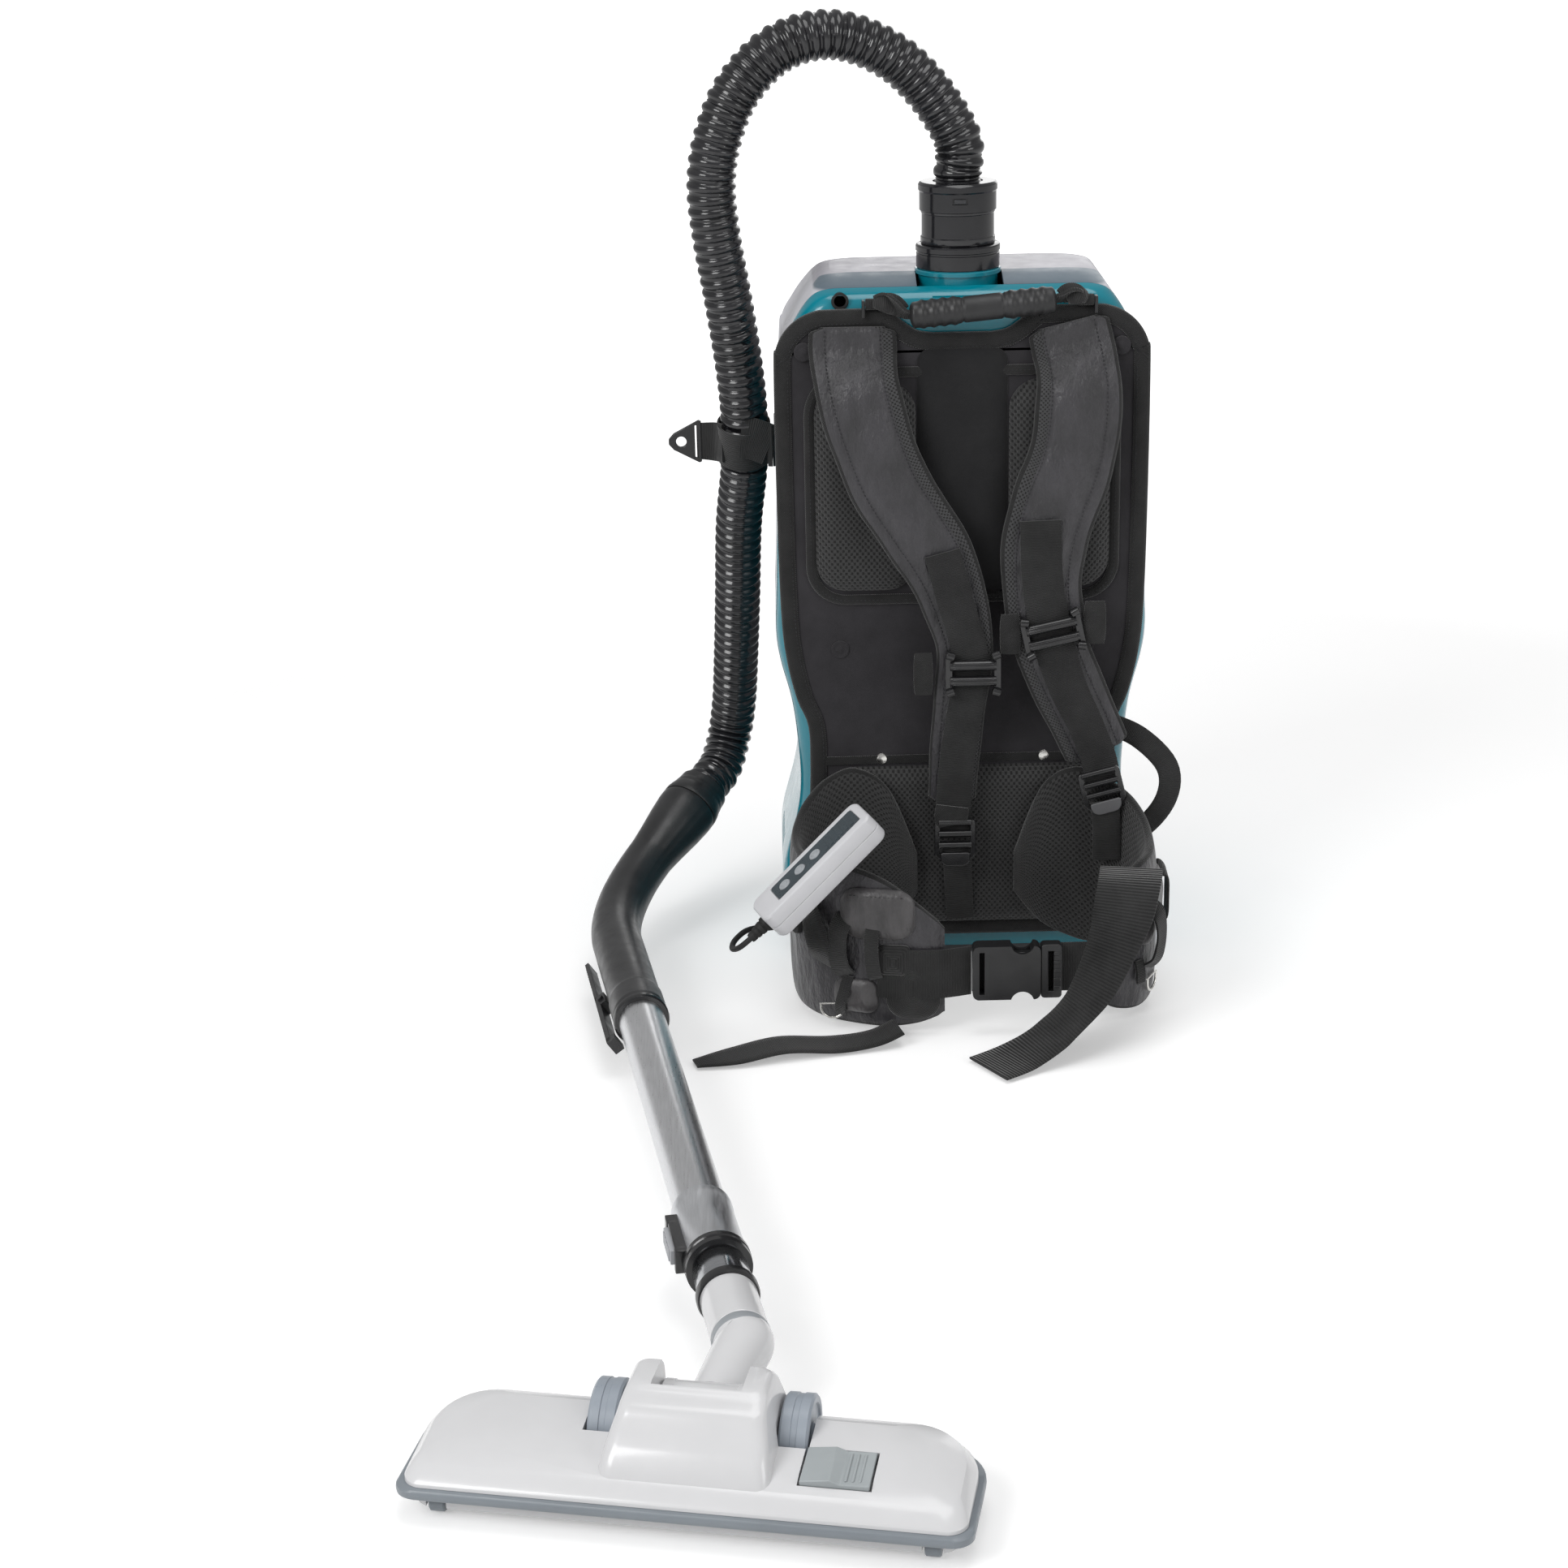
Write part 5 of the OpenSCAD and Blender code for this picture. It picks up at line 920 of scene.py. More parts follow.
def netting(name, dark, light, pitch_u, pitch_v, on="object"):
    """Spacer mesh with holes every pitch millimetres; the dark colour is painted shade in the
    holes.
    """
    mat, tree, shader = finish_material(name, dark, 0.7, gloss=0.35)
    shader.inputs["Sheen Weight"].default_value = 0.2
    u, v, mm = cloth_axes(tree, on)
    spread(spacer, tree, shader, U=u, V=v, Rate_U=2 * math.pi / (pitch_u * mm),
           Rate_V=2 * math.pi / (pitch_v * mm), Dark=shade(dark), Light=shade(light))
    return mat


mesh_mat = netting("spacer_mesh_black", (0.003, 0.003, 0.003), (0.034, 0.034, 0.034), 4.4, 5.2)


def pillow(name, x0, x1, z0, z1, corner, crown, mat, replaces=(), sink=0.0):
    """Foam pad: rounded rectangles drawn in by d, standing out of the board by
    crown (1 - (1 - d / reach)^2)^0.6, a shade lower at the middle by sink."""
    reach, base = 16.0, -101.3
    widest = min(x1 - x0, z1 - z0) / 2 - 2
    rows = []
    for d in np.concatenate([np.linspace(0, 1, 12) ** 2 * reach,
                             np.linspace(reach, widest, 8)[1:]]):
        rise = crown * (1 - (1 - min(d / reach, 1)) ** 2) ** 0.6
        rise -= sink * max(0, (d - reach) / max(widest - reach, 1)) ** 2
        q = round_rect(x0 + d, x1 - d, z0 + d, z1 - d, max(corner - d * 0.6, 1.5),
                       max(corner - d * 0.6, 1.5), 8)
        rows.append(on_board(q, base - rise))
    rows.insert(0, on_board(round_rect(x0 + 1, x1 - 1, z0 + 1, z1 - 1, corner, corner, 8),
                            base + 0.2))
    obj = skinned(name, rows[::-1], "pack", mat, 60, replaces=replaces)
    return obj


pillow("back_pad_left", -115, -36, 312, 478, 24, 11.4, mesh_mat, ["mesh_pads"], 1.5)
pillow("back_pad_right", 36, 115, 312, 478, 24, 11.4, mesh_mat, (), 1.5)
pillow("lumbar_pad", -107, 107, 30.5, 165.5, 20, 11.4, mesh_mat, (), 2)
spine_cloth = woven("spine_cloth_black", (0.009, 0.009, 0.01), (0.02, 0.02, 0.021), 1.0, 1.0, 0.9,
                    0.3, 0.00012, "object", 20, True)
pillow("spine_panel", -35, 35, 308, 503, 12, 6.0, spine_cloth, (), 1.0)
rim = np.array([round_rect(-118.5 - q, 118.5 + q, 305 - q, 485 + q, 27 + q, 34 + q, 10) for q in
                4.2 * np.cos(np.linspace(0, 2 * math.pi, 12, endpoint=False))])
rim_out = 2.6 * np.sin(np.linspace(0, 2 * math.pi, 12, endpoint=False))
rim_line = np.vstack([rim.mean(0), rim.mean(0)[:1]])
skinned("pad_rim", [on_board(q, -102.4 + y) for q, y in zip(rim, rim_out)], "pack", binding_mat,
        80, loop=True, caps=False)
stitches("pad_rim_seam", upright(rim_line, -104.9),
         outward, "pack", thread_mat)
ribbon("lumbar_tape", [(-112, -101.9, 171, 7), (-40, -102.1, 171.6, 7), (40, -102.1, 171.6, 7),
                       (112, -101.9, 171, 7)], outward, "pack", binding_mat, 1.2)

# ---------------------------------------------------------------------------
# Carry handle: hollow rubber-clad grip with four finger ribs at each end, on a
# webbing loop that is folded round two pins at the top of the board.
grip_mid = np.array([15.0, -113.0, 535.0])
tip = math.radians(-5)
grip_x = np.array([math.cos(tip), 0, -math.sin(tip)])
s = np.linspace(-56, 56, 225)
bump = np.zeros_like(s)
for sign in (-1, 1):
    for i in range(4):
        bump += 1.1 * np.exp(-((s - sign * (46 - i * 8)) / 2.3) ** 2)
bump -= 0.9 * np.exp(-((np.abs(s) - 15.5) / 1.1) ** 2)
end_round = np.sqrt(np.clip(1 - (np.clip(np.abs(s) - 52.5, 0, 3.5) / 3.6) ** 2, 0.05, 1))
outer = [(x, (9.9 + b) * e) for x, b, e in zip(s, bump, end_round)]
grip_profile = [(r, x) for x, r in outer] + [(4.5, 55.6), (4.5, -55.6)]
turned("carry_handle_grip", grip_profile, grip_mid, grip_x, "carry_handle",
       moulded_plastic("handle_rubber_black", (0.02, 0.02, 0.021), 0.42, 0.00006, 1400, 0.2, 0.45),
       44, 40, ["carry_handle"])
for s0, x in handle_pins:
    end = grip_mid + s0 * 55.5 * grip_x
    side = "right" if s0 > 0 else "left"
    ribbon(f"handle_webbing_{side}", [(x - s0 * 2, -107, 541.3, 11), (x - s0 * 9, -109, 543.2, 15),
                                      ((x + end[0]) / 2, -111.5, (543 + end[2]) / 2 + 2.2, 19),
                                      (end[0] + s0 * 4, end[1], end[2] + 1.2, 14),
                                      (end[0] - s0 * 8, end[1], end[2], 7)], (0.1, 0.55, 0.83),
           "carry_handle", webbing_mat, 2.4, replaces=["handle_loops"] if s0 < 0 else (), curl=1.4)
    turned(f"handle_barrel_{side}", [(1.55, -6), (4.1, -6), (4.3, -5.4), (4.3, 5.4), (4.1, 6),
                                     (1.55, 6)], (x, -105, 538), (1, 0, 0), "carry_handle",
           webbing_mat, 32)
    fold_s = np.linspace(0, 1, 40)
    fold = np.array([(x - s0 * 1 + (end[0] - x + s0 * 3) * q,
                      -110 - 3.2 * math.sin(2 * math.pi * q), 540.5 + 3.5 * math.sin(math.pi * q)
                      + (end[2] - 540.5) * q, 9 + 7 * math.sin(math.pi * q)) for q in fold_s[::5]])
    ribbon(f"handle_fold_{side}", fold, (0, -1, 0.25), "carry_handle", webbing_mat, 1.8, curl=1.8)

# ---------------------------------------------------------------------------
# Shoulder straps: foam in satin nylon with a strip of mesh on the inner side and
# bound edges. Each runs from the top of the board down over the chest.


def folds_with_painted_shade(tree, given):
    """Soft creases, noise drawn out along Z, in gloss and relief, with painted shade and
    highlight in the colour: darker in the hollows, lighter on the ridges.
    """
    tall = wired(tree, "Mapping", {"Vector": given["Place"], "Scale": (1.0, 1.0, 0.45)}, "Vector")
    # Painted shade and highlight: this noise also gives the relief, so the colour is dark in the
    # hollows and light on the ridges.
    folds = noise_of(tree, tall, 55, 6, 0.6)
    return {"Base Color": tinted(tree, folds, given["Dark"], given["Light"], (0.35, 0.62)),
            "Roughness": ranged(tree, folds, 0.5, 0.32),
            "Normal": relief(tree, folds, given["Depth"])}


creases_painted_shade = effect(folds_with_painted_shade, Place="Vector", Dark="Color", Light="Color", Depth="Float")


def nylon(name, dark, light, depth):
    """Satin nylon with soft creases, whose painted shade and highlight are in its colour,
    on Object coordinates.
    """
    mat, tree, shader = finish_material(name, dark, 0.42, gloss=0.6)
    shader.inputs["Sheen Weight"].default_value = 0.2
    spread(creases_painted_shade, tree, shader, Place=wired(tree, "TexCoord", {}, "Object"), Dark=shade(dark),
           Light=shade(light), Depth=depth)
    return mat


nylon_mat = nylon("strap_nylon_satin", (0.013, 0.0122, 0.0145), (0.03, 0.028, 0.033), 0.006)
pocket_mat = nylon("pocket_nylon_grey", (0.026, 0.0245, 0.0255), (0.06, 0.056, 0.058), 0.003)
strip_mat = netting("strap_mesh_strip", (0.006, 0.006, 0.006), (0.05, 0.05, 0.052), 3.0, 3.4,
                    "weave")


def bulged(x, power):
    """sign(x) |x| ^ power, which squares up a circle's sine and cosine."""
    return np.sign(x) * np.abs(x) ** power


def faced(obj, kind, *mats):
    """Gives the faces of kind 1, 2 and so on a material of their own."""
    for mat in mats:
        obj.data.materials.append(mat)
    obj.data.polygons.foreach_set("material_index", kind.astype(np.int32))


def padded_strap(name, rows, replaces, mesh_side):
    """Strap along (x, y, z, width, crown): superellipse section, 0.58 of the crown
    towards the wearer and 0.4 behind; puckers sin(2 pi v / 21 + 5u) fade from the
    edges, and its outermost columns are the binding."""
    p = smooth(rows, 12)
    a = np.linspace(0, 2 * math.pi, 72, endpoint=False)
    c, s = np.cos(a), np.sin(a)
    across, out = bulged(c, 0.7), bulged(s, 0.75)
    v = arc_length(p[:, :3])[:, None]
    w, crown = p[:, 3, None] / 2, p[:, 4, None]
    pucker = np.sin(2 * math.pi * v / 21 + 5 * across + 1.7 * np.sin(v / 47)) * (0.5 + 0.5
                                                                                 * np.sin(v / 33
                                                                                          + 1.3))
    seam = np.exp(-((np.abs(across) - 0.62) / 0.16) ** 2)
    h = np.where(out > 0, 0.58, 0.4) * crown * out - 0.13 * crown * seam * (out > 0)
    h = h + 0.55 * pucker * seam * (out > 0.2)
    side = w * across * (1 + 0.012 * np.sin(v / 9.0))
    taper = np.clip(np.minimum(v, v[-1] - v) / 4.0, 0.25, 1) ** 0.5
    obj = skinned(name, carried(p, np.stack([side * (0.5 + 0.5 * taper), h * taper], -1)), "pack",
                  nylon_mat, 70, replaces=replaces)
    col = np.arange(len(obj.data.polygons)) % 72
    mid = (across + np.roll(across, -1))[col] / 2
    kind = np.where(np.abs(mid) > 0.9, 1, 0)
    kind = np.where((mid * mesh_side > 0.66) & (kind == 0), 2, kind)
    faced(obj, kind, binding_mat, strip_mat)
    for k, at in enumerate((0.64, -0.64)):
        line = carried(p[2:-2], np.stack([(w * at)[2:-2], (0.46 * crown + 0.3)[2:-2]], -1))[:, 0]
        stitches(f"{name}_seam_{k + 1}", line, outward, "pack", thread_mat)
    return obj


strap_left = [[-84, -105, 521, 66, 4.4], [-84, -105.4, 503, 67, 5], [-83, -113.5, 488, 66, 9],
              [-80, -121, 470, 65, 13], [-72, -123.5, 440, 64, 14], [-58, -125, 403, 63, 13],
              [-38, -126, 370, 62, 14], [-20, -127, 340, 59, 12], [-8, -127, 308, 52, 9],
              [0, -127, 270, 45, 9], [-4, -126, 225, 42, 8], [-8, -124, 180, 40, 8],
              [-10, -122, 142, 38, 6]]
strap_right = [[80, -105, 521, 62, 4.4], [84, -105.4, 504, 63, 5], [87, -113.5, 488, 64, 9],
               [88, -121, 470, 66, 13], [86, -123.5, 440, 67, 14], [80, -125, 412, 68, 13],
               [70, -126, 385, 69, 11], [62, -127, 355, 67, 13], [60, -127, 325, 63, 10],
               [63, -127, 295, 61, 9], [69, -127, 268, 59, 9], [80, -126, 240, 57, 8],
               [95, -124, 207, 55, 8], [107, -122, 180, 52, 6]]
padded_strap("shoulder_strap_left", strap_left, ["shoulder_strap_left"], 1)
padded_strap("shoulder_strap_right", strap_right, ["shoulder_strap_right"], -1)

# ---------------------------------------------------------------------------
# Strap webbing: ribbed nylon sewn along each strap, through an H-shaped slider on
# the chest and a ladder-lock below, then down to the foot of the board.
ribbon("strap_webbing_left", [(-18, -136.2, 350, 28), (-8, -136, 312, 28), (3, -134, 272, 28),
                              (5, -133.6, 250, 28), (0, -132.6, 222, 28), (-6, -130.2, 180, 28),
                              (-9, -127.6, 142, 28), (-8, -125.5, 112, 28)], outward, "pack",
       webbing_mat, replaces=["strap_webbing"])
ribbon("strap_webbing_left_end", [(-7, -127, 108, 22.4), (-5, -118, 78, 22.4),
                                  (-3, -114, 38, 22.4)], outward, "pack", webbing_mat)
ribbon("strap_webbing_left_stub", [(-10, -129.6, 140, 26), (-11, -131.2, 132, 27),
                                   (-10, -131.8, 125, 24)], outward, "pack", binding_mat, 2.4)
ribbon("strap_webbing_right", [(58, -136.2, 374, 32), (60, -134.6, 325, 32), (68, -134, 280, 32),
                               (80, -132.4, 240, 30), (95, -130.4, 207, 28),
                               (106, -129.4, 178, 28), (109, -136.6, 160, 28)], outward, "pack",
       webbing_mat)
ribbon("strap_webbing_right_end", [(110, -143, 146, 22.4), (112, -141, 122, 22.4),
                                   (112, -141, 96, 22.4)], outward, "pack", webbing_mat)
ribbon("side_webbing_loop", [(112, -104.4, 200, 18), (140, -108, 188, 18), (163, -112, 164, 18),
                             (163, -114, 138, 18), (145, -111, 112, 18), (114, -104.4, 92, 18)],
       (0.1, -1, 0), "pack", webbing_mat, curl=0.8)
for k, (x, z, w) in enumerate(((-33, 252, 17), (35, 283, 16), (101, 291, 17))):
    ribbon(f"elastic_keeper_{k + 1}", [(x, -133 if k else -132.4, z + w, 13 + k),
                                       (x, -134.5, z + w / 2, 15 + k),
                                       (x, -134.5, z - w / 2, 15 + k), (x, -132.6, z - w, 13 + k)],
           outward, "pack", binding_mat, 1.8, curl=0.6)


def turned_about(mesh, centre, degrees, axis="Y"):
    """Turns a mesh about an axis through a centre given in millimetres."""
    c = Vector(centre) * MM
    mesh.transform(Matrix.Translation(c) @ Matrix.Rotation(math.radians(degrees), 4, axis)
                   @ Matrix.Translation(-c))
    return mesh


def slider(name, x, y, z, w, h, turn, replaces=()):
    """H-shaped slider: two posts with a round knob at each end, and two cross bars
    with grooves along them."""
    parts = []
    for s0 in (-1, 1):
        px = x + s0 * (w / 2 - 4)
        parts.append(block((px - 2.6, y - 1.6, z - h / 2 + 3), (px + 2.6, y + 2.2, z + h / 2 - 3)))
        parts += [rod((px + s0 * 2, y - 3, z + t0 * (h / 2 - 3)),
                      (px - s0 * 4, y - 3, z + t0 * (h / 2 - 5)), 3.2, 20) for t0 in (-1, 1)]
    for t0 in (-1, 1):
        parts.append(rod((x - w / 2 + 5, y - 0.6, z + t0 * 6.4),
                         (x + w / 2 - 5, y - 0.6, z + t0 * 6.4), 4.2, 24))
        parts += [rod((x - w / 2 + 7, y - 4.4, z + t0 * 6.4 + q),
                      (x + w / 2 - 7, y - 4.4, z + t0 * 6.4 + q), 0.6, 8) for q in (-1.8, 0, 1.8)]
    return edged(placed(name, turned_about(joined(parts), (x, y, z), turn), "pack", buckle_gloss,
                        40, replaces), 0.6)


def ladder(name, x, y, z, w, h, turn, tab_mat):
    """Ladder-lock: curved frame with three bars and a lifting tab below them."""
    frame_line = round_rect(x - w / 2, x + w / 2, z - h / 2, z + h / 2, 7, 4, 6)
    plate = solid([on_board(frame_line, y - 1.8), on_board(frame_line, y + 1.8)])
    holes = [block((x - w / 2 + 4.4, y - 9, z + c - 2.6), (x + w / 2 - 4.4, y + 9, z + c + 2.6))
             for c in (-h * 0.27, h * 0.02, h * 0.3)]
    bars = [rod((x - w / 2 + 3, y - 1.8, z + c), (x + w / 2 - 3, y - 1.8, z + c), 2.4, 20)
            for c in (-h * 0.125, h * 0.16, h * 0.44)]
    both = turned_about(joined([carved(plate, *holes), *bars]), (x, y, z), turn)
    edged(placed(name, both, "pack", buckle_gloss, 40), 0.6)
    lip = round_rect(x - w * 0.36, x + w * 0.36, z - h * 0.62, z - h * 0.3, w * 0.2, 2, 6)
    tab = solid([np.column_stack([lip[:, 0], y - 3.4 + 0.05 * (lip[:, 1] - z) + q,
                                  lip[:, 1]])[::-1] for q in (-1.1, 1.1)])
    edged(placed(f"{name}_tab", turned_about(tab, (x, y, z), turn), "pack", tab_mat, 40), 0.7)


buckle_gloss = moulded_plastic("buckle_gloss_black", (0.014, 0.014, 0.015), 0.2, 0.00003, 1300,
                               0.15, 0.62)
tab_grey = moulded_plastic("buckle_tab_grey", (0.1, 0.1, 0.105), 0.4, 0.00004, 1300, 0.1)
slider("strap_slider_left", 6, -137, 253, 46, 38, 0, ["strap_buckles"])
slider("strap_slider_right", 68, -137.6, 284, 50, 36, -12)
ladder("ladder_lock_left", -8, -129.4, 112, 33, 34, 0, buckle_gloss)
ladder("ladder_lock_right", 108, -139.6, 156, 34, 32, -14, tab_grey)

# ---------------------------------------------------------------------------
# Hip pads: two padded wings from the foot of the board round the hips, mesh inside
# and nylon outside, each with a zipped pocket, webbing loops and elastic.
wing_left = [[-38, -119.5, 62, 98, 8], [-60, -120, 36, 152, 11], [-86, -120.6, 22, 171, 11],
             [-109, -125, 16, 165, 11], [-125, -137, 10, 152, 12], [-134, -158, 7, 140, 12],
             [-135, -182, 5, 133, 12], [-129, -206, 4, 132, 13], [-115, -227, 4, 134, 13],
             [-93, -241, 4, 133, 13], [-68, -249, 4, 124, 12], [-44, -253, 8, 106, 10],
             [-24, -254, 16, 88, 7]]
wing_right = [[40, -119.5, 62, 98, 8], [62, -120, 36, 152, 11], [88, -120.6, 22, 168, 11],
              [112, -125, 16, 160, 11], [129, -137, 10, 150, 12], [138, -158, 7, 140, 12],
              [140, -182, 5, 132, 12], [137, -204, 4, 128, 13], [126, -223, 4, 124, 12],
              [109, -233, 8, 112, 10], [92, -236, 18, 94, 7]]


class Wing:
    """A hip pad's middle surface: points along it, the way out of its outer face and
    the arc length, so that pockets and loops can be laid on it."""

    def __init__(self, rows, sign):
        self.p = smooth(rows, 14)
        t = unit(np.gradient(self.p[:, :2], axis=0))
        self.out = sign * np.stack([t[:, 1], -t[:, 0], np.zeros(len(t))], 1)
        self.arc = arc_length(self.p[:, :2])
        self.end = self.arc[-1]

    def at(self, s, z, lift):
        """Point at s millimetres back from the tip, at height z, lifted off the outer face."""
        s = self.end - np.asarray(s, float)
        q = [np.interp(s, self.arc, self.p[:, k]) for k in (0, 1, 4)]
        n = np.stack([np.interp(s, self.arc, self.out[:, k]) for k in (0, 1)], -1)
        n = unit(n)
        off = (q[2] / 2 + lift)
        z = np.asarray(z, float) + 0 * s
        return np.stack([q[0] + n[..., 0] * off, q[1] + n[..., 1] * off, z], -1)


def wing_pad(name, rows, sign, replaces):
    """The padded wing: superellipse between zlow and zhigh, thick t, mesh on the
    inner face, binding on the rim, nylon outside with soft puckers."""
    wing = Wing(rows, sign)
    p, n = wing.p, 96
    a = np.linspace(0, 2 * math.pi, n, endpoint=False)
    c, s = np.cos(a), np.sin(a)
    up, thick = bulged(c, 0.55), bulged(s, 0.62)
    half = (p[:, 3, None] - p[:, 2, None]) / 2
    mid = (p[:, 3, None] + p[:, 2, None]) / 2
    arc = wing.arc[:, None]
    soft = 0.6 * np.sin(arc / 6.1 + 4 * up) * (1 - up ** 4) * (0.4 + 0.6 * np.sin(arc / 31) ** 2)
    nip = np.clip(np.minimum(arc, wing.end - arc) / 5.0, 0.3, 1) ** 0.5
    t = (p[:, 4, None] / 2 * thick + soft * (np.abs(thick) > 0.9) * 0.6) * nip
    grid = np.stack([p[:, 0, None] + wing.out[:, 0, None] * sign * t,
                     p[:, 1, None] + wing.out[:, 1, None] * sign * t,
                     mid + half * up * (0.92 + 0.08 * nip)], -1)
    obj = skinned(name, grid, "pack", nylon_mat, 70, replaces=replaces)
    col = np.arange(len(obj.data.polygons)) % n
    mid_up = (up + np.roll(up, -1))[col] / 2
    mid_th = (thick + np.roll(thick, -1))[col] / 2
    kind = np.where(mid_th * sign < 0, 2, 0)
    kind = np.where(np.abs(mid_up) > 0.955, 1, kind)
    faced(obj, kind, binding_mat, mesh_weave)
    return wing


def patch(name, wing, s0, s1, z0, z1, lift, mat, corner=8.0, ripple=0.0, full=0.35):
    """A pillow on the wing's outer face: rounded rectangles drawn in by d, rising to
    lift by (1 - (1 - d / reach)^2)^0.5, with ripples sin(s / 2.2) across it."""
    reach = full * min(s1 - s0, z1 - z0)
    widest = min(s1 - s0, z1 - z0) / 2 - 0.8
    rows = []
    for d in np.linspace(0, 1, 20) ** 1.4 * widest:
        r = max(corner - d * 0.5, 1.0)
        r = min(r, (min(s1 - s0, z1 - z0) / 2 - d) * 0.98)
        q = round_rect(s0 + d, s1 - d, z0 + d, z1 - d, r, r, 10)
        k = min(d / reach, 1)
        rise = lift * (1 - (1 - k) ** 2) ** 0.5
        wave = ripple * k * np.sin(q[:, 0] / 2.2 + 1.5 * np.sin(q[:, 1] / 7))
        rows.append(wing.at(q[:, 0], q[:, 1], 0.3 + rise + wave))
    flip = np.sign(np.cross(wing.at(10, 50, 0) - wing.at(0, 50, 0), (0, 0, 1.0)) @ wing.out[-1])
    rows = [r if flip > 0 else r[::-1] for r in rows]
    return skinned(name, rows, "pack", mat, 60)


def strip(name, wing, points, wide, thick):
    """Webbing laid on the wing along (s, z, lift)."""
    q = np.array(points, float)
    line = wing.at(q[:, 0], q[:, 1], q[:, 2])
    facing = unit(wing.at(q[:, 0], q[:, 1], q[:, 2] + 10) - line)
    rows = np.column_stack([line, np.full(len(line), wide)])
    f = smooth(np.column_stack([facing, facing[:, 0]]), 6)[:, :3]
    return ribbon(name, rows, f, "pack", webbing_mat, thick)


mesh_weave = netting("hip_mesh_black", (0.003, 0.003, 0.003), (0.03, 0.03, 0.03), 4.4, 5.2,
                     "weave")
left = wing_pad("hip_pad_left", wing_left, 1, ["hip_pad_left"])
right = wing_pad("hip_pad_right", wing_right, -1, ["hip_pad_right"])
elastic_mat = woven("elastic_ribbed", (0.007, 0.007, 0.007), (0.03, 0.03, 0.03), 2.0, 2.6, 0.75,
                    0.3, 0.0007)
patch("hip_pocket_left", left, 22, 78, 78, 119, 6.0, pocket_mat, 14, 0.35, full=0.3)
patch("hip_flap_left", left, 3, 44, 13, 66, 3.6, webbing_mat, 15)
patch("hip_elastic_left", left, 26, 50, 48, 74, 5.0, elastic_mat, 4)
patch("hip_gather_left", left, 50, 84, 16, 44, 4.2, pocket_mat, 9, 0.9)
strip("hip_loop_left_1", left, [(52, 90, 1), (53, 84, 8), (53, 68, 9), (52, 52, 6), (51, 46, 1.5)],
      11, 2.2)
strip("hip_loop_left_2", left, [(74, 94, 1), (76, 87, 9), (77, 72, 10.5), (76, 56, 8),
                                (74, 47, 1.5)], 16, 1.8)
strip("hip_loop_left_3", left, [(104, 96, 1.2), (98, 92, 8), (92, 78, 11), (90, 64, 9),
                                (92, 52, 1.2)], 22, 1.6)
strip("hip_tab_left", left, [(72, 46, 1.2), (74, 34, 5.6), (77, 22, 5.6), (78, 13, 2)], 9, 1.6)
patch("hip_pocket_right", right, 30, 92, 56, 108, 4.4, pocket_mat, 14, 0.5, full=0.3)
strip("hip_loop_right_1", right, [(12, 100, 1.5), (16, 99, 8), (21, 94, 12), (22, 85, 11),
                                  (18, 78, 2)], 14, 2.4)
strip("hip_loop_right_2", right, [(40, 88, 5), (44, 82, 10), (46, 64, 11), (44, 46, 9),
                                  (42, 38, 1.5)], 16, 1.8)
strip("hip_loop_right_3", right, [(84, 104, 2), (86, 98, 9), (87, 80, 10), (86, 62, 9),
                                  (84, 54, 1.5)], 17, 1.8)
strip("hip_tab_right", right, [(34, 46, 1.2), (34, 36, 3.5), (34, 28, 3.5)], 9, 1.6)
for wing, name, s_a, s_b, z in ((left, "left", 22, 78, 114), (right, "right", 30, 92, 103)):
    s = np.linspace(s_a + 8, s_b - 8, 24)
    stitches(f"hip_pocket_seam_{name}", wing.at(s, z, 4.6 if name == "left" else 3.4),
             wing.out[-20], "pack", thread_mat)

# ---------------------------------------------------------------------------
# Waist belt: 40 mm webbing from the left hip pad through the female half of a
# side-release buckle; the male half clips in from the right. Two loose tails.
ribbon("belt_webbing_left", [(-76, -256.4, 51, 40), (-50, -260.6, 51, 40), (-30, -261, 51, 40),
                             (-16, -258, 51, 40), (-4, -254, 51, 40)], outward, "pack",
       webbing_mat, 1.6, replaces=["belt_webbing"])
ribbon("belt_tail_wide", [(121, -229.2, 122, 48), (116, -252, 114, 48), (106, -273, 88, 48),
                          (84, -290, 46, 48), (56, -301, 18, 48), (30, -312, 5, 48),
                          (4, -328, 2, 48)], (0, 0, 1), "pack", elastic_mat, 1.8, 10)
ribbon("belt_tail_narrow", [(-60, -267.6, 11, 30), (-80, -272.6, 4, 30), (-110, -278, 2, 32),
                            (-150, -288, 7, 32), (-186, -297, 3, 30), (-216, -306, 1.5, 14)],
       (0, 0, 1), "pack", webbing_mat, 1.5, 10)
# The buckle: its left edge, the plane of its webbing and its middle height.
bx, by, bz = -3, -254, 51
front_line = round_rect(bx, bx + 52, bz - 22, bz + 22, 5, 5)
female = carved(solid([on_board(front_line, by - 8.6), on_board(front_line, by + 5.4)]),
                rod((bx + 38, by - 20, bz + 24.5), (bx + 38, by + 20, bz + 24.5), 9, 40),
                rod((bx + 38, by - 20, bz - 24.5), (bx + 38, by + 20, bz - 24.5), 9, 40),
                block((bx + 5, by - 20, bz - 17.4), (bx + 9, by + 20, bz + 17.4)),
                block((bx + 14, by - 5, bz - 18), (bx + 70, by + 2.4, bz + 18)))
edged(placed("belt_buckle_socket", female, "pack", buckle_mat, 35, ["belt_buckle_female"]), 0.9)
male_line = round_rect(49.3, 65.3, 29, 73, 3, 3)
male = [carved(solid([on_board(male_line, by - 6.6), on_board(male_line, by + 3.4)]),
               block((55, by - 20, 34.5), (59, by + 20, 67.5)))]
male += [block((15.3, by - 4.3, bz + s0 * 12 - 3.4), (50.5, by + 1.6, bz + s0 * 12 + 3.4))
         for s0 in (-1, 1)]
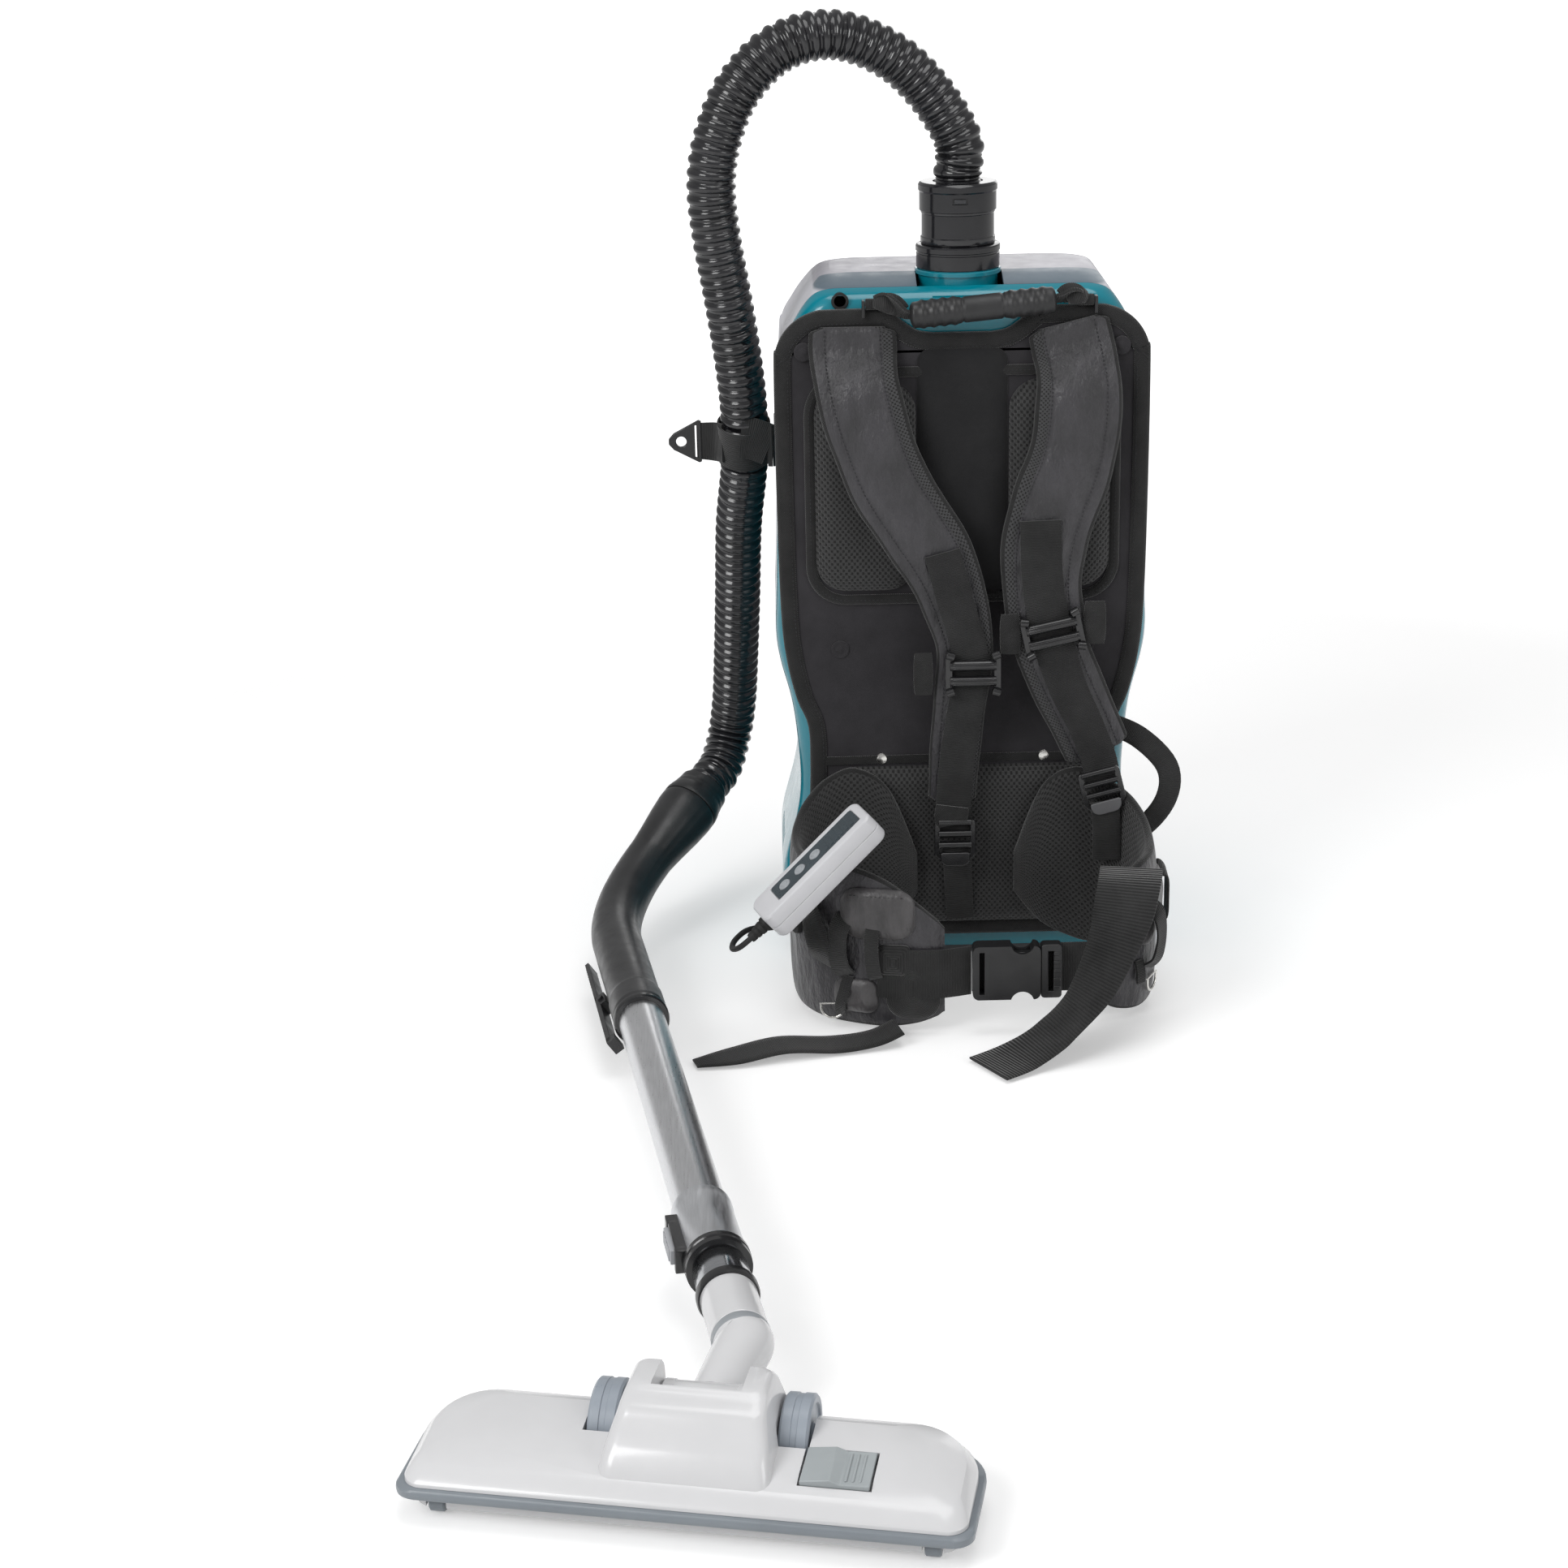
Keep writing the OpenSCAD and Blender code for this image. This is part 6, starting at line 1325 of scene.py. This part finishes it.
male += [block((58.8, by - 7.4, 36 + 7 * i), (64.2, by - 6, 39 + 7 * i)) for i in range(5)]
edged(placed("belt_buckle_clip", joined(male), "belt_buckle_male", buckle_mat, 35,
             ["belt_buckle_male"]), 0.6)
ribbon("belt_webbing_right", [(60, -251, 51, 40), (72, -251, 51, 40), (82, -251, 51, 40),
                              (91.3, -251, 51, 40)], outward, "belt_buckle_male", webbing_mat, 1.6)
ribbon("belt_webbing_turn", [(-3, -252.5, 51, 37), (2, -250, 51, 37), (7, -249.6, 51, 37),
                             (10, -251, 51, 37)], outward, "pack", webbing_mat, 1.4)
ribbon("belt_webbing_turn_right", [(52, -250.8, 51, 36), (56, -249.6, 51, 36),
                                   (60, -249.6, 51, 36), (63, -250.8, 51, 36)], outward,
       "belt_buckle_male", webbing_mat, 1.4)

# ---------------------------------------------------------------------------
# D-rings: bent nickel wire hanging from a webbing tab at the foot of each hip pad.
for name, centre, turn in (("left", (-110, -245, 19), 0), ("right", (140.2, -215.5, 24), 62)):
    a = np.linspace(0, math.pi, 25)
    bow = np.column_stack([9 * np.cos(a), np.zeros(25), -9 * np.sin(a)])
    bow = np.vstack([[9, 0, 3], [9, 0, 1.5], bow, [-9, 0, 1.5], [-9, 0, 3]])
    c, s = math.cos(math.radians(turn)), math.sin(math.radians(turn))
    spin = np.array([[c, s, 0], [-s, c, 0], [0, 0, 1]])
    skinned(f"d_ring_{name}", carried(bow @ spin + centre, 1.0 * ring(14), spin[1]), "pack",
            steel_mat, 60, replaces=["d_rings"] if turn == 0 else ())
    bar = solid(carried(np.array([[-10.4, 0, 3], [0, 0, 3], [10.4, 0, 3]]) @ spin + centre,
                        0.72 * ring(14), spin[1]))
    placed(f"d_ring_bar_{name}", bar, "pack", steel_mat, 60)

# ---------------------------------------------------------------------------
# Wired remote: light grey two-part case clipped to the left hip pad, with a dark
# keypad, three round buttons, a metal slot in its end and a tapered cable relief.
to_remote = (Matrix.Translation(Vector((-119, -262, 139)) * MM)
             @ Matrix.Rotation(math.radians(17.5), 4, "Z") @ Matrix.Rotation(math.radians(-40.8),
                                                                             4, "Y")
             @ Matrix.Rotation(math.radians(1.2 - 90), 4, "X"))


def sent(mesh, matrix):
    """Moves a mesh made in its own frame into place."""
    mesh.transform(matrix)
    return mesh


def point(matrix, p):
    """A point in millimetres carried by a matrix in metres."""
    return np.array(matrix @ (Vector(p) * MM)) * 1000


def way(matrix, p):
    """A direction carried by a matrix."""
    return np.array(matrix.to_3x3() @ Vector(p))


def turned_on(name, profile, matrix, centre, axis, body, mat, n=64, sharp=30, replaces=()):
    """A profile turned about an axis that is given in a matrix's own frame."""
    return turned(name, profile, point(matrix, centre), way(matrix, axis), body, mat, n, sharp,
                  replaces)


case_rows = []
for y, d in ((-12, 2.6), (-11.4, 1.0), (-10, 0.1), (-3, 0), (-0.5, 0), (-0.3, 0.6), (0.3, 0.6),
             (0.5, 0), (9, 0.2), (11.2, 1.2), (12, 3)):
    q = round_rect(-56 + d, 56 - d, -18 + d, 18 - d, 7.5, 7.5, 6)
    q = np.clip(q, (-56 + d, -18 + d), (56 - d, 18 - d))
    case_rows.append(on_board(q, y))
case_mesh = carved(solid(case_rows),
                   block((-37, -13, -11), (49, -11.1, 11)),
                   block((53.8, -5, -6), (58, 1, 6)))
remote_mat = moulded_plastic("remote_light_grey", (0.6, 0.6, 0.62), 0.34, 0.00004, 1100, 0.03)
edged(placed("remote_case", sent(case_mesh, to_remote), "pack", remote_mat, 32, ["remote_case"]),
      0.5)
edged(placed("remote_end_slot", sent(carved(block((52.6, -5, -6), (55.4, 1, 6)),
                                            block((54, -3.6, -4.6), (58, -0.4, 4.6))), to_remote),
             "pack", steel_mat, 35), 0.3)
turned_on("remote_relief", [(3.0, -73), (3.4, -73.4), (3.9, -72), (4.1, -69.4), (3.8, -69),
                            (3.8, -68.2), (4.4, -67.8), (4.7, -65.2), (4.3, -64.8), (4.3, -64),
                            (5.0, -63.6), (5.4, -60.6), (5.0, -60.2), (5.0, -59.4), (6.0, -58.8),
                            (6.2, -55.4), (3.0, -55.4)], to_remote, (0, 0, 0), (1, 0, 0), "pack",
          rubber_mat, 32)
button_x = (-26, -10, 6)
keypad_line = round_rect(-36.6, 48.6, -10.6, 10.6, 3, 3, 5)
keypad = solid([on_board(keypad_line, y) for y in (-12.1, -11.2)])
for x in button_x:
    keypad = carved(keypad, rod((x, -14, 0), (x, -10, 0), 5.35, 32))
keypad = joined([keypad] + [block((14 + 5.2 * i, -12.35, -8), (17.4 + 5.2 * i, -12.05, 8))
                            for i in range(6)])
keypad_mat = moulded_plastic("keypad_blue_black", (0.03, 0.045, 0.055), 0.28, 0.00003, 1500, 0.2)
edged(placed("remote_keypad", sent(keypad, to_remote), "pack", keypad_mat, 35, ["remote_keypad"]),
      0.2)
button_mat = moulded_plastic("button_grey", (0.33, 0.35, 0.37), 0.36, 0.00004, 1500, 0.06)
for body, x in zip(("power_button", "speed_button", "mode_button"), button_x):
    turned_on(body, [(0.05, 10.6), (5.0, 10.6), (5.0, 12.2), (4.5, 12.8), (3.3, 12.9), (3.0, 12.5),
                     (2.4, 12.5), (2.0, 12.9), (0.05, 12.9)], to_remote, (x, 0, 0), outward, body,
              button_mat, 36, 35, [body])
clip = [block((-2, 11, 8), (26, 17, 12)), block((-2, 14.6, 8), (26, 17, 19.8)),
        block((-2, 11.4, 17.6), (26, 17, 19.8))]
edged(placed("remote_clip", sent(joined(clip), to_remote), "pack", remote_mat, 35), 0.4)
gland_axis = -np.array([math.cos(math.radians(24)), math.sin(math.radians(24)), 0])
turned("cable_gland", [(2.4, -1), (8, -1), (8.2, 0), (7.6, 2.6), (5.0, 3), (4.4, 4.4), (4.4, 6.4),
                       (3.8, 6.6), (3.8, 7.6), (4.2, 7.9), (4.1, 9.8), (3.6, 10), (3.6, 11),
                       (3.9, 11.3), (3.7, 14), (2.4, 14.4)], (-136.2, -209.2, 75), gland_axis,
       "pack", rubber_mat, 32, replaces=["cable_gland"])

# ---------------------------------------------------------------------------
# Wand grip: bent hollow grip in semi-gloss black with a side seam, a socket ring at
# the tube and a bell for the hose cuff. Suction slider and lock lever sit on it.
to_wand = Matrix.Translation((-0.259, -0.284, 0.04)) @ Matrix.Rotation(math.radians(-80.56), 4,
                                                                       "Z")
to_grip = to_wand @ Matrix.Rotation(math.radians(-55.3), 4, "X")
to_bell = to_grip @ Matrix.Translation((-0.2419, 0, 0.0536)) @ Matrix.Rotation(math.radians(-40),
                                                                               4, "Y")
arc = np.radians(np.linspace(0, 50, 40))
axis_line = np.vstack([np.column_stack([np.linspace(22, -123, 80), np.zeros(80), np.zeros(80)]),
                       np.column_stack([-127 - 150 * np.sin(arc), 0 * arc,
                                        150 - 150 * np.cos(arc)])])
up = np.array([-math.sin(math.radians(40)), 0, math.cos(math.radians(40))])
axis_line = np.vstack([axis_line, np.array([-241.9, 0, 53.6]) + np.linspace(1.5, 58, 32)[:, None]
                       * up])
along = arc_length(axis_line)
bell_h = along - (along[-1] - 58)
radius = np.full(len(along), 19.9)
radius = np.where(along < 32, 20.9, radius)
radius = np.where((along > 31.2) & (along < 33.4), 20.1, radius)
radius = np.where(along < 2, 20.3, radius)
radius = np.where(bell_h > -2, np.interp(bell_h, (-2, 14, 34, 50, 58),
                                         (19.9, 21.4, 23.9, 25.3, 25.3)), radius)
radius = np.where(bell_h > 56.8, 24.6, radius)
palm = np.clip((along - 60) / 30, 0, 1) * np.clip((250 - along) / 30, 0, 1)
a = np.linspace(0, 2 * math.pi, 72, endpoint=False)
seam_mark = -0.5 * np.exp(-((np.abs(np.cos(a)) - 1) / 0.0016) ** 2)
swell = 0.35 * palm[:, None] * (1 - np.abs(np.cos(a))[None] ** 3)
r_out = np.minimum(radius[:, None] + seam_mark + swell, 25.4)
in_slot = (bell_h > 20) & (bell_h < 50)
slot = (np.cos(a) < 0) & (np.abs(r_out * np.sin(a)) < 7) & in_slot[:, None]
r_out = np.where(slot, np.minimum(r_out, 23.1 / np.maximum(np.abs(np.cos(a)), 0.5)), r_out)
inner = np.where(bell_h > 10, np.interp(bell_h, (10, 40, 58), (16, 22.4, 23.2)), 16.0)
flat_ring = np.stack([np.cos(a), np.sin(a)], -1)
outer_skin = carried(axis_line, r_out[..., None] * flat_ring, (0, 1, 0))
inner_skin = carried(axis_line, inner[:, None, None] * flat_ring, (0, 1, 0))
grip_grid = np.concatenate([outer_skin, inner_skin[::-1]])
turn3 = np.array(to_grip.to_3x3())
grip_world = grip_grid @ turn3.T + np.array(to_grip.translation) * 1000
grip_mat = moulded_plastic("grip_semi_gloss_black", (0.02, 0.02, 0.021), 0.34, 0.00008, 1000, 0.2,
                           0.5)
skinned("wand_grip_shell", grip_world, "pack", grip_mat, 40, loop=True, caps=False,
        replaces=["wand_grip"])
turned_on("grip_cuff", [(19.4, 58.5), (25.0, 58.5), (25.3, 59.3), (25.2, 62), (24.3, 66.4),
                        (23.2, 70), (22.8, 71), (22.9, 72.4), (22.2, 75), (21.9, 76), (22, 77.4),
                        (21.6, 82), (19.4, 82)], to_bell, (0, 0, 0), (0, 0, 1), "grip_cuff",
          grip_mat, 72, replaces=["grip_cuff"])
slide = [block((-26.6, -5.6, 25), (-23.3, 5.6, 37))]
slide += [block((-27.2, -4.6, 26.4 + 2.4 * i), (-26.4, 4.6, 27.5 + 2.4 * i)) for i in range(4)]
edged(placed("suction_slider", sent(joined(slide), to_bell), "suction_slider", buckle_mat, 35,
             ["suction_slider"]), 0.4)
lever = [block((-118, -6, -30), (-44, 6, -26.5)), block((-50, -6, -30), (-34, 6, -21)),
         block((-38, -6, -30), (34, 6, -26)), block((28, -6, -30), (36, 6, -22)),
         rod((-42, -8, -25), (-42, 8, -25), 2.6, 20)]
lever += [block((-112 + 5 * i, -5, -30.6), (-109.6 + 5 * i, 5, -29.8)) for i in range(8)]
edged(placed("lock_lever", sent(joined(lever), to_grip), "lock_lever", grip_mat, 35,
             ["lock_lever"]), 1.0, 3)

# ---------------------------------------------------------------------------
# Telescopic tube: two drawn aluminium tubes joined by a plastic sleeve, which holds
# a faceted locking button. A chromed ferrule ends the inner tube.


def tube(name, profile, body, mat, replaces=()):
    """A profile of (radius, x) turned about the wand's axis."""
    return turned_on(name, profile, to_wand, (0, 0, 0), (1, 0, 0), body, mat, 80, 30, replaces)


tube_mat = brushed_metal("tube_aluminium", (0.7, 0.705, 0.72), 0.3, (700, 20, 700), 0.000001)
collar_dark = moulded_plastic("sleeve_black_ring", (0.015, 0.015, 0.016), 0.18, 0.00002, 1000, 0.2,
                              0.62)
sleeve_mat = brushed_metal("sleeve_silver", (0.7, 0.71, 0.73), 0.36, (600, 30, 600), 0.000001)
button_light = moulded_plastic("button_light_grey", (0.42, 0.43, 0.45), 0.32, 0.00004, 1000, 0.04)
white_mat = moulded_plastic("nozzle_white_gloss", (0.66, 0.66, 0.67), 0.2, 0.00002, 700, 0.015,
                            0.5, 0.3)
slate_mat = moulded_plastic("nozzle_blue_grey", (0.215, 0.24, 0.265), 0.34, 0.00004, 1000, 0.05)
wheel_mat = moulded_plastic("wheel_pale_blue_grey", (0.30, 0.335, 0.38), 0.34, 0.00004, 1000, 0.05)
pedal_mat = moulded_plastic("pedal_grey", (0.36, 0.39, 0.40), 0.36, 0.00004, 1000, 0.05)
seam_mat = moulded_plastic("neck_seam_grey", (0.3, 0.32, 0.34), 0.4, 0.00004, 1000, 0.05)
tube("outer_tube", [(16.7, -13.5), (17.5, -13.5), (17.5, 364.5), (16.7, 364.5)], "pack", tube_mat,
     ["outer_tube"])
tube("tube_black_seat", [(17.6, 22.4), (20.6, 22.4), (21.2, 23.4), (21.2, 27), (20.4, 28.6),
                         (17.6, 29)], "pack", collar_dark)
tube("tube_sleeve", [(17.55, 338), (19.6, 338), (20.2, 338.8), (20.2, 346), (19.8, 347),
                     (19.8, 400), (20.2, 401), (20.2, 404), (17.55, 404)], "pack", sleeve_mat,
     ["tube_sleeve"])
tube("tube_sleeve_collar", [(16.3, 404.2), (21.0, 404.2), (21.6, 405), (21.6, 409), (20.8, 409.8),
                            (20.8, 411), (21.4, 411.6), (21.2, 415.4), (16.3, 416)], "pack",
     collar_dark)
seat = [block((352, -26, -8), (361.8, -16, 8)), block((396.2, -26, -8), (402, -16, 8)),
        block((361, -25.4, 5.7), (397, -16, 8)), block((361, -25.4, -8), (397, -16, -5.7)),
        block((361, -19, -6), (397, -16, 6))]
edged(placed("button_seat", sent(joined(seat), to_wand), "pack", collar_dark, 35), 0.8)
button = [block((363, -28.2, -5), (395, -23.6, 5))]
button += [block((366 + 3.4 * i, -29, -4.4), (367.6 + 3.4 * i, -28, 4.4)) for i in range(8)]
edged(placed("telescopic_button", sent(joined(button), to_wand), "telescopic_button", button_light,
             35, ["telescopic_button"]), 0.5)
tube("inner_tube", [(15.1, 60), (15.9, 60), (15.9, 446), (15.1, 446)], "inner_tube", tube_mat,
     ["inner_tube"])
ferrule_mat = brushed_metal("ferrule_chromed", (0.42, 0.43, 0.45), 0.16, (200, 900, 200), 0.000004)
tube("tube_ferrule", [(15.95, 418), (17.2, 418), (17.6, 418.8), (17.6, 445.6), (15.95, 446)],
     "inner_tube", ferrule_mat)

# ---------------------------------------------------------------------------
# Neck: white elbow in two parts that turn on each other, with a grey ring at the
# tube; its barrel tips in the nozzle.
tube("neck_upper", [(13, 452), (17.8, 452), (18.0, 454), (18.0, 498.4), (17.6, 499), (13, 499)],
     "inner_tube", white_mat, ["neck_upper"])
tube("neck_upper_ring", [(16, 446.2), (19.4, 446.2), (19.9, 446.8), (19.9, 451.6), (19.2, 453.6),
                         (18.1, 454), (16, 454)], "inner_tube", collar_dark)
barrel_at = (32, 33)
to_nozzle = Matrix.Translation((-0.203, -0.885, 0)) @ Matrix.Rotation(math.radians(-11.2), 4, "Z")
elbow = point(to_wand, (510.5, 0, 0))
barrel_mid = point(to_nozzle, (0, *barrel_at))
tube("neck_lower_ring", [(14, 499.6), (17.9, 499.6), (18.3, 500.4), (18.3, 506.4), (17.9, 507),
                         (14, 507)], "neck", seam_mat, ["neck_lower"])
start = point(to_wand, (505, 0, 0))
bend_line = smooth([start, 0.75 * elbow + 0.25 * point(to_wand, (512, 0, 0)),
                    elbow + 0.35 * (barrel_mid - elbow), elbow + 0.8 * (barrel_mid - elbow)], 14)
fat = np.interp(np.linspace(0, 1, len(bend_line)), (0, 0.5, 1), (18.2, 17.2, 15.2))
skinned("neck_elbow", carried(bend_line, fat[:, None, None] * ring(64), (0, 0, 1)), "neck",
        white_mat, 40)
turned("neck_barrel", [(0.05, -25), (19.8, -25), (20.8, -24), (20.8, -19), (20.2, -18.4),
                       (20.2, 18.4), (20.8, 19), (20.8, 24), (19.8, 25), (0.05, 25)], barrel_mid,
       way(to_nozzle, (1, 0, 0)), "neck", white_mat, 72)

# ---------------------------------------------------------------------------
# Nozzle: glossy white shell with chamfered ends and a dome over the neck, on a
# blue-grey base with a soft bumper round it. The badge place is left bare.


def rim_row(side, front, back, z_front, z_back):
    """Rounded rectangle of the nozzle, sloping from z_front to z_back."""
    x, y0, y1 = 163 - side, -47 + front, 47 - back
    q = round_rect(-x, x, y0, y1, 12, min(34, (y1 - y0) * 0.6), 10)
    return np.column_stack([q, z_front + (z_back - z_front) * (q[:, 1] - y0) / (y1 - y0)])


shell_rows = [rim_row(4, 4, 4, 20.2, 20.2), rim_row(4, 4.4, 4.4, 22, 26),
              rim_row(4.8, 5.6, 5.2, 23.6, 29.4), rim_row(10, 14, 9, 29, 37),
              rim_row(12, 16, 10.4, 29.9, 37.7), rim_row(26, 30, 18, 34, 40)]
dome = []
for extra, front, back, z in smooth([[22, -36, 48, 20], [14, -26, 47, 40], [6, -10, 45, 54],
                                     [3, -4, 43.4, 59.4], [0, 6, 40, 63], [-4, 10, 38, 65.2],
                                     [-8, 14, 36, 66]], 3):
    q = round_rect(-40 - extra / 2, 40 + extra / 2, front, back, 8, 6, 8)
    dome.append(level(q, z))
wheel_x, axle, well_radius = 55, (30, 26), 28.5
wells = [rod((x - 10, *axle), (x + 10, *axle), well_radius, 64) for x in (-wheel_x, wheel_x)]
pedal_at, pedal_tilt = (84, -10, 34.5), 6
pocket = turned_about(block((84 - 20.8, -10 - 15.5, 26.5), (84 + 20.8, -10 + 15.5, 50)), pedal_at,
                      pedal_tilt, "X")
shell = carved(solid(shell_rows), ("UNION", solid(dome)), *wells, pocket,
               block((-26, 11, 33), (26, 60, 90)),
               rod((-26, *barrel_at), (26, *barrel_at), 21.4, 64))
shell.transform(to_nozzle)
edged(placed("nozzle_shell", shell, "nozzle", white_mat, 26, ["nozzle_shell"]), 1.4, 3, 24)
refinish(white_mat, "nozzle_base")
bumper_rows = []
for d, z in ((4.6, 14), (1.2, 14), (0.2, 15), (0, 17), (0.2, 19), (1.2, 20), (4.6, 20)):
    q = round_rect(-163 + d, 163 - d, -47 + d, 47 - d, 12, 34, 12)
    back = np.argmax(np.diff(q[:, 0]) * np.where(q[:-1, 1] > 0, -1, 0))
    dip = [(x, 47 - d - s) for x, s in ((36, 0), (27, 4), (-27, 4), (-36, 0))]
    q = np.insert(q, back + 1, dip, axis=0)
    bumper_rows.append(level(q, z))
skinned("nozzle_bumper", np.array(bumper_rows) @ np.array(to_nozzle.to_3x3()).T
        + np.array(to_nozzle.translation) * 1000, "nozzle", slate_mat, 40, loop=True, caps=False,
        replaces=["nozzle_bumper"])
for body, x in (("wheel_left", -wheel_x), ("wheel_right", wheel_x)):
    turned_on(body, [(2.2, -8.5), (9, -8.5), (10, -7.2), (20, -7.2), (21, -8.5), (24.6, -8.5),
                     (26, -7.2), (26, -2), (25.4, -1.6), (25.4, 1.6), (26, 2), (26, 7.2),
                     (24.6, 8.5), (21, 8.5), (20, 7.2), (10, 7.2), (9, 8.5), (2.2, 8.5)],
              to_nozzle, (x, *axle), (1, 0, 0), body, wheel_mat, 80, replaces=[body])
for x in (-140, 140):
    turned_on(f"front_roller_{'left' if x < 0 else 'right'}", [(1.2, -4.5), (5.2, -4.5), (6, -3.7),
                                                               (6, 3.7), (5.2, 4.5), (1.2, 4.5)],
              to_nozzle, (x, -32, 6), (1, 0, 0), "front_rollers", slate_mat, 36,
              replaces=["front_rollers"] if x < 0 else ())
rocker = np.array([(-19.5, -2), (19.5, -2), (19.5, 1.6), (3, 0.9), (-3, 3.4), (-19.5, 1.4)])
rocker = rocker + (pedal_at[0], pedal_at[2])
ends = [upright(rocker, y) for y in (5, -25)]
pads = [block((89 + 4 * i, -22, 35.4), (90.6 + 4 * i, 2, 36.6)) for i in range(3)]
pedal = turned_about(joined([solid(ends)] + pads), pedal_at, pedal_tilt, "X")
edged(placed("brush_pedal", sent(pedal, to_nozzle), "brush_pedal", pedal_mat, 20, ["brush_pedal"]),
      0.9, 3, 14)


def tufts(name, rows, body, mat, replaces):
    """Bristles: for each strip (length, y, thick), tapering four-sided hairs in a
    jittered grid, each leaning by up to 0.8 mm."""
    draw = np.random.default_rng(5)
    foot = np.concatenate([np.column_stack([g.ravel()
                                            for g in np.meshgrid(np.linspace(-w / 2 + 0.5,
                                                                             w / 2 - 0.5,
                                                                             int(w / 1.1)),
                                                                 np.linspace(y - t / 2 + 0.5,
                                                                             y + t / 2 - 0.5, 4))])
                           for w, y, t in rows])
    foot = foot + draw.uniform(-0.3, 0.3, foot.shape)
    lean = draw.uniform(-0.8, 0.8, foot.shape) * (1, 0.5)
    square = np.array([(-1, -1), (1, -1), (1, 1), (-1, 1)])
    top = np.dstack([foot[:, None, :] + 0.34 * square, np.full((len(foot), 4), 15.4)])
    low = np.dstack([(foot + lean)[:, None, :] + 0.2 * square, np.full((len(foot), 4), 4.6)])
    v = np.concatenate([low, top], 1)
    faces = [(3, 2, 1, 0), (4, 5, 6, 7), (0, 1, 5, 4), (1, 2, 6, 5), (2, 3, 7, 6), (3, 0, 4, 7)]
    faces = (np.arange(len(foot))[:, None, None] * 8 + np.array(faces)).reshape(-1, 4).tolist()
    mesh = sent(mesh_of(name, v, faces), to_nozzle)
    return placed(name, mesh, body, mat, 30, replaces)


tufts("brush_strips", [(250, -26, 4), (72, 12, 4)], "brush_strips",
      moulded_plastic("bristle_black", (0.02, 0.02, 0.02), 0.5, 0.0001, 1500, 0.4),
      ["brush_strips"])
